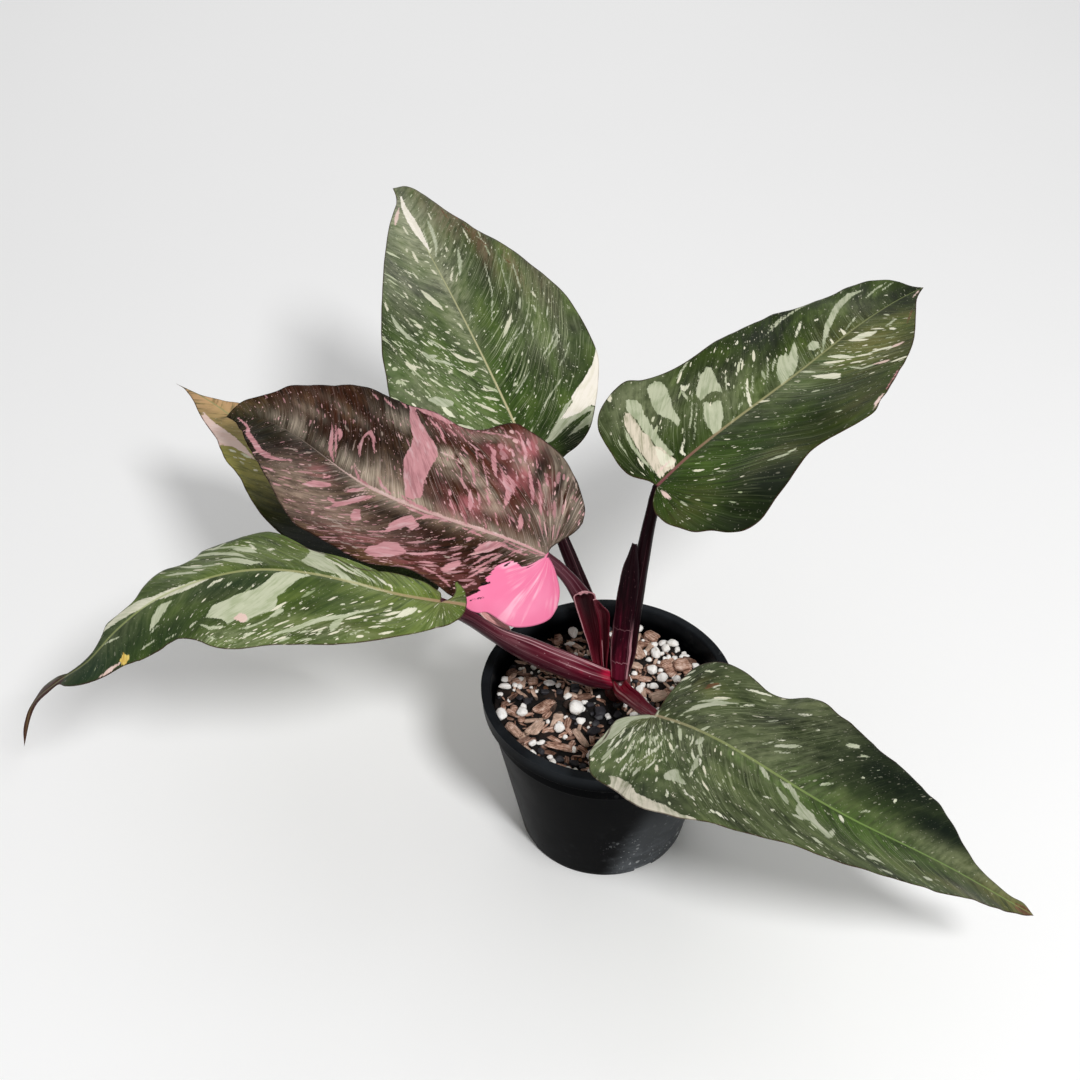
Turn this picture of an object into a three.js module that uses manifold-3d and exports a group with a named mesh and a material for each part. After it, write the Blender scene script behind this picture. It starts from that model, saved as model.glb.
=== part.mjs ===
// Potted pink princess philodendron (Philodendron erubescens), a young rosette of six
// leaves in a round plastic nursery pot. Millimetres, +Z up, origin at the centre of the
// pot's base. Each leaf blade, each petiole, each sheath, the stem, the growing mix, the
// larger grains on it and the pot are separate closed solids.
import * as THREE from 'three';
import { mergeVertices } from 'three/addons/utils/BufferGeometryUtils.js';
import Module from 'manifold-3d';

const wasm = await Module();
wasm.setup();

// ---------------------------------------------------------------- driving dimensions
const POT_HEIGHT = 82;        // base to rim
const RIM_RADIUS = 54;        // outside of the rim
const RIM_INNER_RADIUS = 49.8;
const RIM_BAND = 8;           // height of the outer rim band
const BASE_RADIUS = 36.5;
const WALL = 1.2;
const FLOOR = 1.6;
const DRAIN_HOLES = 8;
const DRAIN_RADIUS = 3.1;
const DRAIN_PITCH = 26;
const NOTCHES = 4;            // drainage notches where the wall meets the floor
const MIX_TOP = 71;           // surface of the growing mix
const GAP = 0.35;             // clearance between touching pieces
const STEM = { x: 4.5, y: 6, radius: 5.4, z0: 58.4, top: 82 };
const BLADE_HALF = 0.4;       // half the thickness of a leaf blade
const ROWS = 20;              // rows of a blade from its basal lobes to its tip
const LOBE_ROWS = 4;          // of these, rows along the sinus edge
const COLS = 5;               // columns from midrib to margin

// Each blade: length and midrib from the petiole to the tip (13 points), roll of the blade
// about the midrib and rise of each half (degrees at 0, 1/4, 1/2, 3/4 and the tip), waves
// [along, across, height, spread along, spread across], and the flat outline of each half
// as [along, across] points: the sinus edge of the basal lobe, then the margin to the tip.
const LEAVES = {
  leaf_back: {
    length: 176.84,
    midrib: [[-33.77,81.71,139.82],[-39.44,93.64,146.35],[-45.17,105.82,152.36],[-50.95,118.2,157.88],[-56.76,130.77,162.92],[-62.59,143.49,167.53],[-68.43,156.36,171.71],[-74.26,169.34,175.52],[-80.09,182.43,178.97],[-85.9,195.61,182.1],[-91.68,208.86,184.94],[-97.44,222.18,187.52],[-103.15,235.55,189.88]],
    roll: [-4,-2,0,3,4],
    foldL: [9,9,9,9,9],
    foldR: [9,9,9,9,9],
    waves: [[60,50,-3,18,18],[100,-36,2.5,18,14]],
    sinusL: [[-3.2,-9.3],[-2.9,-7.7],[-2.5,-6.1],[-2,-4.5],[-1.4,-3],[-0.8,-1.5],[0,0]],
    marginL: [[-3.2,-9.3],[-3.3,-15.4],[-2.6,-21.5],[-1.4,-27.4],[0.6,-33.1],[3.4,-38.5],[7.2,-43.3],[11.8,-47.3],[17.2,-50.1],[23,-51.8],[29.1,-52.6],[35.2,-52.8],[41.2,-52.3],[47.1,-50.9],[53,-49.2],[58.9,-47.8],[64.8,-46.4],[70.6,-44.5],[76.4,-42.5],[82.1,-40.3],[87.7,-38.1],[93.4,-35.8],[99,-33.4],[104.6,-31.1],[110.2,-28.8],[115.9,-26.5],[121.5,-24.2],[127.1,-21.7],[132.6,-19.2],[138.2,-16.7],[143.7,-14.1],[149.1,-11.4],[154.4,-8.4],[159.7,-5.4],[165,-2.3],[170.8,-0.6],[176.8,0]],
    sinusR: [[-5.6,4.7],[-5.6,3.4],[-4.8,2.3],[-3.8,1.4],[-2.6,0.7],[-1.3,0.2],[0,0]],
    marginR: [[-5.6,4.7],[-5.9,10.5],[-3.4,16.1],[-1.3,21.9],[1.8,27.1],[5.9,31.7],[10.9,35.4],[16.1,38.6],[21.4,41.7],[26.8,44.5],[32.3,47.2],[38,49.4],[44.1,50.6],[50.1,51.3],[56.3,51.8],[62.4,51.8],[68.5,51.2],[74.5,50.2],[80.4,48.4],[86.1,46],[91.7,43.7],[97.4,41.3],[103,39],[108.6,36.4],[114.1,33.7],[119.6,30.9],[124.9,27.9],[130.4,25.1],[136.2,23.1],[141.7,20.4],[147.3,17.9],[153.1,15.9],[158.9,13.9],[164.7,12],[170.4,9.6],[175.1,5.8],[176.8,0]],
  },
  leaf_pink: {
    length: 170.2,
    midrib: [[-26.12,16.02,139.99],[-39.03,21.04,142.99],[-52.42,24.73,145.85],[-65.9,28.38,148.34],[-79.14,33.06,150.28],[-91.84,39.21,151.65],[-103.57,47.11,152.45],[-113.97,56.73,152.73],[-123.49,67.24,152.6],[-132.91,77.83,152.19],[-143.05,87.72,151.61],[-154.9,95.39,150.91],[-168.75,97.46,150.05]],
    roll: [20,20,18,16,14],
    foldL: [14,16,18,16,12],
    foldR: [16,16,16,14,10],
    waves: [[50,52,-9,13,22],[30,52,4,11,18],[52,-34,5,12,16],[95,46,-3,14,16],[6,-34,-5,24,16]],
    sinusL: [[-13.7,-22.4],[-12.7,-18],[-11.2,-13.8],[-9,-9.8],[-6.5,-6.1],[-3.6,-2.7],[0,0]],
    marginL: [[-13.7,-22.4],[-13.2,-28.1],[-9.9,-32.8],[-5.3,-36.3],[0.1,-38.4],[5.8,-37.5],[11.4,-37],[16.4,-39.8],[22.1,-40.4],[25.6,-37.3],[31.3,-36.9],[36.6,-34.7],[42.3,-33.6],[48.1,-33.8],[53,-36.6],[58.2,-38.9],[64,-39.3],[69.7,-38.2],[75.4,-37.3],[81.1,-36.4],[86.8,-36.3],[92.3,-34.5],[97.7,-32.4],[103.2,-30.6],[108.7,-28.8],[114.3,-27.2],[119.8,-25.7],[125.4,-24],[130.9,-22.2],[136.4,-20.4],[141.9,-18.5],[147.3,-16.5],[152.6,-14.2],[157.8,-11.6],[162.3,-8.1],[165.4,-3.2],[170.2,0]],
    sinusR: [[-7.5,18.5],[-6.8,15.2],[-5.3,12.1],[-3.3,9.3],[-1.3,6.4],[0.2,3.3],[0,0]],
    marginR: [[-7.5,18.5],[-6.1,23.9],[-2.7,28.5],[1.1,32.7],[5.5,36.1],[9.8,39.8],[14.5,42.9],[19.8,44.9],[25.3,45.8],[31,46.6],[36.5,45.7],[42.1,44.5],[47.7,43.6],[53.2,42.5],[58.8,41.4],[64.5,41.3],[70.1,41.1],[75.8,40.7],[81.4,40.3],[87.1,39.9],[92.8,39.5],[98.4,39],[104,38.3],[109.7,37.5],[115.3,36.7],[120.8,35.5],[126,33.3],[131,30.6],[135.8,27.5],[140.7,24.8],[145.8,22.2],[150.8,19.6],[154.3,15.1],[158.7,11.6],[163.8,9.1],[167.8,5.1],[170.2,0]],
  },
  leaf_right: {
    length: 186.23,
    midrib: [[15.91,9.15,181.8],[26.59,19.38,186.49],[37.91,29.23,190.44],[49.39,39.2,193.54],[60.71,49.58,195.74],[71.56,60.59,197.03],[81.75,72.28,197.44],[91.46,84.38,197.13],[100.93,96.64,196.29],[110.45,108.84,195.1],[120.28,120.77,193.72],[130.7,132.19,192.33],[141.93,142.81,191.1]],
    roll: [-2,-2,0,3,6],
    foldL: [8,8,8,8,8],
    foldR: [8,8,8,8,8],
    waves: [[55,40,-4,14,18],[62,-42,3,16,16],[150,-22,-3,16,12]],
    sinusL: [[-0.8,-5],[-0.6,-4.2],[-0.4,-3.4],[-0.3,-2.5],[-0.2,-1.7],[-0.1,-0.8],[0,0]],
    marginL: [[-0.8,-5],[-2.9,-11.1],[-2.3,-17.5],[-0.3,-23.6],[1.9,-29.7],[4.8,-35.4],[9.4,-39.9],[15.1,-43],[21.2,-44.9],[27.6,-44.8],[32.4,-40.6],[38.2,-37.8],[44.4,-35.9],[50.7,-34.5],[57.1,-33.7],[63.6,-33.7],[70,-33.9],[76.5,-33.9],[82.9,-33.9],[89.4,-33.6],[95.7,-32.7],[102.1,-31.5],[108.4,-30.3],[114.7,-28.9],[120.8,-26.8],[127.1,-25.6],[133.6,-25.3],[140,-25.1],[146.5,-24.7],[152.9,-24.2],[159.3,-23.4],[165.4,-21.3],[171.2,-18.6],[176.3,-14.6],[180.4,-9.6],[182.7,-3.7],[186.2,0]],
    sinusR: [[-10.9,9.5],[-9.6,7.4],[-8.1,5.5],[-6.3,3.8],[-4.3,2.4],[-2.2,1.1],[0,0]],
    marginR: [[-10.9,9.5],[-11.9,15.9],[-11,22.3],[-9.5,28.7],[-5.3,33.7],[-2.7,39.7],[1.4,44.5],[7.6,46.5],[14.1,46.1],[20.6,45],[27,43.6],[33.3,41.6],[39.4,39.4],[45.5,36.9],[51.7,35.1],[58.2,35.6],[64.4,37.9],[70.4,40.5],[76.6,41.9],[82.8,39.8],[89.2,38.4],[95.6,36.8],[101.9,35.2],[108.3,33.8],[114.7,32.2],[121,30.4],[127.2,28.4],[133.3,26],[139.3,23.4],[145.2,20.6],[151.1,17.7],[157,14.7],[162.7,11.6],[168.4,8.4],[174.2,5.3],[180.2,2.5],[186.2,0]],
  },
  leaf_left: {
    length: 200.53,
    midrib: [[-67.37,-22.19,149.01],[-83.76,-21.54,152.03],[-99.95,-18.38,154.69],[-116.23,-15.06,156.4],[-132.86,-13.61,156.67],[-149.47,-14.28,155.25],[-165.6,-16.92,151.87],[-180.59,-21.52,146.17],[-193.43,-28.48,138.14],[-204.75,-35.94,128.42],[-217.9,-37.37,118.52],[-229.46,-39.22,107.19],[-232.97,-48.6,93.96]],
    roll: [0,0,0,0,0],
    foldL: [-10,-14,-14,-12,-8],
    foldR: [4,-25,-21,-9,-4],
    waves: [[76,30,8,16,20],[95,-30,4,14,14],[30,-22,2,14,12]],
    sinusL: [[-5.1,12.1],[-4.3,10.8],[-4.8,8.2],[-4.8,5.6],[-4,3.2],[-2.3,1.3],[0,0]],
    marginL: [[-5.1,12.1],[-8.8,7.2],[-10,0.5],[-8.6,-6.1],[-4,-11.1],[1.9,-14.4],[8,-17.5],[14.1,-20.7],[19.7,-24.5],[25.6,-27.9],[32.1,-30.1],[38.8,-31.5],[45.6,-32.4],[52.3,-33.3],[59.1,-34.1],[65.9,-34.9],[72.7,-35.7],[79.5,-36.4],[86.3,-36.3],[92.9,-34.7],[98.7,-31],[104.1,-26.8],[110,-23.3],[116.6,-21.7],[123.4,-21],[130,-19.2],[136.2,-16.4],[142.1,-13],[148.6,-10.9],[155.1,-8.8],[161.2,-5.8],[166.6,-1.7],[173.3,-2.2],[180.1,-2.1],[186.9,-1.2],[193.7,-0.5],[200.5,0]],
    sinusR: [[1.3,5.1],[0.7,4.4],[0.4,3.6],[0.2,2.7],[0,1.8],[0,0.9],[0,0]],
    marginR: [[1.3,5.1],[6.3,8.8],[12.3,10.7],[18.5,12.1],[24.8,12.2],[31,10.8],[37.3,11.2],[42.9,14.1],[47.6,18.2],[52.8,21.9],[58.3,25.1],[64.1,27.6],[69.5,30.2],[73,35.4],[77.8,31.8],[83.7,29.7],[90,30.7],[96.2,30.3],[99.4,25.2],[104.4,21.4],[110.5,21.6],[115,17.6],[118.6,12.4],[122.9,7.8],[129.1,7.5],[135.3,8.1],[140.2,4.2],[146.1,2.2],[152.4,2],[158.8,1.4],[165,1.6],[170.5,4.8],[176.6,4.7],[181.9,1.2],[188.2,1.1],[194.5,1.3],[200.5,0]],
  },
  leaf_front: {
    length: 178.76,
    midrib: [[16.36,-38.55,104.03],[28.81,-46.37,106.34],[40.15,-55.78,108.45],[51.19,-65.74,109.29],[62.63,-75.2,108.28],[74.91,-83.04,105.33],[87.98,-88.13,100.4],[101.16,-90.85,94.05],[114.09,-92.23,86.79],[126.72,-93.24,78.96],[139.11,-94.5,70.78],[151.35,-95.83,62.4],[163.58,-96.88,53.97]],
    roll: [2,2,0,0,0],
    foldL: [8,10,14,14,8],
    foldR: [0,4,16,18,10],
    waves: [[35,-40,-6,13,20],[75,-42,2,16,18],[75,30,3,16,16]],
    sinusL: [[0.3,-5.3],[0.4,-4.4],[0.4,-3.5],[0.4,-2.6],[0.3,-1.8],[0.2,-0.9],[0,0]],
    marginL: [[0.3,-5.3],[0.2,-11.2],[0.6,-17.2],[1.5,-23],[3,-28.8],[6.5,-33.5],[11.5,-36.7],[17.3,-37.1],[23.2,-36.2],[29.1,-35.6],[34.8,-37.2],[40.2,-39.5],[46.1,-40],[52.1,-39.4],[57.8,-38.1],[63.5,-36.3],[69.4,-35.7],[75.3,-35.1],[81.3,-34.6],[87.2,-34.1],[93.1,-33.7],[99,-33.4],[105,-32.9],[110.8,-31.8],[116.3,-29.6],[121.7,-27.2],[127.4,-25.5],[131.9,-21.7],[136.1,-17.4],[140.3,-13.3],[145.3,-10],[150.7,-7.5],[156.3,-5.6],[162,-4.1],[167.9,-3.4],[173.8,-3.2],[178.8,0]],
    sinusR: [[-10.8,17.6],[-11.8,13.9],[-11.8,10],[-9.5,6.9],[-6.4,4.5],[-3.3,2.1],[0,0]],
    marginR: [[-10.8,17.6],[-10.2,23.7],[-11.8,29.5],[-9.1,35],[-5.5,39.9],[-0.8,42.2],[5,44.1],[10.9,45.8],[16.9,47.2],[23,48.3],[29,49.2],[35.1,49.4],[41,47.7],[46.6,45.3],[51.6,41.7],[57,38.8],[62.7,36.5],[68.4,34.1],[74.2,32.5],[80.3,32.9],[86.4,32.2],[92.3,30.6],[98.3,29.1],[104.2,27.5],[110.2,26.3],[116.2,25],[122.2,23.6],[128,21.7],[133.7,19.3],[139.2,16.7],[144.8,14.2],[150.5,11.8],[156.2,9.5],[161.8,7.2],[167.6,5],[173.3,2.9],[178.8,0]],
  },
  leaf_rear: {
    length: 174.78,
    midrib: [[-79.72,50.93,103.87],[-92.39,57.43,106.92],[-104.3,65.36,109.59],[-115.44,74.45,111.88],[-125.91,84.39,113.79],[-135.85,94.92,115.36],[-145.46,105.79,116.62],[-154.95,116.8,117.62],[-164.52,127.75,118.4],[-174.38,138.45,118.98],[-184.73,148.69,119.41],[-195.74,158.21,119.72],[-207.55,166.72,119.93]],
    roll: [0,0,0,0,0],
    foldL: [10,10,10,10,10],
    foldR: [4,4,4,4,4],
    waves: [[60,-34,-3,18,14]],
    sinusL: [[-12.4,-12.2],[-12,-9],[-10.6,-6.1],[-8.6,-3.5],[-6.2,-1.3],[-3.2,0.1],[0,0]],
    marginL: [[-12.4,-12.2],[-10.9,-17.4],[-6.9,-21.3],[-2.1,-24.1],[2.9,-26.4],[8.2,-28.2],[13.5,-29.8],[18.9,-30.9],[24.4,-31.9],[29.9,-32.7],[35.4,-33],[41,-32.9],[46.5,-32.2],[52,-31.6],[57.6,-31.1],[63.1,-30.7],[68.6,-30.2],[74.1,-29.3],[79.4,-27.8],[84.8,-26.2],[90.1,-24.7],[95.6,-23.8],[101.1,-23.6],[106.5,-22.4],[111.7,-20.5],[117,-18.7],[122.2,-16.8],[127.6,-15.5],[133,-14.2],[138.4,-12.8],[143.7,-11.3],[148.9,-9.3],[154,-7],[159,-4.8],[164.2,-2.6],[169.3,-0.6],[174.8,0]],
    sinusR: [[-3.4,7.9],[-3.7,6.3],[-3.6,4.8],[-3.2,3.2],[-2.6,1.8],[-1.4,0.7],[0,0]],
    marginR: [[-3.4,7.9],[-1.9,13.1],[0.9,17.7],[4.7,21.6],[9.2,24.7],[14,27.2],[19.1,29.2],[24.4,30.6],[29.7,31.7],[35.1,32.7],[40.5,33.3],[45.9,33.7],[51.3,33.9],[56.8,33.9],[62.2,33.8],[67.7,33.5],[73.1,33],[78.5,32.5],[83.9,31.7],[89.3,30.8],[94.6,29.7],[99.9,28.4],[105.2,27],[110.4,25.4],[115.5,23.6],[120.6,21.5],[125.4,19.1],[130.1,16.3],[134.6,13.3],[138.8,9.8],[143.4,6.8],[148.2,4.4],[153.2,2.2],[158.5,0.6],[163.9,0.2],[169.3,0.1],[174.8,0]],
  },
};

// Petioles: centre line from the stem to the blade, and [width, depth] along it.
const PETIOLES = {
  petiole_right: { path: [[5, 6.5, 76], [7.3, 8, 94.5], [9, 8, 116.3], [11.3, 8.5, 137.9], [13.5, 9, 159.6], [16, 9.4, 179.6]],
    size: [[6, 5], [8.5, 6], [8, 6], [6.2, 5.4], [5.2, 4.8], [4.4, 4.2]], side: [0.96, -0.28, 0] },
  petiole_left: { path: [[4.5, 5, 78.5], [-7.9, 0, 88], [-20.7, -4, 98.5], [-33.1, -8, 109.5], [-45.8, -13.8, 123.1], [-56.5, -17.9, 136], [-65.6, -21.6, 146.6]],
    size: [[8, 6], [10.2, 6.6], [11, 6.6], [10.2, 6.2], [6.9, 5.2], [5.5, 4.6], [4.6, 4.2]], side: [0.25, 0.75, 0.6] },
  petiole_pink: { path: [[2.5, 7.5, 80], [-2.8, 9.5, 92.9], [-5.6, 10.5, 104.8], [-9.6, 12, 116], [-14.8, 13.6, 125.4], [-20.2, 15, 132.4], [-25, 16, 137]],
    size: [[6, 5], [8, 5], [9.6, 5], [8.6, 5], [6.4, 4.8], [5, 4.4], [4.4, 4]], side: [0.92, 0.4, 0] },
  petiole_front: { path: [[5, 4, 78], [6.8, -7, 84], [9.8, -17, 90.4], [12.7, -28, 97], [15.4, -36.8, 101.8]],
    size: [[6.6, 5.4], [8.4, 5.4], [8, 5], [6.6, 4.6], [5, 4.2]], side: [1, 0.3, 0] },
  petiole_back: { path: [[3, 12, 79], [-4, 26, 91], [-11.4, 40, 103.4], [-19, 54, 115.6], [-26.3, 68, 127.4], [-32.6, 80, 137.4]],
    size: [[6, 5], [7, 5], [6.6, 5], [5.8, 4.8], [5, 4.4], [4.2, 4]], side: [0.9, 0.44, 0] },
  petiole_rear: { path: [[0.4, 11.5, 78.4], [-12, 11.4, 79.4], [-25, 13.4, 82.4], [-38, 16.8, 88.2], [-50, 22, 94.2], [-63, 35.5, 98.4], [-78.4, 50.4, 101.4]],
    size: [[5.4, 4.4], [5.6, 4.4], [5.6, 4.4], [5.8, 4.6], [5.2, 4.4], [4.6, 4], [4, 3.6]], side: [0.45, 0.9, 0] },
};
const BLADE_OF = { petiole_right: 'leaf_right', petiole_left: 'leaf_left', petiole_pink: 'leaf_pink',
  petiole_front: 'leaf_front', petiole_back: 'leaf_back', petiole_rear: 'leaf_rear' };

// Sheaths: papery bracts that clasp the petioles, as thin tapered straps.
const SHEATHS = {
  sheath_right: { path: [[4.2, 0.6, 84], [4.4, 2, 100], [5.4, 3, 120], [6.6, 3.6, 140], [7.6, 4.2, 153]],
    size: [[7, 2.4], [8.6, 2.4], [8, 2.2], [5.4, 1.8], [2, 1.2]], side: [0.96, -0.28, 0] },
  sheath_centre: { path: [[-3.9, 5.2, 87], [-5.2, 5.4, 98], [-7.2, 5.7, 108.5], [-9, 6, 117.5], [-11.2, 6.5, 127.5]],
    size: [[4, 2], [6.4, 2.4], [8, 2.6], [8.6, 2.6], [3, 2]], side: [0.98, 0.05, 0.2] },
  sheath_left: { path: [[-40.8, -8.8, 118.9], [-43.4, -9.6, 122.6], [-46.7, -10.8, 127], [-50, -12, 131.2], [-52.9, -13.4, 134.9]],
    size: [[1.6, 1.2], [4.6, 1.4], [5.4, 1.4], [4.6, 1.4], [1.2, 1]], side: [0.3, 0.95, 0.1] },
};

// Grains lying on the mix: [x, y, length, width, height, angle].
const PERLITE = [
  [-34.8,-7.1,5.1,4.9,3.4,0],
  [-13.6,-6.3,7.2,7.8,5.4,0],
  [-12,-13.3,4.2,3.9,2.7,0],
  [-31.7,-25.4,3.9,2.9,2.3,27],
  [-19.2,-17.9,5,5.3,3.7,0],
  [-14.3,41.3,4.5,7.2,3.6,0],
  [-25.9,10.3,6,3.5,2.4,0],
  [-44,7.7,6,4,2.8,0],
  [16.2,44.9,4.5,4.1,2.9,0],
  [30.9,35.9,5.6,4,3.2,-27],
  [21.7,28.8,4.4,6.1,3.5,0],
  [19.8,18.1,4.8,5,3.5,0],
  [24.3,12.6,5.2,5.5,3.8,0],
  [30.4,12.7,3.5,4,2.8,0],
  [20.2,8.3,4.3,3.5,2.4,0],
  [14.8,-7.2,3.8,3.9,2.7,0],
  [-43.6,-11.2,5.1,6.3,4,0],
  [11.3,1,3.4,5.4,2.7,0]];
const BARK = [
  [-28.4,-4.3,13.1,4.7,1.6,44],
  [-32.2,-16.5,11.5,5.5,1.9,59],
  [-31.1,11.3,5.2,5,1.5,0],
  [-39.3,-15.5,10.2,4.6,1.6,-54],
  [-19.6,-26.6,15.8,3.7,1.3,-7],
  [-13.3,-19.8,13.3,3.3,1.2,-63],
  [14.8,31,12.7,4,1.4,-67],
  [32.8,21.7,9.3,7.4,2.6,14],
  [23.1,46.6,7.5,5.4,1.9,-39],
  [22.1,2.7,9,5.6,2,27]];
const CHARCOAL = [
  [-6.6,-18.6,6.5,5,3,39],
  [-3.4,-7,5.1,4.9,2.5,0],
  [-13.8,6.6,3.9,5,2.3,0]];

// ---------------------------------------------------------------- curves
function cr(V, x, deriv = false) {
  // uniform Catmull-Rom spline through V (numbers or arrays) at x in 0..1
  const n = V.length - 1, arr = Array.isArray(V[0]);
  const t = Math.min(Math.max(x, 0), 1) * n, i = Math.min(Math.floor(t), n - 1), f = t - i;
  const one = (g) => {
    const b = g(i), c = g(i + 1);
    const a = i === 0 ? 2 * b - c : g(i - 1);
    const d = i === n - 1 ? 2 * c - b : g(i + 2);
    if (deriv) return n * 0.5 * ((c - a) + 2 * f * (2 * a - 5 * b + 4 * c - d) + 3 * f * f * (-a + 3 * b - 3 * c + d));
    return 0.5 * (2 * b + (c - a) * f + (2 * a - 5 * b + 4 * c - d) * f * f + (-a + 3 * b - 3 * c + d) * f ** 3);
  };
  return arr ? V[0].map((_, k) => one((j) => V[j][k])) : one((j) => V[j]);
}
const vec = (a) => new THREE.Vector3(a[0], a[1], a[2]);
const rad = (d) => d * Math.PI / 180;

// ---------------------------------------------------------------- leaf blades
function bladePoint(leaf, s, b) {
  const x = s / leaf.length, xc = Math.min(Math.max(x, 0), 1);
  const P = vec(cr(leaf.midrib, xc)), T = vec(cr(leaf.midrib, xc, true)).normalize();
  P.addScaledVector(T, (x - xc) * leaf.length);
  const H0 = T.clone().cross(new THREE.Vector3(0, 0, 1)).normalize(), N0 = H0.clone().cross(T);
  const r = rad(cr(leaf.roll, xc));
  const H = H0.clone().multiplyScalar(Math.cos(r)).addScaledVector(N0, Math.sin(r));
  const N = H0.clone().multiplyScalar(-Math.sin(r)).addScaledVector(N0, Math.cos(r));
  const f = rad(cr(b > 0 ? leaf.foldR : leaf.foldL, xc));
  let z = Math.tan(f) * (Math.sqrt(b * b + 9) - 3);
  for (const [s0, b0, amp, ws, wb] of leaf.waves) z += amp * Math.exp(-(((s - s0) / ws) ** 2) - ((b - b0) / wb) ** 2);
  return P.addScaledVector(H, b * Math.cos(f)).addScaledVector(N, z * Math.cos(f));
}
function bladeNormal(leaf, s, b) {
  const e = 0.5;
  const ds = bladePoint(leaf, s + e, b).sub(bladePoint(leaf, s - e, b));
  const db = bladePoint(leaf, s, b + e).sub(bladePoint(leaf, s, b - e));
  return db.cross(ds).normalize();
}
function bladeGrid(leaf, side) {
  // rows run from the sinus edge or the midrib out to the margin, swept as the side veins are
  const sinus = leaf['sinus' + side], margin = leaf['margin' + side];
  const v0 = LOBE_ROWS / ROWS, grid = [];
  for (let j = 0; j <= ROWS; j++) {
    const v = j / ROWS;
    const sp = j <= LOBE_ROWS ? cr(sinus, v / v0) : [leaf.length * (v - v0) / (1 - v0), 0];
    const m = cr(margin, v ** 0.92);
    const len = Math.hypot(m[0] - sp[0], m[1] - sp[1]);
    const back = Math.min(Math.max((v - v0 * 0.6) / 0.25, 0), 1) * 0.16 * len;
    const row = [];
    for (let i = 0; i <= COLS; i++) {
      const t = i / COLS;
      const c = [(sp[0] + m[0]) / 2 - back, (sp[1] + m[1]) / 2];
      row.push([0, 1].map((k) => (1 - t) ** 2 * sp[k] + 2 * t * (1 - t) * c[k] + t * t * m[k]));
    }
    grid.push(row);
  }
  return grid;
}
function bladeSolid(leaf, half) {
  const pts = [], flat = [], index = new Map(), tris = [];
  const id = (p) => {
    const key = Math.round(p[0] * 200) + '_' + Math.round(p[1] * 200);
    if (!index.has(key)) { index.set(key, pts.length); pts.push(p); }
    return index.get(key);
  };
  for (const side of ['L', 'R']) {
    const g = bladeGrid(leaf, side);
    for (let j = 0; j < ROWS; j++) {
      for (let i = 0; i < COLS; i++) {
        const q = [id(g[j][i]), id(g[j][i + 1]), id(g[j + 1][i + 1]), id(g[j + 1][i])];
        const turn = side === 'R' ? [[q[0], q[1], q[2]], [q[0], q[2], q[3]]] : [[q[0], q[2], q[1]], [q[0], q[3], q[2]]];
        for (const t of turn) if (t[0] !== t[1] && t[1] !== t[2] && t[0] !== t[2]) tris.push(t);
      }
    }
  }
  const n = pts.length, pos = [];
  const top = [], low = [];
  for (const [s, b] of pts) {
    const P = bladePoint(leaf, s, b), N = bladeNormal(leaf, s, b);
    top.push(P.clone().addScaledVector(N, half)); low.push(P.clone().addScaledVector(N, -half));
  }
  for (const p of [...top, ...low]) pos.push(p.x, p.y, p.z);
  const faces = [], edges = new Map();
  for (const [a, b, c] of tris) {
    faces.push([a, b, c], [c + n, b + n, a + n]);
    for (const [u, w] of [[a, b], [b, c], [c, a]]) edges.set(u + '_' + w, [u, w]);
  }
  for (const [u, w] of edges.values()) {
    if (edges.has(w + '_' + u)) continue;
    faces.push([w, u, u + n], [w, u + n, w + n]);
  }
  return solidFrom(pos, faces.flat());
}

// ---------------------------------------------------------------- solids
function solidFrom(pos, idx) {
  // a closed mesh as a solid, turned outwards if its volume comes out negative
  let vol = 0;
  for (let i = 0; i < idx.length; i += 3) {
    const [a, b, c] = [0, 1, 2].map((k) => new THREE.Vector3().fromArray(pos, 3 * idx[i + k]));
    vol += a.dot(b.cross(c));
  }
  if (vol < 0) for (let i = 0; i < idx.length; i += 3) [idx[i], idx[i + 1]] = [idx[i + 1], idx[i]];
  return new wasm.Manifold(new wasm.Mesh({ numProp: 3, vertProperties: new Float32Array(pos), triVerts: new Uint32Array(idx) }));
}
function fromGeometry(geo) {
  const g = geo.clone();
  for (const name of Object.keys(g.attributes)) if (name !== 'position') g.deleteAttribute(name);
  const m = mergeVertices(g, 1e-4), idx = [...m.index.array], keep = [];
  for (let i = 0; i < idx.length; i += 3) {
    const [a, b, c] = idx.slice(i, i + 3);
    if (a !== b && b !== c && a !== c) keep.push(a, b, c);
  }
  return solidFrom([...m.attributes.position.array], keep);
}
function largest(solid) {
  return solid.decompose().sort((a, b) => b.volume() - a.volume())[0];
}
function toGeometry(solid) {
  const m = solid.getMesh(), g = new THREE.BufferGeometry(), p = new Float32Array(m.numVert * 3);
  for (let i = 0; i < m.numVert; i++) for (let k = 0; k < 3; k++) p[3 * i + k] = m.vertProperties[i * m.numProp + k];
  g.setAttribute('position', new THREE.BufferAttribute(p, 3));
  g.setIndex([...m.triVerts]);
  g.computeVertexNormals();
  return g;
}
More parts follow.
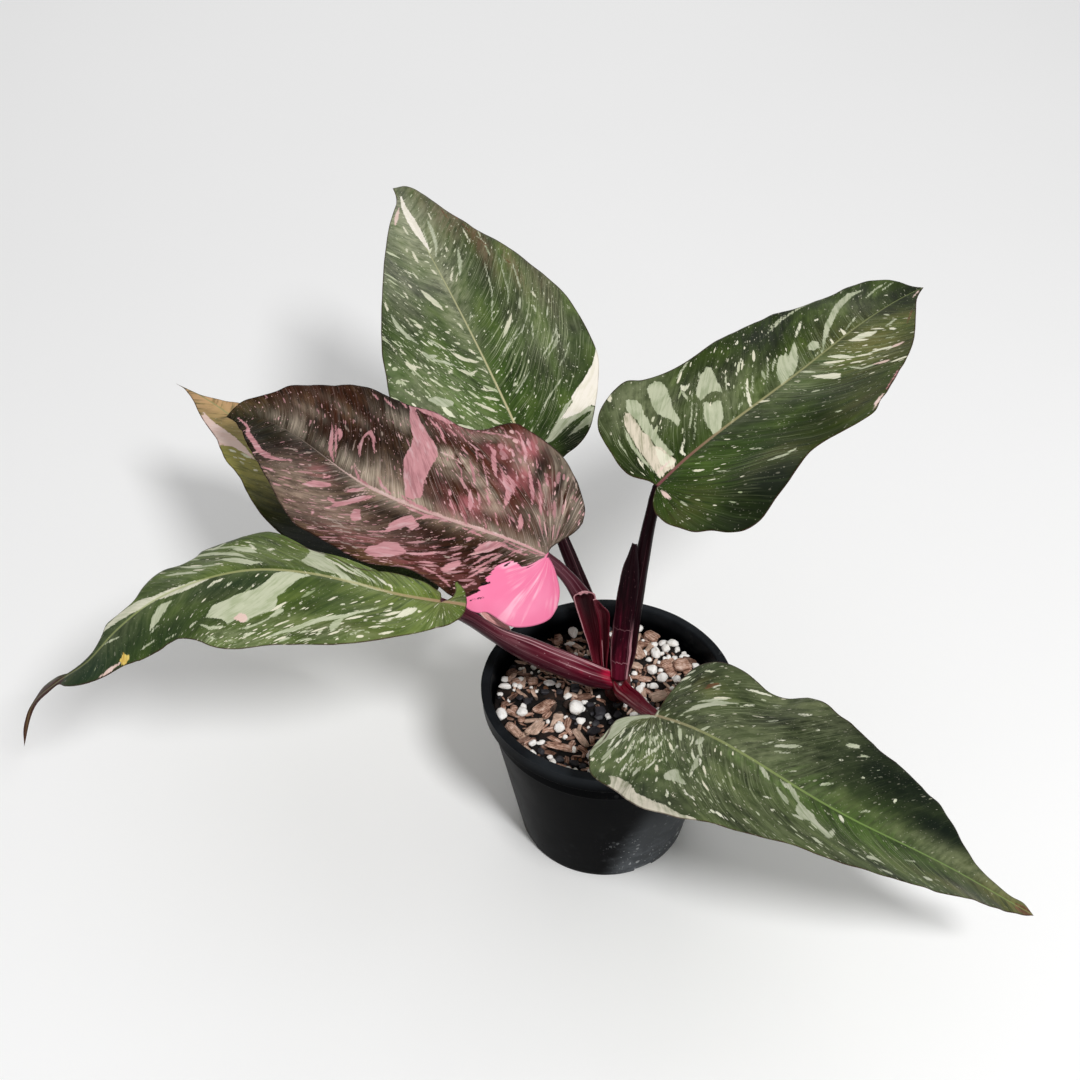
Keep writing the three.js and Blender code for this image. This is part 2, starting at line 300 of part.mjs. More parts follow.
function sweep(spec, extra = 0, sections = 13, around = 12) {
  // an oval section carried along a curve, its size changing on the way, with closed ends
  const pos = [], idx = [], side0 = vec(spec.side).normalize();
  for (let j = 0; j < sections; j++) {
    const x = j / (sections - 1), P = vec(cr(spec.path, x)), T = vec(cr(spec.path, x, true)).normalize();
    const A = side0.clone().addScaledVector(T, -side0.dot(T)).normalize(), B = T.clone().cross(A);
    if (extra && j === 0) P.addScaledVector(T, -extra);
    if (extra && j === sections - 1) P.addScaledVector(T, extra);
    const [w, d] = cr(spec.size, x);
    for (let i = 0; i < around; i++) {
      const a = 2 * Math.PI * i / around;
      const q = P.clone().addScaledVector(A, (w / 2 + extra) * Math.cos(a)).addScaledVector(B, (d / 2 + extra) * Math.sin(a));
      pos.push(q.x, q.y, q.z);
    }
  }
  for (let j = 0; j < sections - 1; j++) for (let i = 0; i < around; i++) {
    const a = j * around + i, b = j * around + (i + 1) % around;
    idx.push(a, b, b + around, a, b + around, a + around);
  }
  for (let i = 1; i < around - 1; i++) {
    idx.push(0, i + 1, i);
    const k = (sections - 1) * around;
    idx.push(k, k + i, k + i + 1);
  }
  return solidFrom(pos, idx);
}
function lathe(profile, segments) {
  return fromGeometry(new THREE.LatheGeometry(profile.map(([r, z]) => new THREE.Vector2(r, z)), segments).rotateX(Math.PI / 2));
}
function cylinder(x, y, r, z0, z1, segments = 24) {
  return fromGeometry(new THREE.CylinderGeometry(r, r, z1 - z0, segments).rotateX(Math.PI / 2).translate(x, y, (z0 + z1) / 2));
}

// ---------------------------------------------------------------- the assembly
const plant = new THREE.Group();
const looks = {
  plastic: { color: 0x17181a, roughness: 0.45 }, mix: { color: 0x241b15, roughness: 0.95 },
  stem: { color: 0x4a1020, roughness: 0.4 }, petiole: { color: 0x4b0f1d, roughness: 0.35 },
  sheath: { color: 0x6a1a2a, roughness: 0.4 }, green: { color: 0x2f4a26, roughness: 0.4 },
  pink: { color: 0x5b3a3a, roughness: 0.4 }, perlite: { color: 0xeeeae2, roughness: 0.9 },
  bark: { color: 0x6b4632, roughness: 0.85 }, charcoal: { color: 0x1d1c1d, roughness: 0.7 },
};
function add(name, solid, look) {
  const mesh = new THREE.Mesh(toGeometry(solid), new THREE.MeshStandardMaterial({ metalness: 0, ...looks[look] }));
  mesh.name = name;
  plant.add(mesh);
  return mesh;
}

// pot: a tapered wall with a moulded line, a rim band and a perforated floor
const bodyTop = POT_HEIGHT - RIM_BAND;
const wallOuter = (z) => BASE_RADIUS + (51.2 - BASE_RADIUS) * z / bodyTop;
const wallInner = (z) => wallOuter(z) - WALL;
let pot = lathe([
  [0, 0], [BASE_RADIUS - 0.5, 0], [BASE_RADIUS, 0.6], [wallOuter(65.4), 65.4], [wallOuter(65.8) + 0.5, 65.9],
  [51.2 + 0.4, bodyTop], [RIM_RADIUS - 0.9, bodyTop + 0.2], [RIM_RADIUS - 0.5, POT_HEIGHT - 1.4], [RIM_RADIUS, POT_HEIGHT - 0.9],
  [RIM_RADIUS - 0.2, POT_HEIGHT - 0.2], [RIM_RADIUS - 0.7, POT_HEIGHT], [RIM_INNER_RADIUS + 0.8, POT_HEIGHT], [RIM_INNER_RADIUS, POT_HEIGHT - 0.7],
  [RIM_INNER_RADIUS - 0.1, bodyTop], [wallInner(60), 60], [wallInner(FLOOR), FLOOR], [0, FLOOR],
], 56);
for (let k = 0; k < DRAIN_HOLES; k++) {
  const a = 2 * Math.PI * (k + 0.5) / DRAIN_HOLES;
  pot = pot.subtract(cylinder(DRAIN_PITCH * Math.cos(a), DRAIN_PITCH * Math.sin(a), DRAIN_RADIUS, -1, FLOOR + 1, 16));
}
for (let k = 0; k < NOTCHES; k++) {
  const a = rad(-62) + 2 * Math.PI * k / NOTCHES;
  const box = new THREE.BoxGeometry(7, 9, 3).translate(BASE_RADIUS + 1.2, 0, 0.6).rotateZ(a);
  pot = pot.subtract(fromGeometry(box));
}
add('nursery_pot', largest(pot), 'plastic');

// growing mix, with the socket the stem stands in
const mixSocket = cylinder(STEM.x, STEM.y, STEM.radius + GAP, STEM.z0 - GAP, MIX_TOP + 5, 20);
const mix = lathe([
  [0, FLOOR + GAP], [wallInner(FLOOR + GAP) - 0.6, FLOOR + GAP], [wallInner(60) - 0.5, 60], [wallInner(70) - 1.2, MIX_TOP - 1.6],
  [42, MIX_TOP - 0.6], [30, MIX_TOP], [0, MIX_TOP],
], 36).subtract(mixSocket);
add('potting_mix', largest(mix), 'mix');

// stem
const stemSolid = (extra) => lathe([
  [0, STEM.z0 - extra], [STEM.radius + extra, STEM.z0 - extra], [STEM.radius + extra, STEM.top - 3],
  [STEM.radius - 1.2 + extra, STEM.top - 0.8 + extra], [STEM.radius - 3 + extra, STEM.top + extra], [0, STEM.top + extra],
], 20).translate([STEM.x, STEM.y, 0]);
add('stem', stemSolid(0), 'stem');

// blades
for (const [name, leaf] of Object.entries(LEAVES)) add(name, bladeSolid(leaf, BLADE_HALF), name === 'leaf_pink' ? 'pink' : 'green');

// petioles, each cut clear of the stem, of its blade and of the petioles before it
let taken = stemSolid(GAP);
for (const [name, spec] of Object.entries(PETIOLES)) {
  const cut = taken.add(bladeSolid(LEAVES[BLADE_OF[name]], BLADE_HALF + GAP));
  add(name, largest(sweep(spec).subtract(cut)), 'petiole');
  taken = taken.add(sweep(spec, GAP));
}
for (const [name, spec] of Object.entries(SHEATHS)) {
  add(name, largest(sweep(spec, 0, 9, 10).subtract(taken)), 'sheath');
  taken = taken.add(sweep(spec, GAP, 9, 10));
}

// grains on the mix
function grain(kind, k, [x, y, l, w, h, a]) {
  const shape = (e) => {
    const geo = kind === 'bark' ? new THREE.BoxGeometry(1, 1, 1, 2, 1, 1) : new THREE.IcosahedronGeometry(0.5, kind === 'perlite' ? 1 : 0);
    return fromGeometry(geo.scale(l + 2 * e, w + 2 * e, h + 2 * e).rotateZ(rad(a)).translate(x, y, MIX_TOP + GAP + h / 2));
  };
  add(kind + '_' + k, largest(shape(0).subtract(taken)), kind);
  taken = taken.add(shape(GAP));
}
// no grain leans on the wall: those nearest to it lie just inside
for (const g of [...PERLITE, ...BARK, ...CHARCOAL]) {
  const r = Math.hypot(g[0], g[1]), most = RIM_INNER_RADIUS - 0.8 - Math.max(g[2], g[3]) / 2;
  if (r > most) { g[0] *= most / r; g[1] *= most / r; }
}
taken = taken.add(mixSocket);
// nor does one lie in another
const all = [...PERLITE, ...BARK, ...CHARCOAL];
for (let pass = 0; pass < 60; pass++) for (let i = 0; i < all.length; i++) for (let j = i + 1; j < all.length; j++) {
  const [a, b] = [all[i], all[j]], dx = b[0] - a[0], dy = b[1] - a[1], d = Math.hypot(dx, dy);
  const reach = (g) => Math.hypot(g[2] / 2 * Math.cos(Math.atan2(dy, dx) - rad(g[5])), g[3] / 2 * Math.sin(Math.atan2(dy, dx) - rad(g[5]))) * 1.15;
  const want = reach(a) + reach(b) + GAP;
  if (d < want) for (const [g, s] of [[a, -1], [b, 1]]) { g[0] += s * dx / d * (want - d) / 2; g[1] += s * dy / d * (want - d) / 2; }
}
PERLITE.forEach((g, k) => grain('perlite', k + 1, g));
BARK.forEach((g, k) => grain('bark', k + 1, g));
CHARCOAL.forEach((g, k) => grain('charcoal', k + 1, g));

export default plant;
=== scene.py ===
# Potted pink princess philodendron: the visible model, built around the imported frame.
import math
import random
import bpy
import numpy as np
from mathutils import Vector, Matrix


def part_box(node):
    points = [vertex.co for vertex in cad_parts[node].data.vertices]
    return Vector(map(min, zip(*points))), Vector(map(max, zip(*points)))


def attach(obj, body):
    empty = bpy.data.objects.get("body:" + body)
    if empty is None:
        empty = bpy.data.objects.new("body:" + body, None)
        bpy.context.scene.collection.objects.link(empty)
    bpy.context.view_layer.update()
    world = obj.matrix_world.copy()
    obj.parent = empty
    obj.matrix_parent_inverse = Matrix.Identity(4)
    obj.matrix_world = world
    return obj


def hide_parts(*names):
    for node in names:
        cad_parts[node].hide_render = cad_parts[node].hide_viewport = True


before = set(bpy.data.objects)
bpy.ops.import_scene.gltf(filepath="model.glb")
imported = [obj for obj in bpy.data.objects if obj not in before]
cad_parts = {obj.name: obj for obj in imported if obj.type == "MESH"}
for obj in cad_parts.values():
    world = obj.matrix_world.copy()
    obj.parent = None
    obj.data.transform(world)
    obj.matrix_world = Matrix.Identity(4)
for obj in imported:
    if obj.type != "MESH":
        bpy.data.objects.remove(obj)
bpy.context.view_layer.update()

RNG = np.random.default_rng(20240611)
MM = 0.001

# ------------------------------------------------------------------ camera, as fitted to the photograph
def make_camera():
    cam = bpy.data.cameras.new("camera")
    cam.sensor_width = 36.0
    cam.sensor_fit = "HORIZONTAL"
    cam.lens = 36.0 * 1600.0 / 1080.0
    cam.clip_start, cam.clip_end = 0.01, 50
    ob = bpy.data.objects.new("camera", cam)
    bpy.context.scene.collection.objects.link(ob)
    phi, roll = 0.69779, 0.00673
    f = Vector((0, math.cos(phi), -math.sin(phi)))
    r = Vector((1, 0, 0)); u = r.cross(f)
    r2 = r * math.cos(roll) + u * math.sin(roll)
    u2 = -r * math.sin(roll) + u * math.cos(roll)
    m = Matrix((r2, u2, -f)).transposed().to_4x4()
    m.translation = Vector((-29.33147, -480.5184, 564.47912)) * MM
    ob.matrix_world = m
    bpy.context.scene.camera = ob
make_camera()

# ------------------------------------------------------------------ leaf data, millimetres
# length and midrib (13 points), roll and rise of each half in degrees, waves
# [along, across, height, spread, spread], and the flat outline of each half as [along, across]
LEAVES = {
    "back": dict(
        length=176.84,
        midrib=[[-33.77,81.71,139.82],[-39.44,93.64,146.35],[-45.17,105.82,152.36],[-50.95,118.2,157.88],[-56.76,130.77,162.92],[-62.59,143.49,167.53],[-68.43,156.36,171.71],[-74.26,169.34,175.52],[-80.09,182.43,178.97],[-85.9,195.61,182.1],[-91.68,208.86,184.94],[-97.44,222.18,187.52],[-103.15,235.55,189.88]],
        roll=[-4,-2,0,3,4],
        foldL=[9,9,9,9,9],
        foldR=[9,9,9,9,9],
        waves=[[60,50,-3,18,18],[100,-36,2.5,18,14]],
        sinusL=[[-3.2,-9.3],[-2.9,-7.7],[-2.5,-6.1],[-2,-4.5],[-1.4,-3],[-0.8,-1.5],[0,0]],
        marginL=[[-3.2,-9.3],[-3.3,-15.4],[-2.6,-21.5],[-1.4,-27.4],[0.6,-33.1],[3.4,-38.5],[7.2,-43.3],[11.8,-47.3],[17.2,-50.1],[23,-51.8],[29.1,-52.6],[35.2,-52.8],[41.2,-52.3],[47.1,-50.9],[53,-49.2],[58.9,-47.8],[64.8,-46.4],[70.6,-44.5],[76.4,-42.5],[82.1,-40.3],[87.7,-38.1],[93.4,-35.8],[99,-33.4],[104.6,-31.1],[110.2,-28.8],[115.9,-26.5],[121.5,-24.2],[127.1,-21.7],[132.6,-19.2],[138.2,-16.7],[143.7,-14.1],[149.1,-11.4],[154.4,-8.4],[159.7,-5.4],[165,-2.3],[170.8,-0.6],[176.8,0]],
        sinusR=[[-5.6,4.7],[-5.6,3.4],[-4.8,2.3],[-3.8,1.4],[-2.6,0.7],[-1.3,0.2],[0,0]],
        marginR=[[-5.6,4.7],[-5.9,10.5],[-3.4,16.1],[-1.3,21.9],[1.8,27.1],[5.9,31.7],[10.9,35.4],[16.1,38.6],[21.4,41.7],[26.8,44.5],[32.3,47.2],[38,49.4],[44.1,50.6],[50.1,51.3],[56.3,51.8],[62.4,51.8],[68.5,51.2],[74.5,50.2],[80.4,48.4],[86.1,46],[91.7,43.7],[97.4,41.3],[103,39],[108.6,36.4],[114.1,33.7],[119.6,30.9],[124.9,27.9],[130.4,25.1],[136.2,23.1],[141.7,20.4],[147.3,17.9],[153.1,15.9],[158.9,13.9],[164.7,12],[170.4,9.6],[175.1,5.8],[176.8,0]],
    ),
    "pink": dict(
        length=170.2,
        midrib=[[-26.12,16.02,139.99],[-39.03,21.04,142.99],[-52.42,24.73,145.85],[-65.9,28.38,148.34],[-79.14,33.06,150.28],[-91.84,39.21,151.65],[-103.57,47.11,152.45],[-113.97,56.73,152.73],[-123.49,67.24,152.6],[-132.91,77.83,152.19],[-143.05,87.72,151.61],[-154.9,95.39,150.91],[-168.75,97.46,150.05]],
        roll=[20,20,18,16,14],
        foldL=[14,16,18,16,12],
        foldR=[16,16,16,14,10],
        waves=[[50,52,-9,13,22],[30,52,4,11,18],[52,-34,5,12,16],[95,46,-3,14,16],[6,-34,-5,24,16]],
        sinusL=[[-13.7,-22.4],[-12.7,-18],[-11.2,-13.8],[-9,-9.8],[-6.5,-6.1],[-3.6,-2.7],[0,0]],
        marginL=[[-13.7,-22.4],[-13.2,-28.1],[-9.9,-32.8],[-5.3,-36.3],[0.1,-38.4],[5.8,-37.5],[11.4,-37],[16.4,-39.8],[22.1,-40.4],[25.6,-37.3],[31.3,-36.9],[36.6,-34.7],[42.3,-33.6],[48.1,-33.8],[53,-36.6],[58.2,-38.9],[64,-39.3],[69.7,-38.2],[75.4,-37.3],[81.1,-36.4],[86.8,-36.3],[92.3,-34.5],[97.7,-32.4],[103.2,-30.6],[108.7,-28.8],[114.3,-27.2],[119.8,-25.7],[125.4,-24],[130.9,-22.2],[136.4,-20.4],[141.9,-18.5],[147.3,-16.5],[152.6,-14.2],[157.8,-11.6],[162.3,-8.1],[165.4,-3.2],[170.2,0]],
        sinusR=[[-7.5,18.5],[-6.8,15.2],[-5.3,12.1],[-3.3,9.3],[-1.3,6.4],[0.2,3.3],[0,0]],
        marginR=[[-7.5,18.5],[-6.1,23.9],[-2.7,28.5],[1.1,32.7],[5.5,36.1],[9.8,39.8],[14.5,42.9],[19.8,44.9],[25.3,45.8],[31,46.6],[36.5,45.7],[42.1,44.5],[47.7,43.6],[53.2,42.5],[58.8,41.4],[64.5,41.3],[70.1,41.1],[75.8,40.7],[81.4,40.3],[87.1,39.9],[92.8,39.5],[98.4,39],[104,38.3],[109.7,37.5],[115.3,36.7],[120.8,35.5],[126,33.3],[131,30.6],[135.8,27.5],[140.7,24.8],[145.8,22.2],[150.8,19.6],[154.3,15.1],[158.7,11.6],[163.8,9.1],[167.8,5.1],[170.2,0]],
    ),
    "right": dict(
        length=186.23,
        midrib=[[15.91,9.15,181.8],[26.59,19.38,186.49],[37.91,29.23,190.44],[49.39,39.2,193.54],[60.71,49.58,195.74],[71.56,60.59,197.03],[81.75,72.28,197.44],[91.46,84.38,197.13],[100.93,96.64,196.29],[110.45,108.84,195.1],[120.28,120.77,193.72],[130.7,132.19,192.33],[141.93,142.81,191.1]],
        roll=[-2,-2,0,3,6],
        foldL=[8,8,8,8,8],
        foldR=[8,8,8,8,8],
        waves=[[55,40,-4,14,18],[62,-42,3,16,16],[150,-22,-3,16,12]],
        sinusL=[[-0.8,-5],[-0.6,-4.2],[-0.4,-3.4],[-0.3,-2.5],[-0.2,-1.7],[-0.1,-0.8],[0,0]],
        marginL=[[-0.8,-5],[-2.9,-11.1],[-2.3,-17.5],[-0.3,-23.6],[1.9,-29.7],[4.8,-35.4],[9.4,-39.9],[15.1,-43],[21.2,-44.9],[27.6,-44.8],[32.4,-40.6],[38.2,-37.8],[44.4,-35.9],[50.7,-34.5],[57.1,-33.7],[63.6,-33.7],[70,-33.9],[76.5,-33.9],[82.9,-33.9],[89.4,-33.6],[95.7,-32.7],[102.1,-31.5],[108.4,-30.3],[114.7,-28.9],[120.8,-26.8],[127.1,-25.6],[133.6,-25.3],[140,-25.1],[146.5,-24.7],[152.9,-24.2],[159.3,-23.4],[165.4,-21.3],[171.2,-18.6],[176.3,-14.6],[180.4,-9.6],[182.7,-3.7],[186.2,0]],
        sinusR=[[-10.9,9.5],[-9.6,7.4],[-8.1,5.5],[-6.3,3.8],[-4.3,2.4],[-2.2,1.1],[0,0]],
        marginR=[[-10.9,9.5],[-11.9,15.9],[-11,22.3],[-9.5,28.7],[-5.3,33.7],[-2.7,39.7],[1.4,44.5],[7.6,46.5],[14.1,46.1],[20.6,45],[27,43.6],[33.3,41.6],[39.4,39.4],[45.5,36.9],[51.7,35.1],[58.2,35.6],[64.4,37.9],[70.4,40.5],[76.6,41.9],[82.8,39.8],[89.2,38.4],[95.6,36.8],[101.9,35.2],[108.3,33.8],[114.7,32.2],[121,30.4],[127.2,28.4],[133.3,26],[139.3,23.4],[145.2,20.6],[151.1,17.7],[157,14.7],[162.7,11.6],[168.4,8.4],[174.2,5.3],[180.2,2.5],[186.2,0]],
    ),
    "left": dict(
        length=200.53,
        midrib=[[-67.37,-22.19,149.01],[-83.76,-21.54,152.03],[-99.95,-18.38,154.69],[-116.23,-15.06,156.4],[-132.86,-13.61,156.67],[-149.47,-14.28,155.25],[-165.6,-16.92,151.87],[-180.59,-21.52,146.17],[-193.43,-28.48,138.14],[-204.75,-35.94,128.42],[-217.9,-37.37,118.52],[-229.46,-39.22,107.19],[-232.97,-48.6,93.96]],
        roll=[0,0,0,0,0],
        foldL=[-10,-14,-14,-12,-8],
        foldR=[4,-25,-21,-9,-4],
        waves=[[76,30,8,16,20],[95,-30,4,14,14],[30,-22,2,14,12]],
        sinusL=[[-5.1,12.1],[-4.3,10.8],[-4.8,8.2],[-4.8,5.6],[-4,3.2],[-2.3,1.3],[0,0]],
        marginL=[[-5.1,12.1],[-8.8,7.2],[-10,0.5],[-8.6,-6.1],[-4,-11.1],[1.9,-14.4],[8,-17.5],[14.1,-20.7],[19.7,-24.5],[25.6,-27.9],[32.1,-30.1],[38.8,-31.5],[45.6,-32.4],[52.3,-33.3],[59.1,-34.1],[65.9,-34.9],[72.7,-35.7],[79.5,-36.4],[86.3,-36.3],[92.9,-34.7],[98.7,-31],[104.1,-26.8],[110,-23.3],[116.6,-21.7],[123.4,-21],[130,-19.2],[136.2,-16.4],[142.1,-13],[148.6,-10.9],[155.1,-8.8],[161.2,-5.8],[166.6,-1.7],[173.3,-2.2],[180.1,-2.1],[186.9,-1.2],[193.7,-0.5],[200.5,0]],
        sinusR=[[1.3,5.1],[0.7,4.4],[0.4,3.6],[0.2,2.7],[0,1.8],[0,0.9],[0,0]],
        marginR=[[1.3,5.1],[6.3,8.8],[12.3,10.7],[18.5,12.1],[24.8,12.2],[31,10.8],[37.3,11.2],[42.9,14.1],[47.6,18.2],[52.8,21.9],[58.3,25.1],[64.1,27.6],[69.5,30.2],[73,35.4],[77.8,31.8],[83.7,29.7],[90,30.7],[96.2,30.3],[99.4,25.2],[104.4,21.4],[110.5,21.6],[115,17.6],[118.6,12.4],[122.9,7.8],[129.1,7.5],[135.3,8.1],[140.2,4.2],[146.1,2.2],[152.4,2],[158.8,1.4],[165,1.6],[170.5,4.8],[176.6,4.7],[181.9,1.2],[188.2,1.1],[194.5,1.3],[200.5,0]],
    ),
    "front": dict(
        length=178.76,
        midrib=[[16.36,-38.55,104.03],[28.81,-46.37,106.34],[40.15,-55.78,108.45],[51.19,-65.74,109.29],[62.63,-75.2,108.28],[74.91,-83.04,105.33],[87.98,-88.13,100.4],[101.16,-90.85,94.05],[114.09,-92.23,86.79],[126.72,-93.24,78.96],[139.11,-94.5,70.78],[151.35,-95.83,62.4],[163.58,-96.88,53.97]],
        roll=[2,2,0,0,0],
        foldL=[8,10,14,14,8],
        foldR=[0,4,16,18,10],
        waves=[[35,-40,-6,13,20],[75,-42,2,16,18],[75,30,3,16,16]],
        sinusL=[[0.3,-5.3],[0.4,-4.4],[0.4,-3.5],[0.4,-2.6],[0.3,-1.8],[0.2,-0.9],[0,0]],
        marginL=[[0.3,-5.3],[0.2,-11.2],[0.6,-17.2],[1.5,-23],[3,-28.8],[6.5,-33.5],[11.5,-36.7],[17.3,-37.1],[23.2,-36.2],[29.1,-35.6],[34.8,-37.2],[40.2,-39.5],[46.1,-40],[52.1,-39.4],[57.8,-38.1],[63.5,-36.3],[69.4,-35.7],[75.3,-35.1],[81.3,-34.6],[87.2,-34.1],[93.1,-33.7],[99,-33.4],[105,-32.9],[110.8,-31.8],[116.3,-29.6],[121.7,-27.2],[127.4,-25.5],[131.9,-21.7],[136.1,-17.4],[140.3,-13.3],[145.3,-10],[150.7,-7.5],[156.3,-5.6],[162,-4.1],[167.9,-3.4],[173.8,-3.2],[178.8,0]],
        sinusR=[[-10.8,17.6],[-11.8,13.9],[-11.8,10],[-9.5,6.9],[-6.4,4.5],[-3.3,2.1],[0,0]],
        marginR=[[-10.8,17.6],[-10.2,23.7],[-11.8,29.5],[-9.1,35],[-5.5,39.9],[-0.8,42.2],[5,44.1],[10.9,45.8],[16.9,47.2],[23,48.3],[29,49.2],[35.1,49.4],[41,47.7],[46.6,45.3],[51.6,41.7],[57,38.8],[62.7,36.5],[68.4,34.1],[74.2,32.5],[80.3,32.9],[86.4,32.2],[92.3,30.6],[98.3,29.1],[104.2,27.5],[110.2,26.3],[116.2,25],[122.2,23.6],[128,21.7],[133.7,19.3],[139.2,16.7],[144.8,14.2],[150.5,11.8],[156.2,9.5],[161.8,7.2],[167.6,5],[173.3,2.9],[178.8,0]],
    ),
    "rear": dict(
        length=174.78,
        midrib=[[-79.72,50.93,103.87],[-92.39,57.43,106.92],[-104.3,65.36,109.59],[-115.44,74.45,111.88],[-125.91,84.39,113.79],[-135.85,94.92,115.36],[-145.46,105.79,116.62],[-154.95,116.8,117.62],[-164.52,127.75,118.4],[-174.38,138.45,118.98],[-184.73,148.69,119.41],[-195.74,158.21,119.72],[-207.55,166.72,119.93]],
        roll=[0,0,0,0,0],
        foldL=[10,10,10,10,10],
        foldR=[4,4,4,4,4],
        waves=[[60,-34,-3,18,14]],
        sinusL=[[-12.4,-12.2],[-12,-9],[-10.6,-6.1],[-8.6,-3.5],[-6.2,-1.3],[-3.2,0.1],[0,0]],
        marginL=[[-12.4,-12.2],[-10.9,-17.4],[-6.9,-21.3],[-2.1,-24.1],[2.9,-26.4],[8.2,-28.2],[13.5,-29.8],[18.9,-30.9],[24.4,-31.9],[29.9,-32.7],[35.4,-33],[41,-32.9],[46.5,-32.2],[52,-31.6],[57.6,-31.1],[63.1,-30.7],[68.6,-30.2],[74.1,-29.3],[79.4,-27.8],[84.8,-26.2],[90.1,-24.7],[95.6,-23.8],[101.1,-23.6],[106.5,-22.4],[111.7,-20.5],[117,-18.7],[122.2,-16.8],[127.6,-15.5],[133,-14.2],[138.4,-12.8],[143.7,-11.3],[148.9,-9.3],[154,-7],[159,-4.8],[164.2,-2.6],[169.3,-0.6],[174.8,0]],
        sinusR=[[-3.4,7.9],[-3.7,6.3],[-3.6,4.8],[-3.2,3.2],[-2.6,1.8],[-1.4,0.7],[0,0]],
        marginR=[[-3.4,7.9],[-1.9,13.1],[0.9,17.7],[4.7,21.6],[9.2,24.7],[14,27.2],[19.1,29.2],[24.4,30.6],[29.7,31.7],[35.1,32.7],[40.5,33.3],[45.9,33.7],[51.3,33.9],[56.8,33.9],[62.2,33.8],[67.7,33.5],[73.1,33],[78.5,32.5],[83.9,31.7],[89.3,30.8],[94.6,29.7],[99.9,28.4],[105.2,27],[110.4,25.4],[115.5,23.6],[120.6,21.5],[125.4,19.1],[130.1,16.3],[134.6,13.3],[138.8,9.8],[143.4,6.8],[148.2,4.4],[153.2,2.2],[158.5,0.6],[163.9,0.2],[169.3,0.1],[174.8,0]],
    ),

}

# ------------------------------------------------------------------ curves and blade surface
def cr(V, x, deriv=False):
    V = np.asarray(V, float); n = len(V) - 1
    x = np.asarray(x, float)
    t = np.clip(x, 0, 1) * n; i = np.minimum(t.astype(int), n - 1); f = t - i
    a = V[np.maximum(i - 1, 0)]; b = V[i]; c = V[i + 1]; d = V[np.minimum(i + 2, n)]
    first, last = (i == 0), (i == n - 1)
    if V.ndim > 1:
        first, last, f = first[..., None], last[..., None], f[..., None]
    a = np.where(first, 2 * b - c, a); d = np.where(last, 2 * c - b, d)
    if deriv:
        return n * 0.5 * ((c - a) + 2 * f * (2 * a - 5 * b + 4 * c - d) + 3 * f * f * (-a + 3 * b - 3 * c + d))
    return 0.5 * (2 * b + (c - a) * f + (2 * a - 5 * b + 4 * c - d) * f * f + (-a + 3 * b - 3 * c + d) * f ** 3)

def unit(v):
    return v / np.maximum(np.linalg.norm(v, axis=-1, keepdims=True), 1e-12)

def blade_frame(leaf, s):
    L = leaf["length"]; x = np.asarray(s, float) / L; xc = np.clip(x, 0, 1)
    P = cr(leaf["midrib"], xc); T = unit(cr(leaf["midrib"], xc, True))
    P = P + T * ((x - xc) * L)[..., None]
    H = unit(np.cross(T, [0, 0, 1.0])); N = np.cross(H, T)
    r = np.radians(cr(leaf["roll"], xc))[..., None]
    return P, T, H * np.cos(r) + N * np.sin(r), -H * np.sin(r) + N * np.cos(r)

def blade(leaf, s, b):
    s = np.asarray(s, float); b = np.asarray(b, float)
    P, T, H, N = blade_frame(leaf, s); xc = np.clip(s / leaf["length"], 0, 1)
    f = np.radians(np.where(b > 0, cr(leaf["foldR"], xc), cr(leaf["foldL"], xc)))
    z = np.tan(f) * (np.sqrt(b * b + 9) - 3)
    for s0, b0, amp, ws, wb in leaf["waves"]:
        z = z + amp * np.exp(-((s - s0) / ws) ** 2 - ((b - b0) / wb) ** 2)
    return P + H * (b * np.cos(f))[..., None] + N * (z * np.cos(f))[..., None]

def blade_normal(leaf, s, b):
    e = 0.6
    ds = blade(leaf, s + e, b) - blade(leaf, s - e, b)
    db = blade(leaf, s, b + e) - blade(leaf, s, b - e)
    return unit(np.cross(db, ds))

# smooth 1-D and 2-D value noise, seeded
def noise1(x, seed, n=512):
    g = np.random.default_rng(seed).uniform(-1, 1, n)
    x = np.asarray(x, float); i = np.floor(x).astype(int); f = x - i; f = f * f * (3 - 2 * f)
    return g[i % n] * (1 - f) + g[(i + 1) % n] * f
def noise2(x, y, seed, n=64):
    g = np.random.default_rng(seed).uniform(-1, 1, (n, n))
    x = np.asarray(x, float); y = np.asarray(y, float)
    i = np.floor(x).astype(int); j = np.floor(y).astype(int); f = x - i; h = y - j
    f = f * f * (3 - 2 * f); h = h * h * (3 - 2 * h)
    return ((g[i % n, j % n] * (1 - f) + g[(i + 1) % n, j % n] * f) * (1 - h)
            + (g[i % n, (j + 1) % n] * (1 - f) + g[(i + 1) % n, (j + 1) % n] * f) * h)

def sdf(poly, P):
    """signed distance in mm from points P (n,2) to a closed outline: positive inside"""
    A = np.asarray(poly, float); B = np.roll(A, -1, 0)
    d2 = np.full(len(P), 1e9); inside = np.zeros(len(P), bool)
    for a, b in zip(A, B):
        ab = b - a; ap = P - a
        t = np.clip((ap @ ab) / max(ab @ ab, 1e-9), 0, 1)
        d2 = np.minimum(d2, ((ap - t[:, None] * ab) ** 2).sum(1))
        c = (a[1] > P[:, 1]) != (b[1] > P[:, 1])
        with np.errstate(divide="ignore", invalid="ignore"):
            xi = a[0] + (P[:, 1] - a[1]) * (b[0] - a[0]) / (b[1] - a[1])
        inside ^= c & (P[:, 0] < xi)
    return np.where(inside, 1, -1) * np.sqrt(d2)

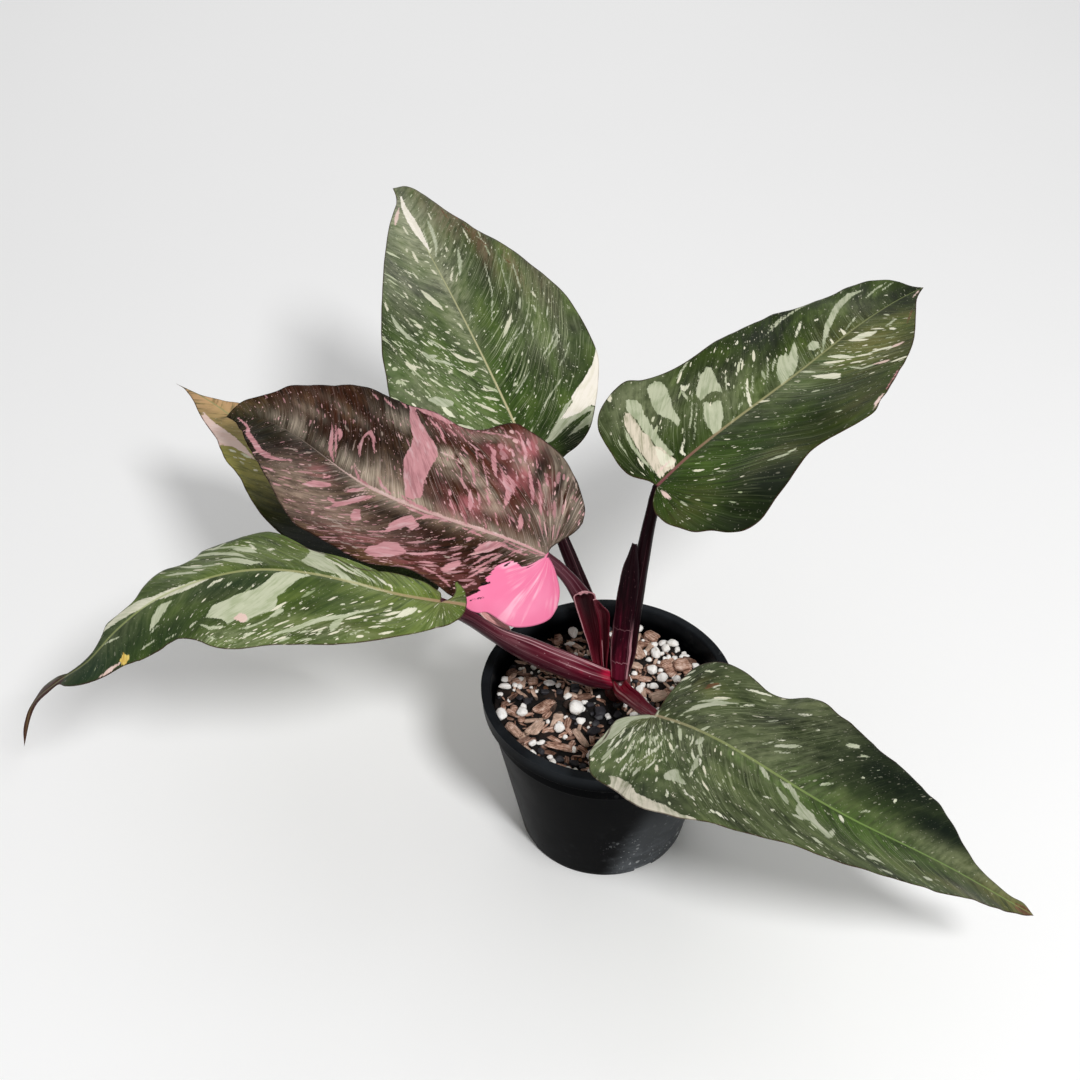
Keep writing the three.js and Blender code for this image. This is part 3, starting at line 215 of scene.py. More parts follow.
# ------------------------------------------------------------------ node helpers
class Mat:
    """a small wrapper that lays out a procedural material"""
    def __init__(self, name):
        self.m = bpy.data.materials.new(name); self.m.use_nodes = True
        self.t = self.m.node_tree
        for n in list(self.t.nodes):
            self.t.nodes.remove(n)
        self.out = self.t.nodes.new("ShaderNodeOutputMaterial")
        self.bsdf = self.t.nodes.new("ShaderNodeBsdfPrincipled")
        self.t.links.new(self.bsdf.outputs[0], self.out.inputs[0])
    def put(self, sock, v):
        if v is None:
            return
        if isinstance(v, bpy.types.NodeSocket):
            self.t.links.new(v, sock)
        elif isinstance(v, (tuple, list)) and len(v) == 3 and sock.type == "RGBA":
            sock.default_value = (*v, 1)
        else:
            sock.default_value = v
    def node(self, kind, **kw):
        n = self.t.nodes.new(kind)
        for k, v in kw.items():
            setattr(n, k, v)
        return n
    def attr(self, name, out="Fac"):
        n = self.node("ShaderNodeAttribute", attribute_name=name)
        return n.outputs[out]
    def coord(self, which="Object"):
        return self.node("ShaderNodeTexCoord").outputs[which]
    def math(self, op, a, b=None, c=None, clamp=False):
        n = self.node("ShaderNodeMath", operation=op, use_clamp=clamp)
        for i, v in enumerate((a, b, c)):
            if v is not None:
                self.put(n.inputs[i], v)
        return n.outputs[0]
    def add(self, a, b): return self.math("ADD", a, b)
    def sub(self, a, b): return self.math("SUBTRACT", a, b)
    def mul(self, a, b): return self.math("MULTIPLY", a, b)
    def mx(self, a, b): return self.math("MAXIMUM", a, b)
    def mn(self, a, b): return self.math("MINIMUM", a, b)
    def absv(self, a): return self.math("ABSOLUTE", a)
    def step(self, v, lo, hi, a=0.0, b=1.0, kind="SMOOTHSTEP"):
        n = self.node("ShaderNodeMapRange", interpolation_type=kind, clamp=True)
        for i, x in enumerate((v, lo, hi, a, b)):
            self.put(n.inputs[i], x)
        return n.outputs[0]
    def vec(self, x, y, z=0.0):
        n = self.node("ShaderNodeCombineXYZ")
        for i, v in enumerate((x, y, z)):
            self.put(n.inputs[i], v)
        return n.outputs[0]
    def scale(self, v, s):
        n = self.node("ShaderNodeVectorMath", operation="MULTIPLY")
        self.put(n.inputs[0], v); n.inputs[1].default_value = s if isinstance(s, (tuple, list)) else (s, s, s)
        return n.outputs[0]
    def noise(self, v, scale=1.0, detail=2.0, rough=0.5, dist=0.0, color=False, lac=2.0):
        n = self.node("ShaderNodeTexNoise", noise_dimensions="3D")
        self.put(n.inputs["Vector"], v)
        for k, x in (("Scale", scale), ("Detail", detail), ("Roughness", rough), ("Distortion", dist), ("Lacunarity", lac)):
            n.inputs[k].default_value = x
        return n.outputs["Color" if color else "Fac"]
    def voronoi(self, v, scale=1.0, feature="F1", rand=1.0):
        n = self.node("ShaderNodeTexVoronoi", voronoi_dimensions="3D", feature=feature)
        self.put(n.inputs["Vector"], v); n.inputs["Scale"].default_value = scale
        n.inputs["Randomness"].default_value = rand
        return n.outputs["Distance"], n.outputs["Color"] if feature == "F1" else None
    def mix(self, f, a, b, blend="MIX"):
        n = self.node("ShaderNodeMix", data_type="RGBA", blend_type=blend)
        self.put(n.inputs["Factor"], f)
        self.put([i for i in n.inputs if i.name == "A" and i.type == "RGBA"][0], a)
        self.put([i for i in n.inputs if i.name == "B" and i.type == "RGBA"][0], b)
        return [o for o in n.outputs if o.type == "RGBA"][0]
    def ramp(self, f, stops, interp="LINEAR"):
        n = self.node("ShaderNodeValToRGB"); n.color_ramp.interpolation = interp
        e = n.color_ramp.elements
        while len(e) < len(stops):
            e.new(0.5)
        for el, (p, c) in zip(e, stops):
            el.position = p; el.color = (*c, 1)
        self.put(n.inputs[0], f)
        return n.outputs[0]
    def split(self, v):
        n = self.node("ShaderNodeSeparateXYZ"); self.put(n.inputs[0], v); return n.outputs
    def bump(self, h, strength=0.5, distance=0.001, normal=None):
        n = self.node("ShaderNodeBump"); n.inputs["Strength"].default_value = strength
        n.inputs["Distance"].default_value = distance
        self.put(n.inputs["Height"], h)
        if normal is not None:
            self.put(n.inputs["Normal"], normal)
        return n.outputs[0]
    def finish(self, color, rough=0.5, normal=None, spec=None, **kw):
        b = self.bsdf.inputs
        self.put(b["Base Color"], color); self.put(b["Roughness"], rough)
        if normal is not None: self.put(b["Normal"], normal)
        if spec is not None: b["Specular IOR Level"].default_value = spec
        for k, v in kw.items():
            self.put(b[k.replace("_", " ")], v)
        return self.m

def srgb(h):
    c = [int(h[i:i + 2], 16) / 255 for i in (0, 2, 4)]
    return tuple(x / 12.92 if x <= 0.04045 else ((x + 0.055) / 1.055) ** 2.4 for x in c)

# ------------------------------------------------------------------ mesh helpers
def new_mesh(name, verts, faces, mats, attrs=None, smooth=True, mat_index=None):
    me = bpy.data.meshes.new(name)
    me.from_pydata([tuple(v) for v in verts], [], [tuple(int(i) for i in f) for f in faces])
    for m in mats:
        me.materials.append(m)
    if mat_index is not None:
        me.polygons.foreach_set("material_index", np.asarray(mat_index, np.int32))
    if attrs:
        for k, a in attrs.items():
            at = me.attributes.new(k, "FLOAT", "POINT"); at.data.foreach_set("value", np.asarray(a, np.float32))
    if smooth:
        me.polygons.foreach_set("use_smooth", np.ones(len(me.polygons), bool))
    me.update(); me.validate()
    ob = bpy.data.objects.new(name, me)
    bpy.context.scene.collection.objects.link(ob)
    return ob

# markings on each blade, in the blade's own millimetres [along, across]: outlines, strokes with
# half width, and soft washes [along, across, spread, spread, strength]
MARKS = {
    "back": dict(
        patches=[
            ["w",[[42.3,52.3],[38.5,48],[34,44],[30.1,39.3],[26.3,34.2],[22.6,29.1],[20.4,29.2],[17.6,25.1],[13.8,20.5],[13.6,25.8],[14.4,31.1],[16,35.7],[16.4,39.3],[21.1,44.3],[33.1,49.6]]],
            ["s",[[21.8,29.8],[19.8,25],[16.3,21.1],[12.2,17.5],[7.7,12.2],[4.8,8.6],[4.8,12.9],[8.4,19.3],[10.8,24.7],[12.6,30.3],[13.7,36.2],[16,35.7],[14.5,27.7],[13.7,21],[18,25.3]]],
            ["s",[[7.6,24.8],[10.7,31],[13.1,36.4],[10.3,35.2],[7.5,31.1],[5.6,24.4],[4.3,19]]],
            ["s",[[37.6,-35.9],[38.5,-31.1],[36.2,-27.1],[34.1,-24],[32.1,-25.3],[32.3,-29.8],[35,-33.5]]],
        ],
        strokes=[
            ["w",[[168.7,1.5,0.4],[160.2,0,1.28],[149.7,-0.1,2.09],[140.2,0,1.84],[133.2,0.5,1.04],[127.1,0.7,0.41]]],
            ["c",[[146.4,-5.5,0.33],[139.4,-5.5,0.65]]],
            ["c",[[129.6,-10.1,0.56],[127.4,-10.4,0.56]]],
            ["c",[[127.6,-7.7,0.54],[119.5,-7.7,0.87]]],
            ["c",[[99.8,-13.8,0.97],[94.1,-11.5,1.6],[86.3,-8,1.07]]],
            ["c",[[88.6,-5.6,0.91],[87.9,-5.3,0.91]]],
            ["c",[[79.5,-25.2,0.84],[76.1,-22.6,1.03]]],
            ["s",[[86.2,-34,0.69],[78.6,-33.5,1.05],[71.7,-31.3,1.02],[67.7,-27.9,0.78]]],
            ["s",[[70,-22.6,0.46],[63.4,-18.8,0.61]]],
            ["s",[[63.6,-28.6,0.61],[59.7,-26.2,1.19],[59.5,-21.3,0.57]]],
            ["s",[[58.5,-26.7,0.62],[55.1,-19.7,0.81],[51.4,-14.7,0.62]]],
            ["c",[[60.3,-14.5,0.95],[56.2,-10.7,1.26],[53.1,-2.8,0.79]]],
            ["c",[[66.3,-10,0.65],[64.8,-8.1,0.64]]],
            ["c",[[72.9,-12.4,0.65],[71.9,-10.2,0.65]]],
            ["c",[[59,-37.8,0.89],[55.8,-36.2,1.2],[53.8,-34.5,0.91]]],
            ["c",[[56.2,-35,0.43],[53.9,-31.1,0.55]]],
            ["c",[[51.4,-30.1,0.57],[51.1,-28.3,0.57]]],
            ["c",[[48.9,-20.8,0.46],[50.8,-18,0.46]]],
            ["c",[[50.3,-14.7,0.81],[46.8,-10.6,0.86],[49,-6.1,0.48]]],
            ["c",[[47.4,-34.2,0.48],[44.1,-30.7,0.6]]],
            ["c",[[41.2,-23,0.48],[38.9,-19,0.59]]],
            ["c",[[38.4,-8.6,0.57],[37.1,-4,0.57]]],
            ["c",[[34.7,-9.7,0.58],[31.2,-2,0.74]]],
            ["c",[[32.1,-14.8,0.77],[27.3,-8.8,0.76],[25.2,-5.6,0.41]]],
            ["c",[[24.9,-13.9,0.58],[19.5,-7.6,0.87]]],
            ["c",[[26.5,-24.3,0.58],[24.6,-22.6,0.58]]],
            ["c",[[22.6,-26.9,0.57],[18.4,-20.2,0.85]]],
            ["c",[[31,-21.3,0.47],[30.2,-20.2,0.47]]],
            ["c",[[27.4,-16.3,0.59],[26.2,-15.3,0.59]]],
            ["c",[[44.4,-43.8,0.47],[39.4,-40.5,0.46]]],
            ["c",[[50,-43.9,0.48],[48.3,-40.2,0.59]]],
            ["c",[[67.3,-37.9,0.42],[62.3,-36.5,0.56]]],
            ["c",[[69.5,-40.9,0.41],[62.8,-39.7,0.33]]],
            ["c",[[84,-28.4,0.35],[77.8,-26.9,0.34]]],
            ["c",[[95.2,-33.9,0.5],[88.1,-34.7,0.6]]],
            ["c",[[74,-20.4,0.51],[70.6,-17.8,0.57]]],
            ["c",[[80.4,-16.9,0.5],[76.4,-15,0.56]]],
            ["c",[[78,-4.2,0.47],[73.3,-3.1,0.52]]],
            ["c",[[66.5,-19.5,0.38],[61.7,-15.9,0.44]]],
            ["c",[[61.9,-5.2,0.66],[57.4,-3.1,0.59]]],
            ["c",[[67.2,-3.6,0.45],[64.6,-3.1,0.45]]],
            ["c",[[50.1,-2.6,0.56],[46.4,-1.6,0.55]]],
            ["c",[[62.8,-15,0.38],[61.1,-11.7,0.44]]],
            ["c",[[51.4,-49.1,0.45],[46.6,-47.2,0.45]]],
            ["c",[[65,-30,0.43],[61.6,-27.4,0.5]]],
            ["c",[[113.8,-12.9,0.35],[108,-12.1,0.41]]],
            ["c",[[117.3,-16.6,0.3],[108.3,-15,0.36]]],
            ["c",[[105.1,-18.3,0.45],[101.5,-18.1,0.45]]],
            ["c",[[100.3,-22.6,0.4],[94.3,-22.4,0.45]]],
            ["c",[[115.1,-3.3,0.36],[109.7,-1.8,0.35]]],
            ["s",[[146.8,7.1,0.44],[138.5,6.6,0.82],[128.7,5,0.72],[121.3,2.1,0.38]]],
            ["s",[[140.6,2.7,0.3],[131.1,1.7,0.34]]],
            ["s",[[121.4,13.4,0.48],[113.2,11.2,1.04],[105,8,0.47]]],
            ["c",[[112.3,7.3,0.3],[103.9,3,0.52]]],
            ["c",[[108.9,8.5,0.3],[102.3,4.9,0.38]]],
            ["c",[[151.1,9.3,0.3],[144.3,8.8,0.39]]],
            ["c",[[125.3,8.8,0.48],[122,8,0.48]]],
            ["c",[[74.6,21.8,0.47],[68.8,17.5,1.03],[62.8,12.5,0.47]]],
            ["s",[[81.8,28.9,0.37],[75.5,25.8,0.51]]],
            ["c",[[83.6,35.2,0.45],[78.6,35.6,0.55]]],
            ["s",[[75.4,32.8,0.49],[70.8,32.4,0.39]]],
            ["s",[[51.4,4.9,0.3],[57.8,12.9,0.39],[63.4,22.2,0.33],[71.4,28.6,0.3]]],
            ["s",[[55.6,9.5,0.3],[61.3,16.4,0.3],[66.9,22.7,0.3]]],
            ["s",[[45.9,24.3,0.3],[52.2,32,0.33],[59.1,37.6,0.3]]],
            ["s",[[39.4,30.9,0.3],[45.6,37.2,0.32],[51.9,41.1,0.3]]],
            ["s",[[72.7,39.3,0.42],[66.7,36.3,0.33]]],
            ["s",[[63.4,39.5,0.3],[54.6,36.2,0.32],[47.8,30.6,0.3]]],
            ["s",[[67.7,29,0.3],[57,25,0.3]]],
            ["s",[[108.2,21.5,0.3],[90.7,18.4,0.3],[74.3,11.8,0.3]]],
            ["s",[[107.4,28.8,0.3],[87.7,25.3,0.3],[79.6,21.9,0.3]]],
            ["s",[[102.5,33.4,0.3],[84.1,30.8,0.3]]],
            ["s",[[127.1,26,0.3],[122.9,25.9,0.3]]],
            ["s",[[119.2,26,0.3],[110.4,25.4,0.34]]],
            ["s",[[148.7,23.1,0.3],[140.8,23.1,0.3]]],
            ["c",[[133.3,20.2,0.3],[122.9,20.2,0.44]]],
            ["s",[[77.1,1.9,0.3],[82.4,4.6,0.37]]],
            ["s",[[17.7,11,0.3],[25.6,19.2,0.3],[33.1,29.2,0.3]]],
            ["s",[[15.6,6.2,0.36],[17.8,9.1,0.3]]],
            ["s",[[44.7,25.8,0.3],[53.1,37,0.3]]],
            ["s",[[32.1,5.8,0.3],[41.1,16.8,0.3]]],
            ["b",[[160.1,14.8,0.3],[152.2,17.1,0.44]]],
            ["b",[[147.4,18.4,0.3],[139.8,20.7,0.43]]],
            ["b",[[149.8,15.6,0.3],[142.3,16.4,0.3]]],
            ["b",[[135.7,21.2,0.3],[129.2,22.2,0.31]]],
            ["b",[[123.5,24.6,0.3],[117,26.1,0.31]]],
            ["b",[[107.9,30.6,0.3],[101.8,32.1,0.3]]],
            ["q",[[161,-2.3,0.39],[155.2,-5.4,0.82],[147.9,-9,0.72]]],
            ["s",[[125.2,24.2,0.3],[119.2,26,0.42]]],
        ],
        washes=[
            ["w6",45,-31,28,28,1.1],
            ["w6",31,-17,26,22,1.1],
            ["w6",68,-27,20,18,0.5],
            ["w6",95,-26,24,10,0.3],
            ["w6",119,3,16,8,0.3],
            ["w6",124,21,14,8,0.2],
            ["w8",64,22,34,20,0.9],
            ["w8",95,24,30,14,0.6],
            ["w8",29,21,24,14,0.7],
            ["w8",64,42,20,12,0.6],
            ["w8",123,-15,20,10,0.4],
            ["w1",140,-3,42,16,1],
            ["w1",105,-23,30,14,0.5],
            ["w1",109,0,26,8,0.9],
            ["w1",81,-4,24,7,0.7],
            ["w1",163,0,16,8,0.5],
            ["w1",58,-3,20,5,0.3],
            ["w1",39,-34,26,20,0.5],
            ["w1",24,-20,18,12,0.3],
            ["w1",84,42,34,18,0.3],
            ["w1",61,30,26,14,0.3],
            ["w1",105,28,24,10,0.2],
            ["w3",144,15,14,7,0.9],
            ["w3",122,24,22,4,0.9],
            ["w3",100,33,18,3,0.7],
            ["w3",87,41,18,8,0.3],
            ["w3",162,9,16,4,0.5],
            ["w2",101,18,16,5,0.6],
            ["w2",96,-39,20,3,0.6],
            ["w2",126,-32,16,2.5,0.4],
            ["w2",144,13,10,6,0.2],
            ["w2",88,-29,14,10,0.5],
            ["w2",45,43,20,6,0.5],
            ["w2",0,22,16,9,0.9],
            ["w2",11,12,14,10,0.3],
            ["w2",24,14,16,10,0.3],
            ["w2",89,7,22,8,0.2],
            ["w4",35,-21,24,22,0.7],
            ["w4",44,3,20,16,0.3],
            ["w4",47,-45,20,14,0.5],
        ],
    ),
    "pink": dict(
        patches=[
            ["h",[[-0.2,-0.2],[1.7,-2.9],[3.3,-5.5],[4.9,-8.8],[7.1,-10.1],[9.8,-9.3],[12.8,-10.3],[15.2,-13],[17.2,-15.6],[18.7,-19.4],[20.2,-23.1],[18.2,-24.3],[21.1,-27.2],[21.3,-30.5],[23.5,-33.4],[25.3,-35.6],[25,-41.8],[17.7,-45.1],[6.7,-41.8],[0.2,-43.6],[-4.7,-43.2],[-14.1,-36.9],[-17.4,-30.3],[-17.8,-22],[-16.6,-14.9],[-12.7,-8.6],[-5,-0.9]]],
            ["p",[[89.4,39.7],[84.2,39],[76.5,35.2],[69,31.4],[61.5,27.6],[59.3,24.5],[59.8,18.3],[59.9,12.5],[58.5,7.4],[57.8,4.9],[61.4,2.5],[64.4,2.7],[67.1,7],[71.2,13],[73.7,16.9],[73.7,20.3],[73.6,23.8],[74.9,27.3],[82,33.1]]],
            ["p",[[82.3,40.5],[73.9,41.5],[65.4,42.9],[60.9,42.4],[61.9,39.2],[69.1,38.8],[77.2,38.6]]],
            ["p",[[77.6,-17.8],[78.8,-13.4],[76.8,-12.4],[73.5,-16.6],[75.4,-19.7]]],
            ["p",[[62.9,-17.5],[63.3,-12.7],[61.2,-8.5],[57.6,-5.1],[55.9,-6.8],[52.5,-8.8],[54.1,-12.6],[57.1,-11.6],[59.8,-14.8]]],
            ["p",[[62.5,-35],[62.2,-30.9],[60.5,-27.9],[59.8,-24.5],[55.6,-21.9],[53,-24.6],[50.9,-25.3],[51.1,-27.6],[54,-31.1],[57.9,-35.3]]],
            ["p",[[56.4,-28.5],[56.5,-24.8],[55.1,-23.1],[52.7,-24.4],[51.7,-25.9],[52.9,-28.3],[54.6,-29.5]]],
            ["p",[[38.1,-27.4],[36.9,-23.6],[35.2,-21.5],[33,-19.1],[31.5,-20.7],[32.8,-23.6],[35.5,-26.8]]],
            ["p",[[28.8,-11.5],[27.6,-7.4],[24.3,-4.2],[20.3,-3],[17.1,-3.2],[19.5,-5.5],[23.3,-10.1],[26.9,-12.3]]],
        ],
        strokes=[
            ["p",[[122.2,14.2,0.48],[114.5,7.6,0.84],[109.8,3.4,0.93],[104.4,0.7,0.44]]],
            ["p",[[119.2,14.2,0.39],[110.4,7.1,0.48],[105.3,2.7,0.3]]],
            ["p",[[116.6,13.9,0.69],[112.8,12,1],[110.6,9.3,0.51]]],
            ["s",[[106.7,10.4,0.39],[101.3,5.6,0.49]]],
            ["s",[[115,16.5,0.3],[110.4,15.1,0.35]]],
            ["p",[[94.7,8.6,0.64],[98.1,12.8,0.87],[100.1,16.7,0.77],[99.1,20.5,0.81],[94.3,18.6,0.79],[88.8,13.7,0.73]]],
            ["s",[[103.2,14,0.33],[99.9,9.1,0.44]]],
            ["s",[[93.2,23,0.46],[91.1,21.8,0.47]]],
            ["s",[[106.2,19.2,0.37],[104.1,18.1,0.37]]],
            ["p",[[164.7,-0.8,0.67],[152.6,-11.3,1.16],[138.6,-16.1,1.31],[128.7,-17.3,1.44],[120.7,-16.1,1.42],[116.7,-12.7,0.69]]],
            ["p",[[122.4,-24.2,0.47],[115,-22.5,0.57]]],
            ["p",[[102,-17.7,1.12],[99.5,-13.6,1.74],[94.8,-9.5,1.48]]],
            ["p",[[100.1,-9.4,0.5],[98.3,-5.5,0.66]]],
            ["p",[[87.5,-8.3,0.74],[84.1,-4.3,0.79],[81.8,-0.4,0.33]]],
            ["p",[[86.8,-20.6,0.5],[85,-15.2,1.2],[81.1,-9.1,1.37],[75.6,-3.2,0.88]]],
            ["p",[[89.9,-15.3,1.04],[86.8,-15.4,1.04]]],
            ["p",[[89.2,-24.4,0.57],[87,-27.7,0.34]]],
            ["s",[[85.9,-24.6,0.31],[81.5,-24.7,0.45],[76.7,-22.3,0.46]]],
            ["s",[[79.9,-29.4,0.32],[76.5,-25.9,0.45],[72.9,-25,0.45]]],
            ["s",[[76.2,-29.5,0.45],[70.9,-27,0.57]]],
            ["s",[[71.9,-23.4,0.83],[69.9,-23.2,0.56]]],
            ["p",[[68.3,-22,0.46],[61.4,-16.5,0.61]]],
            ["p",[[55.9,-6.8,0.56],[51,-2.2,0.92],[45,-0.7,0.51]]],
            ["p",[[54.9,-11,0.82],[52.7,-8.3,0.54]]],
            ["p",[[51,-26.9,0.58],[46,-23.4,0.8],[40.8,-18.3,0.5]]],
            ["s",[[56.8,-17.3,0.38],[52.7,-16,0.63]]],
            ["s",[[49.7,-17.6,0.43],[45.9,-13,0.53]]],
            ["s",[[118.9,-4.5,0.78],[117,-2.6,0.68]]],
            ["s",[[110.1,-8.6,0.86],[109,-8.3,0.86]]],
            ["s",[[127.4,-7.7,0.52],[122.2,-5.9,0.57]]],
            ["s",[[108,-3.2,0.45],[102.3,0.1,0.48]]],
            ["s",[[100.9,-4.4,0.39],[96.4,-0.4,0.46]]],
            ["s",[[95.7,-6.6,0.52],[94,-3.1,0.44]]],
            ["s",[[88.5,-6.6,0.43],[84.3,-1.4,0.53]]],
            ["p",[[94.6,4.3,0.44],[87.3,0.6,0.66],[80,0,0.7]]],
            ["p",[[81,5.9,0.43],[76.7,2.9,0.72],[70.4,1.1,0.74]]],
            ["p",[[66,-1.3,0.35],[59.2,-2,0.63],[50,-2.4,0.59],[40.5,-1,0.41]]],
            ["q",[[95.6,5.4,0.3],[92.6,4.3,0.3],[89.2,3.5,0.3]]],
            ["q",[[88.5,-8.4,0.37],[84.3,-5.3,0.56],[80.1,-2,0.35]]],
            ["q",[[84.1,-9.2,0.3],[79.3,-3.6,0.36]]],
            ["p",[[68.4,3,0.3],[61.7,1.3,0.54],[53.9,0.5,0.7],[47.3,-0.5,0.39]]],
            ["p",[[37,-2.3,0.37],[31.7,-2.9,0.52],[26.3,-3.4,0.37]]],
            ["p",[[19.9,-4.5,0.42],[12.5,-4.4,0.62],[7.2,-3.8,0.41]]],
            ["p",[[18.6,-1.6,0.4],[11.6,-2.2,0.5],[0.9,-0.8,0.48]]],
            ["p",[[44.6,27.9,0.43],[41.1,22.8,0.68],[37.5,17.2,0.43]]],
            ["p",[[43.6,33.8,0.35],[40.4,27.3,0.47]]],
            ["p",[[37.7,35.7,0.6],[35,33.3,1],[33.4,28.3,1],[31.1,23.7,0.58]]],
            ["p",[[31.4,29.7,0.38],[27.9,23.9,0.64],[24.2,19.8,1.22],[23.7,14.6,0.81],[23.6,9.2,0.41]]],
            ["p",[[27.2,25.8,0.63],[23.4,22.7,1.01],[22.5,18.6,0.79]]],
            ["p",[[29.1,36.3,0.43],[26.6,32.9,0.64]]],
            ["p",[[27.2,41.9,0.64],[24.4,39.2,0.82],[22.3,35.4,0.77],[22,32,0.57]]],
            ["p",[[23.8,42.4,0.82],[21.3,38.4,0.57]]],
            ["p",[[20.6,32.6,0.38],[17.6,26.7,0.54],[14.9,20.3,0.52],[14,15.7,0.3]]],
            ["p",[[15.7,28.5,0.34],[12.4,21.5,0.6],[9.2,12.4,0.39],[5,6,0.33]]],
            ["p",[[16.6,11.8,0.76],[15.2,7.9,0.96],[14.9,4.8,0.59]]],
            ["p",[[16.7,14.5,0.38],[18.7,18.2,0.3]]],
            ["p",[[39.4,14.8,0.65],[37.6,10.8,1.06],[36.4,6.2,0.83]]],
            ["p",[[48.4,12.9,0.43],[46.7,9.7,0.63]]],
            ["p",[[46.1,8.1,0.42],[41.6,2.2,0.34]]],
            ["p",[[38.6,29,0.31],[35.9,24.1,0.38]]],
            ["p",[[33.3,17.6,0.4],[29.4,10.8,0.32]]],
            ["p",[[36.2,15.8,0.42],[33.2,9.5,0.41]]],
            ["p",[[46.9,23.1,0.3],[43.4,16.4,0.34]]],
            ["p",[[49.7,27.4,0.3],[49.1,21.4,0.32]]],
            ["p",[[73.6,37.6,0.3],[64.3,35.4,0.47],[58.1,30.2,0.32]]],
            ["p",[[62.3,37.9,0.33],[55.7,35.9,0.45]]],
            ["p",[[63.8,34.6,0.3],[60.2,31.2,0.37]]],
            ["p",[[49.1,43.3,0.41],[34.9,40.8,0.41],[26.5,40.1,0.4]]],
            ["p",[[48.7,35.5,0.3],[41.5,32.5,0.35]]],
            ["p",[[57.6,39.3,0.3],[47.4,34.7,0.37]]],
            ["p",[[36.2,44.8,0.3],[31.6,40.7,0.3]]],
            ["s",[[36.8,43.9,0.3],[34.6,41.2,0.3]]],
            ["p",[[30.2,43.6,0.3],[27.5,42.7,0.32]]],
            ["p",[[55.1,28.5,0.3],[54.2,23.6,0.34]]],
            ["p",[[36.1,24.9,0.3],[32.8,18.7,0.3]]],
            ["p",[[24.2,28.6,0.3],[21.3,22.6,0.31]]],
            ["p",[[26.6,9.1,0.3],[23.5,3.8,0.3]]],
            ["p",[[21.6,10.8,0.3],[18.3,4.8,0.32]]],
            ["p",[[13.9,13,0.3],[10.8,6.1,0.32]]],
            ["p",[[39.5,4.8,0.3],[35.4,-0.6,0.3]]],
            ["p",[[31.1,5.7,0.3],[27.2,0.6,0.3]]],
            ["p",[[14.9,32.6,0.3],[11.7,26.9,0.3]]],
            ["s",[[12.8,28.2,0.3],[10.9,21.8,0.3],[9,14.9,0.3]]],
            ["s",[[7.4,35.6,0.3],[4,34,0.3],[-0.2,29.7,0.3]]],
            ["s",[[6.8,28.4,0.3],[4,22.3,0.3],[2.5,17.4,0.3]]],
            ["q",[[58.7,26.3,0.3],[52.8,26.2,0.38],[46.6,24.7,0.3]]],
            ["p",[[32.2,38.9,0.3],[30.3,35.2,0.3]]],
            ["p",[[19.4,38.4,0.3],[16.9,32.5,0.3]]],
            ["p",[[111.2,42,0.3],[100.1,40.4,0.76],[90.4,37.7,0.67]]],
            ["p",[[116.4,34.8,0.3],[109.8,34.1,0.35]]],
            ["p",[[107.7,36,0.3],[96.8,34.9,0.4]]],
            ["p",[[30.2,-15.5,0.3],[24.8,-9.6,0.39],[19.7,-5,0.35]]],
            ["p",[[31.5,-19.5,0.3],[25.7,-13.4,0.37]]],
            ["p",[[27.7,-19.9,0.3],[22.7,-12,0.47],[17.5,-7.4,0.4]]],
            ["p",[[27.4,-23.6,0.3],[22.4,-15.7,0.46],[18.4,-11.2,0.34]]],
            ["p",[[27.7,-27.5,0.3],[24,-21.3,0.43],[20.3,-16.4,0.37]]],
            ["p",[[27.3,-31.7,0.31],[23.6,-25.3,0.51]]],
            ["p",[[14.7,-8.3,0.39],[12.5,-4.4,0.47]]],
            ["p",[[36.8,-18.9,0.3],[33,-15.1,0.39]]],
            ["p",[[39.4,-15.5,0.3],[34.1,-11.6,0.36]]],
            ["p",[[42.7,-12.5,0.3],[37.6,-8.5,0.37]]],
            ["p",[[35.1,-8.5,0.3],[30.1,-5.1,0.42]]],
            ["p",[[44.9,-17.8,0.32],[41.2,-14.7,0.37]]],
            ["s",[[38.8,-20,0.43],[36.6,-19.4,0.43]]],
            ["p",[[45.2,-27.5,0.38],[40.9,-25.2,0.53]]],
            ["p",[[38.8,-29.7,0.5],[34.5,-31.4,0.59],[31,-33.8,0.75]]],
            ["p",[[43,-29.5,0.43],[38.8,-29.7,0.53]]],
            ["s",[[65.4,-24.3,0.3],[61.5,-21.1,0.44]]],
            ["s",[[71.1,-31.5,0.3],[67.8,-30.2,0.4]]],
            ["s",[[67.1,-34.5,0.39],[64.4,-34.1,0.45]]],
            ["s",[[71.1,-35,0.3],[68.1,-33.9,0.34]]],
            ["s",[[80.8,-25.6,0.3],[76.5,-24.5,0.34]]],
            ["s",[[85.1,-30.3,0.3],[80.3,-31.3,0.3]]],
            ["k",[[20.6,-25.9,0.7],[17.3,-23.9,0.47]]],
            ["k",[[23.6,-31.7,0.55],[20.4,-29,0.47]]],
            ["k",[[19.8,-33,0.34],[17.2,-31.2,0.3]]],
            ["k",[[13.9,-13.5,0.5],[12.6,-10.7,0.38]]],
            ["k",[[22.7,-35.7,0.3],[20.9,-34.1,0.3]]],
            ["q",[[2,0,0.8],[20,0.1,0.9],[42,0,0.75],[62,0.1,0.9],[82,0,0.8],[98,-0.1,0.4],[108,0,0.2]]],
        ],
        washes=[
            ["w6",51,-32,60,16,1],
            ["w6",79,-19,50,16,0.9],
            ["w6",29,-17,30,14,0.9],
            ["w6",30,27,40,36,0.8],
            ["w6",108,-10,24,10,0.5],
            ["w6",122,20,60,12,0.3],
            ["w6",26,-24,20,10,0.6],
            ["w8",140,11,34,14,0.1],
            ["w8",109,22,30,14,0.1],
            ["w8",62,31,20,20,0.3],
            ["w8",5,23,20,30,0.5],
            ["w8",32,31,30,24,0.2],
            ["w5",138,4,9,5,0.7],
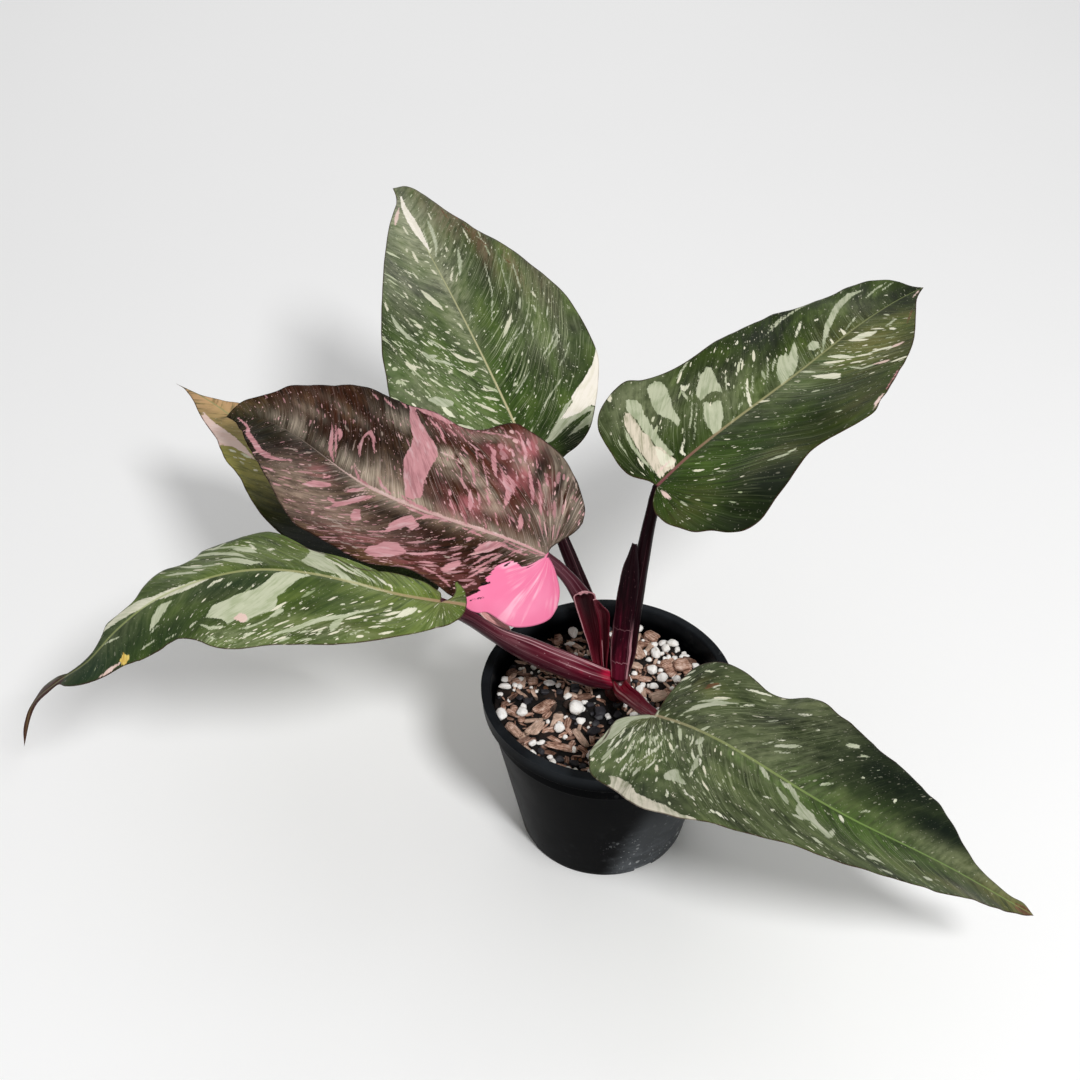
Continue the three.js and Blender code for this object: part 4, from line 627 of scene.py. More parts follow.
            ["w5",89,32,16,4,0.8],
            ["w5",117,22,20,2,0.3],
            ["w5",11,42,10,8,0.7],
            ["w5",-4,28,4,8,0.8],
            ["w7",53,-26,34,7,0.3],
            ["w7",40,10,22,8,0.2],
            ["w2",16,32,3,14,0.9],
            ["w2",8,29,2.2,12,0.9],
            ["w2",2,35,3.5,10,0.9],
            ["w2",-6,29,2,8,0.8],
            ["w2",4,8,4,6,0.7],
            ["w2",-2,18,2.5,10,0.7],
            ["w5",12,30,2,10,1.2],
            ["w5",6,34,2,12,1.3],
            ["w5",2,23,2,10,1.1],
            ["w5",-3,22,2,8,1.1],
            ["w5",-2,36,1.6,8,1.1],
            ["w5",3,15,2.4,10,0.9],
            ["w2",30,27,8,5,0.5],
            ["w2",39,33,8,5,0.5],
            ["w2",49,17,12,6,0.6],
            ["w2",50,7,12,5,0.4],
            ["w5",16,32,10,4,0.7],
            ["w5",44,39,16,3,0.5],
            ["w5",132,3,10,4,0.5],
            ["w5",114,4,8,3,0.5],
            ["w5",100,4,8,4,0.8],
            ["w5",84,4,10,6,1.1],
            ["w5",70,2,10,5,1.1],
            ["w5",57,2,10,3.5,0.9],
            ["w5",41,0,12,3.5,0.7],
            ["w5",26,0,12,3.5,0.6],
            ["w5",10,0,12,4,0.6],
            ["w5",5,14,10,4,0.8],
            ["w5",7,23,8,3,0.6],
            ["w5",-3,9,8,6,0.5],
            ["w5",55,23,14,2.5,0.7],
            ["w5",45,19,12,2.5,0.6],
            ["w5",64,25,10,2.5,0.5],
            ["w5",134,13,8,2,0.4],
            ["w5",8,36,6,3,0.7],
            ["w5",0,24,5,4,0.7],
            ["w5",13,30,14,2.5,0.7],
            ["w5",59,26,4,2.5,0.9],
            ["w5",54,27,4,2.5,1],
            ["w5",48,26,4,2.5,1],
            ["w5",43,23,4,3,0.9],
            ["w5",37,19,5,3,0.8],
            ["w5",32,15,5,3,0.8],
            ["w5",28,11,5,3,0.7],
            ["w7",34,35,6,4,0.9],
            ["w7",23,39,6,5,1],
            ["w7",18,28,8,4,0.9],
            ["w7",24,23,7,4,0.8],
            ["w7",41,5,8,4,0.8],
            ["w7",38,9,6,4,0.8],
            ["w7",64,41,16,5,0.7],
            ["w7",12,20,8,4,0.6],
            ["w7",104,-8,8,4,0.5],
            ["w7",60,-28,20,6,0.5],
            ["w4",163,2,14,10,0.9],
            ["w4",148,-6,16,8,0.8],
            ["w4",141,2,12,5,0.4],
            ["w4",124,2,20,6,0.3],
            ["w5",92,32,12,3,0.6],
            ["w5",142,4,12,3,0.6],
            ["w1",76,5,16,9,0.6],
            ["w1",101,-21,20,12,1],
            ["w1",85,-20,22,10,0.7],
            ["w1",116,-17,14,8,0.5],
            ["w1",65,-2,30,5,0.6],
            ["w1",140,11,10,6,0.3],
            ["w1",4,2,14,8,0.4],
            ["w8",3,34,14,26,0.6],
            ["w8",97,-8,30,14,0.3],
            ["w8",68,5,40,10,0.4],
            ["w3",30,27,34,30,0.9],
            ["w3",131,22,44,14,0.6],
            ["w3",54,-24,40,16,0.6],
            ["w3",116,-9,20,12,0.3],
            ["w2",65,-9,14,6,0.6],
            ["w2",102,38,60,9,0.6],
            ["w2",139,-9,26,8,0.5],
            ["w2",133,24,40,8,0.4],
            ["w2",45,-17,40,8,0.4],
            ["w2",14,19,16,10,0.4],
            ["w2",3,38,14,18,0.6],
            ["w2",-2,8,14,10,0.5],
            ["w2",128,-1,30,10,0.3],
            ["w2",106,12,30,12,0.3],
        ],
    ),
    "right": dict(
        patches=[
            ["s",[[35,-35.8],[37,-34.5],[37,-31.6],[35.1,-28.5],[33.2,-24.7],[30.7,-21.5],[29.6,-18.2],[28.3,-14.6],[25.6,-13.1],[26.1,-17.5],[24.9,-20.8],[24.3,-23.6],[26,-28.3],[28.3,-32.4],[30.3,-35.5],[32.9,-36.5]]],
            ["s",[[17.7,-29.5],[21.7,-29.3],[19.9,-24],[17.8,-17.8],[16.2,-11.2],[15,-4.6],[12.5,-5.4],[13.5,-12.8],[15.1,-21]]],
            ["s",[[50.9,-25.7],[53.3,-25.7],[56.3,-27.2],[56.8,-24.9],[55,-21.6],[53.2,-18.3],[52.2,-15.7],[50,-11.9],[49.7,-14.4],[47.8,-16],[44.5,-16.2],[41.8,-15.8],[40.8,-16],[41.5,-18.9],[45.2,-21.9],[48.8,-24.2]]],
            ["s",[[40.9,-14.4],[42.8,-13.4],[41.5,-11],[45.3,-11.9],[47.1,-10.3],[44.6,-6.8],[40.8,-3.1],[36.2,-0.2],[33.1,-0.5],[33.6,-4.4],[35.4,-8.3],[38.7,-12.2]]],
            ["s",[[91.3,-11.2],[88.9,-8.1],[95.7,-11.1],[100.1,-12.8],[96.2,-8.8],[90.7,-4.7],[83.1,-1.1],[76.5,-0.3],[72.1,0.6],[73.9,-2.9],[77.3,-6.5],[82.8,-10],[88,-11.5],[88.4,-10.3]]],
            ["s",[[102.9,-7.5],[106.8,-7.9],[108.2,-5.7],[104.6,-3.1],[101.2,-3.5],[100.2,-5.3]]],
            ["e",[[16.6,-33.7],[17.4,-31.3],[16.2,-25.5],[14.7,-21.6],[15.3,-17.9],[13,-13.4],[14.4,-10.4],[13.5,-6.4],[13.8,-2.4],[10.4,-0.4],[7.1,-1.6],[2.8,-0.9],[5,-7.1],[7.4,-14.4],[10.4,-22.6],[12.6,-28.6]]],
            ["s",[[20.8,-37.5],[23.4,-34.6],[23,-30.7],[20.2,-26.6],[16.7,-24.9],[17.3,-30],[17.7,-33.9]]],
            ["c",[[13,-12.8],[13.2,-10.4],[13.2,-6.1],[12.7,-1.4],[9,-2.2],[8.2,-4.7],[9.7,-8.7]]],
        ],
        strokes=[
            ["s",[[102.3,-0.2,0.41],[110.2,-4,0.84],[120.8,-8.6,1.14],[134.3,-12.9,1.44],[149.8,-17.5,1.71],[157,-18.6,2.32],[162.6,-16.7,1.44]]],
            ["s",[[98.6,-0.9,0.43],[101.8,-1.9,0.43]]],
            ["c",[[103,-14.1,0.34],[110.9,-16.9,0.63],[115.8,-18.8,0.42]]],
            ["s",[[92.7,-23.4,0.3],[108.1,-24.9,0.39],[125.8,-25.2,0.43],[138.8,-25.3,0.33]]],
            ["s",[[98.6,-25,0.3],[113.9,-26.2,0.3]]],
            ["s",[[158.6,-11.4,0.46],[167.1,-12.5,0.52],[174.8,-12.4,0.36]]],
            ["s",[[168.6,-9.8,0.35],[177.4,-10.5,0.35]]],
            ["s",[[12.5,-30.2,0.3],[8,-20.3,0.59],[5.4,-11,0.62],[4,-4.6,0.41]]],
            ["c",[[41.4,-27.4,0.66],[40.5,-24.7,1.02],[44.5,-25.2,0.44]]],
            ["s",[[39.2,-24.6,0.65],[37.7,-20.3,0.64]]],
            ["s",[[41.8,-30.6,0.3],[49.3,-33.2,0.34],[53.6,-33.8,0.3]]],
            ["c",[[25.5,-9.6,0.3],[22.1,-6.2,0.39],[17.5,-3.3,0.66],[18.1,-1.1,0.93]]],
            ["s",[[41.4,-21.1,0.3],[34.8,-14.5,0.3],[27.9,-8.7,0.3]]],
            ["s",[[39.9,-16.8,0.3],[33.1,-10.5,0.3],[25.5,-4,0.3]]],
            ["s",[[59.2,-19.7,0.3],[51.6,-11.2,0.3]]],
            ["c",[[55.6,-14.9,0.75],[55.4,-13.6,0.74]]],
            ["c",[[62.9,-16.9,0.46],[61.8,-14.8,0.47]]],
            ["c",[[61.4,-10.1,0.34],[56.8,-4.4,0.63],[53.7,0.5,0.62]]],
            ["s",[[68,-12,0.3],[60,-4.6,0.33]]],
            ["s",[[72.7,-10.4,0.44],[69.6,-6.8,0.65]]],
            ["s",[[68.2,-4.1,0.3],[75.7,-9.5,0.3],[79.5,-12.8,0.3]]],
            ["s",[[84.3,-12.1,0.3],[76,-7.6,0.3]]],
            ["c",[[76.4,-27.5,0.3],[80.6,-28.8,0.42]]],
            ["c",[[68.2,-18.5,0.41],[71.4,-20.6,0.41]]],
            ["s",[[49,-2.7,0.3],[53.3,-4.6,0.37]]],
            ["s",[[41.4,0.7,0.3],[45.5,-1.5,0.33]]],
            ["c",[[84.7,6.2,0.99],[87.3,10.7,1.53],[90.1,14.1,2.31],[90.4,16.2,0.71]]],
            ["c",[[100.9,3.5,0.67],[104,7.3,1.66],[106.9,12.7,0.7]]],
            ["s",[[84.5,0.5,0.72],[87.8,5.5,0.62]]],
            ["c",[[117.9,4.2,0.45],[124.5,6.3,1.78],[129.1,8.5,1.44],[131.8,9.4,0.81]]],
            ["c",[[112.3,15.7,0.46],[117.5,18.3,0.76],[123.1,23.3,0.91]]],
            ["s",[[138.2,10.3,0.45],[147,10.4,0.53]]],
            ["c",[[137,12.8,0.99],[138.9,14.2,1.49]]],
            ["q",[[104.2,22.5,0.54],[108.5,25.6,0.92],[110.9,26.9,0.52]]],
            ["s",[[98.4,13,0.46],[99.4,20.2,0.56],[106.9,24.2,0.45]]],
            ["s",[[93.8,3.1,0.48],[97.4,9.4,0.74]]],
            ["q",[[121.3,21.9,0.75],[127.6,24.1,0.61]]],
            ["s",[[8.6,28.2,0.3],[9.7,32.9,0.44]]],
            ["s",[[-0.9,13.3,0.3],[-1.1,17.7,0.38]]],
            ["q",[[-1.1,3.2,0.49],[-1.9,6.7,0.82],[-2.4,9.8,0.41]]],
            ["q",[[4.2,-3.7,0.52],[8.4,-3.8,0.44],[12.8,-3.6,0.3]]],
            ["s",[[18.6,14.9,0.34],[22.3,19.2,0.45]]],
            ["s",[[34,28.1,0.46],[40.2,30.6,0.55],[47.1,30.6,0.3]]],
            ["q",[[172.9,3.8,0.3],[181.5,0.9,0.43]]],
            ["q",[[77,40.5,0.35],[81,39.5,0.65],[87.1,37.8,0.43]]],
            ["p",[[89.9,37.3,0.3],[97,35.9,0.3],[106.9,33.7,0.3]]],
            ["s",[[57.5,14.6,0.4],[58.4,16.8,0.55]]],
            ["s",[[61.6,20.1,0.38],[62.3,21,0.44]]],
            ["s",[[35.3,17.2,0.3],[38.4,21.2,0.41]]],
            ["s",[[73.1,6.9,0.34],[74.7,10.6,0.4]]],
            ["s",[[148.8,3.7,0.72],[148.7,6.1,0.83]]],
            ["s",[[75.3,13.1,0.4],[78,14.9,0.47]]],
            ["s",[[70.3,28.5,0.39],[72,30.4,0.34]]],
            ["s",[[79.3,30.7,0.36],[79.3,32,0.36]]],
            ["b",[[146,16.2,0.3],[158.5,11.9,0.3]]],
            ["s",[[6.2,-14.4,0.3],[5.2,-8.3,0.3]]],
            ["s",[[6.2,-26.1,0.3],[3.2,-18,0.3]]],
            ["s",[[19.1,-19.2,0.3],[19.6,-15.8,0.3]]],
            ["s",[[47.3,-22.1,0.3],[51.7,-27,0.3]]],
            ["s",[[125.7,-2.1,0.3],[138.4,-4.3,0.38]]],
            ["c",[[166.6,-6.7,0.8],[166.5,-5.6,0.81]]],
            ["c",[[81.6,-14.3,0.45],[79.8,-12.5,0.45]]],
            ["s",[[142.3,-24.8,0.3],[150.5,-25.8,0.3]]],
            ["c",[[63,-30.7,0.41],[63.8,-30.8,0.41]]],
            ["c",[[120.8,-14.7,0.42],[123.4,-14.7,0.42]]],
        ],
        washes=[
            ["w6",14,-17,26,14,0.3],
            ["w6",63,-20,40,12,0.3],
            ["w6",2,16,30,14,0.3],
            ["w6",116,10,26,14,0.5],
            ["w8",111,8,34,18,0.7],
            ["w8",48,-11,30,16,0.2],
            ["w8",15,-23,20,14,0.6],
            ["w8",37,21,34,12,0.3],
            ["w1",24,-33,16,14,0.7],
            ["w1",54,-9,22,12,0.5],
            ["w1",75,3,24,8,0.4],
            ["w1",46,-13,14,10,0.4],
            ["w1",144,-10,20,10,0.3],
            ["w1",36,-22,16,12,0.3],
            ["w3",118,13,26,16,0.8],
            ["w3",148,14,12,10,0.6],
            ["w3",38,31,20,8,0.4],
            ["w3",80,32,16,8,0.3],
            ["w3",0,18,20,8,0.3],
            ["w2",23,40,30,20,1.1],
            ["w2",-1,-13,14,8,0.5],
            ["w2",25,22,34,16,0.5],
            ["w2",3,15,24,12,0.4],
            ["w2",52,28,40,10,0.6],
            ["w2",10,30,24,12,0.5],
            ["w2",8,-32,10,8,0.3],
            ["w2",80,-38,40,6,0.3],
            ["w2",71,40,16,6,0.2],
            ["w4",20,16,26,18,0.5],
            ["w4",-1,13,20,16,0.4],
            ["w4",92,10,26,12,0.4],
        ],
    ),
    "left": dict(
        patches=[
            ["s",[[63.7,-1.3],[59.9,-0.3],[54.6,-1.2],[51.1,-1],[55.3,-3.8],[58.2,-7],[60.5,-10.5],[63.1,-12.5],[62.7,-17],[66,-19.4],[70.5,-21.2],[74.1,-22.5],[75.3,-24.3],[80.5,-23.3],[84.1,-25.3],[86.8,-23.2],[91.2,-22.1],[94,-21.3],[90.7,-15.4],[85.9,-13.8],[79.1,-10.9],[71.7,-8.8],[67.9,-5.2],[65.9,-2.4]]],
            ["q",[[81.8,-22.8],[78.8,-20],[76.1,-20.6],[75,-22.9],[77.2,-24.8]]],
            ["s",[[57.9,10.5],[56.9,14.8],[56.8,25.6],[54.2,23.3],[47.6,13],[42.3,7.2],[36.7,2.1],[31.4,-2.2],[35.8,-0.9],[41.6,2.2],[48.1,2.8],[54.3,5.9]]],
            ["s",[[65.6,-22.1],[62.4,-18.8],[60.1,-16.9],[58.7,-19.1],[61.9,-21.5]]],
        ],
        strokes=[
            ["c",[[117.3,2.1,1.4],[110.1,-0.2,1.9],[101.7,-1.2,2.09],[95.4,-0.9,1.83],[91.7,-0.7,1.19]]],
            ["c",[[139.1,6.1,1.35],[131,5.2,2.27],[123,3.4,2.62],[116.5,1.2,2.11],[111.3,0.1,1.64]]],
            ["s",[[141.7,0,0.4],[133.8,-3.9,0.37]]],
            ["s",[[122.1,-11.3,0.5],[117.2,-9,1.84],[112.5,-6.2,2.08],[108,-5.2,0.78]]],
            ["s",[[122.8,-12.4,0.3],[117.5,-11.9,0.4]]],
            ["s",[[100.5,26.8,1.15],[95.3,24.7,1.15],[88.9,19.3,1],[80.6,13.2,0.98],[77.7,9.9,0.45]]],
            ["s",[[97.8,31,0.66],[87.3,23.7,0.66],[79.2,18.2,0.77]]],
            ["s",[[83.9,19.8,1.09],[78.8,17.3,1.87],[74.5,14.3,1.01]]],
            ["c",[[78,21.2,0.46],[75.1,16.7,0.74]]],
            ["c",[[71.2,17,0.77],[68.7,18.8,0.75]]],
            ["s",[[88.4,13.4,0.68],[81.7,8.7,1.72],[75.2,4.3,1.75],[70.7,4.9,0.91]]],
            ["s",[[105.5,19.8,0.65],[96.2,12,0.85],[87.9,7.6,0.52]]],
            ["s",[[109.8,14.9,0.71],[102.9,11,0.98],[96.5,6.2,0.84]]],
            ["s",[[65,8.7,0.59],[60.8,10.3,0.84]]],
            ["s",[[44.4,0.9,0.55],[36.3,0.8,0.71],[27.1,-0.6,0.61],[19.3,0.2,0.46]]],
            ["c",[[50,15.8,0.45],[40.5,8.1,0.7],[30.7,3.4,0.41]]],
            ["s",[[46.6,16.2,0.44],[39.1,10,0.49],[28,2.4,0.36]]],
            ["s",[[39.9,13.1,0.4],[33.3,7.5,0.42],[25.3,1.5,0.33]]],
            ["c",[[29.6,8.3,0.4],[22.4,2.9,0.44]]],
            ["c",[[25.7,5.9,0.35],[19.7,1.9,0.33]]],
            ["s",[[64.9,-31.5,0.72],[58.3,-28.6,0.81],[51.7,-26.2,1.05],[45.1,-22.8,1.09],[39.5,-20.1,1.07],[32.7,-17.6,0.87],[24.6,-11.4,0.56],[20.4,-7.7,0.3]]],
            ["s",[[35.8,-25.8,0.73],[35.3,-22.6,1.43],[33.8,-19.4,1.29]]],
            ["s",[[40,-27.9,0.43],[39.1,-24.7,0.51]]],
            ["c",[[15.5,-12,0.6],[12.5,-8.7,1.36],[9.2,-6,1.2]]],
            ["c",[[20.2,-15.8,0.43],[15.8,-12.1,0.53]]],
            ["c",[[25.1,-17.5,0.48],[24.2,-16.6,0.48]]],
            ["c",[[92.9,-5.9,0.46],[89.4,-3.6,0.62],[84.9,-2.8,0.35]]],
            ["c",[[85.8,-7.4,0.3],[82.5,-5.2,0.49]]],
            ["c",[[74.2,-8.2,0.47],[72.7,-6.9,0.47]]],
            ["c",[[80,-8.9,0.34],[78.4,-8.2,0.38]]],
            ["s",[[97.1,-23.5,0.46],[92.3,-27.2,0.73],[86.3,-26.7,0.73]]],
            ["s",[[79.4,-27.6,0.41],[71.4,-25.7,0.52],[65,-22.6,0.49]]],
            ["c",[[76.9,-30.7,0.68],[70.6,-28.9,0.46]]],
            ["s",[[58.3,-32.6,0.47],[52.4,-30.3,0.47]]],
            ["s",[[48.1,-31.2,0.37],[42,-29.5,0.35]]],
            ["s",[[48.5,-27.7,0.37],[42.8,-26.2,0.37]]],
            ["y",[[140.2,-10.9,0.82],[138.8,-12,1.51],[136.4,-12.6,1.11]]],
            ["y",[[137.3,-9.9,0.74],[139,-12.3,1.41],[141.2,-13.4,0.67]]],
            ["b",[[164.1,-0.8,1.58],[171.2,-0.8,3.92],[175.9,-1.9,5.46],[186.3,-1.1,2.84],[193.4,0.3,2.11],[199.6,0.2,1.77]]],
            ["q",[[148.5,-10.3,0.58],[144.8,-10.5,0.78],[141.2,-11.5,0.66]]],
            ["s",[[95.1,-29.8,0.3],[89.9,-32.5,0.34]]],
            ["s",[[85.1,-32.6,0.34],[80.3,-33.4,0.3]]],
            ["s",[[28.1,-24.9,0.33],[23.9,-21.5,0.3]]],
            ["c",[[30.8,-23,0.32],[29.2,-21.6,0.36]]],
            ["c",[[52.6,-14.8,0.43],[51.7,-15.2,0.43]]],
            ["c",[[55.9,-17.5,0.48],[55.2,-17,0.48]]],
            ["c",[[56.5,-20.7,0.55],[55.5,-21.1,0.55]]],
            ["c",[[36.2,-12.2,0.51],[34.5,-11.7,0.41]]],
            ["c",[[31.8,-16.3,0.5],[31.2,-15.6,0.49]]],
            ["c",[[19.8,-10.5,0.34],[17.5,-8.1,0.35]]],
            ["c",[[31.3,-6.5,0.39],[30.8,-6.8,0.4]]],
            ["c",[[2.1,-14.8,0.32],[-1,-12.8,0.31]]],
            ["s",[[130.2,-14.8,0.3],[122.2,-16.1,0.32]]],
            ["s",[[117.1,-19.4,0.3],[110.1,-20.5,0.35]]],
            ["c",[[102.3,-22.2,0.43],[98,-21.3,0.52]]],
            ["s",[[92.7,26.3,0.71],[87.4,28.3,0.95]]],
            ["s",[[102.7,24.6,0.49],[96.9,20.9,0.66]]],
            ["s",[[5,8.1,0.3],[-1.3,6.5,0.3]]],
        ],
        washes=[
            ["w6",73,-32,46,6,1.1],
            ["w6",37,-23,50,9,0.8],
            ["w6",21,-12,30,9,0.6],
            ["w6",93,17,40,8,0.6],
            ["w6",54,-11,20,12,0.3],
            ["w8",58,11,50,8,0.6],
            ["w8",96,5,20,5,0.4],
            ["w8",17,2,30,6,0.6],
            ["w1",96,-10,30,6,0.2],
            ["w1",85,14,30,8,0.3],
            ["w1",36,-25,50,6,0.5],
            ["w1",78,-32,30,6,0.6],
            ["w1",113,-1,40,8,0.3],
            ["w1",23,-5,26,10,0.2],
            ["w1",14,-10,22,8,0.4],
            ["w1",127,-1,30,6,0.3],
            ["w2",83,-6,36,5,0.8],
            ["w2",116,-18,26,8,0.6],
            ["w2",131,-8,24,12,0.7],
            ["w2",42,-8,20,10,0.4],
            ["w2",41,-9,22,12,0.5],
            ["w2",148,-5,30,14,1],
            ["w2",159,-6,16,10,0.6],
            ["w2",132,-13,14,8,0.5],
            ["w3",190,-1,24,10,1.1],
            ["w3",171,-1,12,8,0.7],
            ["w3",0,1,6,6,0.5],
            ["w3",13,-22,40,3,0.3],
            ["w3",32,0,12,6,0.1],
            ["w4",16,-3,30,20,0.8],
            ["w4",18,9,26,14,0.9],
            ["w4",33,-9,30,14,0.4],
            ["w4",50,23,30,10,0.6],
            ["w4",58,11,30,12,0.5],
            ["w4",77,18,30,10,0.4],
            ["w4",4,-5,12,12,0.3],
        ],
    ),
    "front": dict(
        patches=[
            ["s",[[0.7,-1.2],[-5.2,2.2],[-9.9,5.8],[-12.3,9],[-11.3,14.5],[-10.6,20.2],[-12.9,23.3],[-12.7,29.7],[-10,31],[-10.6,24.1],[-8.2,20.4],[-7,17.1],[-6.3,12.2],[-5.6,7.8],[-1.8,4],[1.8,1.6]]],
            ["e",[[1.6,38.4],[4.3,37.7],[8.4,38.8],[18.6,41.3],[24.2,44],[28.5,43.9],[33.1,44],[38.6,44.1],[43.2,44.2],[48.8,43],[49.6,44.3],[46.1,47.6],[40.3,48.9],[34.2,49.8],[25.5,48.9],[10.6,45.8],[4.5,42.6]]],
            ["s",[[26.7,30.1],[26.4,26],[27.7,23.4],[30.9,26.2],[34.3,27.6],[37.6,29.3],[35.3,30.6],[31.7,30.2],[28.7,32.2]]],
            ["s",[[61.7,1.5],[63.1,0.1],[66.6,2.8],[70.1,6.9],[72.9,9],[75.3,10.1],[77.5,13.5],[80.7,16.5],[83.1,18.2],[81.6,21.2],[77.7,17.8],[75,15.7],[72.7,16.9],[70.1,13.9],[69.7,8.9],[66.1,5.5]]],
        ],
        strokes=[
            ["s",[[60.4,6.5,0.47],[64.1,9.2,1.02],[67.3,12.5,0.97]]],
            ["s",[[59.8,1.3,0.45],[63.4,4,0.55]]],
            ["s",[[49.9,0.6,0.65],[53.8,3.1,1.19],[56.8,5.2,0.44]]],
            ["s",[[70.6,17.2,1.02],[72.7,16.9,0.93],[73.6,11.9,0.47]]],
            ["c",[[-6,27.1,0.3],[-6.6,21.6,0.4],[-6.7,18.3,0.3]]],
            ["c",[[1.1,30.6,0.31],[1.7,23.9,0.48],[1,17.2,0.59]]],
            ["c",[[-6.2,11.5,0.35],[-5,18.2,0.47]]],
            ["c",[[-3.1,10.6,0.34],[-1,18.8,0.54]]],
            ["c",[[9.5,22.6,0.51],[8.4,18.5,0.7]]],
            ["c",[[-4.2,25.6,0.38],[-3.7,18.8,0.57]]],
            ["c",[[29.8,15.7,0.39],[25,10.5,0.59]]],
            ["c",[[35,25.5,0.42],[33.5,20.6,0.65]]],
            ["c",[[8.4,14.5,0.33],[7.4,7.1,0.49]]],
            ["c",[[3.2,17.4,0.66],[3.3,13.5,0.76]]],
            ["c",[[4,12.5,0.3],[3.8,5.3,0.31]]],
            ["c",[[-1.1,12.3,0.3],[0,6.5,0.34]]],
            ["s",[[-2.2,38,0.74],[-2.6,34.4,0.74]]],
            ["c",[[0,31.2,0.4],[-0.1,28.1,0.41]]],
            ["c",[[4.6,35.1,0.43],[4.2,29.7,0.51]]],
            ["s",[[11.5,35.6,0.82],[11.2,33.1,1.34],[11.6,29.8,1.33]]],
            ["c",[[16.8,31.4,0.66],[16,23.4,0.71]]],
            ["c",[[8.1,27.5,0.37],[10.5,21.6,0.58],[11.1,14.8,0.34],[10.7,10.3,0.3]]],
            ["s",[[32.9,21.8,0.7],[32.2,17.8,1.16],[28.9,11.9,0.56]]],
            ["s",[[24.7,7.6,0.85],[24.9,5.2,1.43],[24.7,3.1,0.92]]],
            ["c",[[23.6,10,0.3],[21.8,5.1,0.34]]],
            ["c",[[41.5,6.9,0.34],[43.3,8.9,0.38]]],
            ["c",[[40.8,34.4,0.3],[38.5,32.3,0.37]]],
            ["c",[[44,34.6,0.31],[41,33.5,0.35]]],
            ["c",[[50.8,38.2,0.31],[51.6,34.5,0.47],[56.4,34.9,0.5]]],
            ["c",[[63.6,20.8,0.34],[65.7,19.2,0.4]]],
            ["c",[[59.2,14.6,0.41],[61.9,14,0.42]]],
            ["s",[[81.3,20.9,0.42],[82.4,16.2,0.74],[83.2,11.9,0.47]]],
            ["c",[[84.2,1.1,0.49],[85.3,3.3,0.93],[86.2,5.1,0.54]]],
            ["s",[[77.3,24.8,0.5],[80.2,26.2,0.64]]],
            ["s",[[93.8,21.2,0.72],[96.4,19.2,1.18],[99.2,19.6,0.79]]],
            ["s",[[116.7,17.2,1.17],[120.6,16.5,0.79]]],
            ["s",[[97.9,25.3,0.73],[102.3,25.3,0.74]]],
            ["c",[[30.6,12.9,0.4],[33.7,16.6,0.3]]],
            ["c",[[19.7,16.8,0.31],[18.7,11.6,0.35]]],
            ["c",[[9.2,10.3,0.3],[9,5,0.33]]],
            ["c",[[12,19.8,0.32],[12,14.5,0.34]]],
            ["c",[[6.2,30.8,0.3],[6.3,26.3,0.35]]],
            ["c",[[-3.6,29.8,0.3],[-3.6,26.6,0.32]]],
            ["c",[[7.4,16.9,0.3],[7.2,11.7,0.3]]],
            ["c",[[32.8,36.1,0.3],[35.9,38.3,0.31]]],
            ["c",[[26.5,35.3,0.3],[26,32.8,0.31]]],
            ["s",[[10.4,-4,0.51],[13.7,-10.5,1.06],[18.6,-16.2,1.16],[23.7,-20.4,0.53]]],
            ["s",[[12.2,-12,0.36],[16.2,-16.3,0.5],[20.4,-20.2,0.35]]],
            ["c",[[22.7,-29.6,0.41],[26.8,-32.3,0.63],[30.6,-34.5,0.41]]],
            ["c",[[26.5,-21.7,0.6],[30.1,-25.5,0.41]]],
            ["c",[[7.8,-28.8,0.6],[10.8,-30.4,0.41]]],
            ["s",[[3.8,-15.4,0.33],[6.7,-19.4,0.46]]],
            ["c",[[-0.2,-18.8,0.45],[4.1,-23.8,0.68]]],
            ["s",[[1.3,-23.5,0.38],[4.7,-28.1,0.39]]],
            ["s",[[37.9,-19.2,0.38],[41.8,-22.7,0.7]]],
            ["c",[[46.8,-28.9,0.5],[52.1,-31.3,0.62]]],
            ["s",[[44.8,-8.7,0.39],[47.3,-11.8,0.39]]],
            ["s",[[49,-10.6,0.83],[57.8,-16.2,0.81]]],
            ["s",[[50.7,-8.3,0.48],[56,-11.6,0.38]]],
            ["s",[[58.8,-3.4,0.36],[62.4,-5.7,0.35]]],
            ["s",[[75,-26.6,0.84],[81.9,-28.9,0.7]]],
            ["s",[[84.2,-26,0.61],[88.6,-27.7,0.41]]],
            ["s",[[72.7,-6.1,0.63],[77.7,-9.6,0.57]]],
            ["s",[[90.1,-3.6,0.32],[96.7,-7.3,0.31]]],
            ["c",[[105.8,-15.2,0.44],[106.6,-16.8,0.44]]],
            ["c",[[87.6,-18.2,0.33],[89.5,-18.7,0.33]]],
            ["s",[[33.9,-29.6,0.35],[36.7,-32.3,0.4]]],
            ["c",[[13.6,-21.9,0.3],[15.3,-25.7,0.3]]],
            ["c",[[8.4,-9.6,0.36],[10.4,-12.3,0.35]]],
            ["c",[[22.7,-34.6,0.3],[22.9,-36.3,0.3]]],
            ["c",[[58.1,-25.9,0.34],[60.4,-26.5,0.32]]],
            ["c",[[74.9,-19.5,0.3],[77.4,-20.3,0.3]]],
            ["b",[[12.2,-20.3,0.51],[12.7,-23.1,0.84],[14.3,-24.9,0.45]]],
            ["b",[[170.1,0.8,1.89],[175.6,0.4,2.45]]],
            ["c",[[47.3,-13.1,0.31],[50.7,-14.9,0.3]]],
            ["c",[[35.5,-14,0.4],[36.6,-15,0.41]]],
            ["s",[[110.5,10.7,0.45],[115.5,8.7,0.45]]],
            ["s",[[88.8,20.6,0.41],[92,18.9,0.42]]],
        ],
        washes=[
            ["w6",7,24,30,26,1.1],
            ["w6",40,30,26,18,0.8],
            ["w6",50,27,30,12,0.4],
            ["w6",70,28,40,8,0.5],
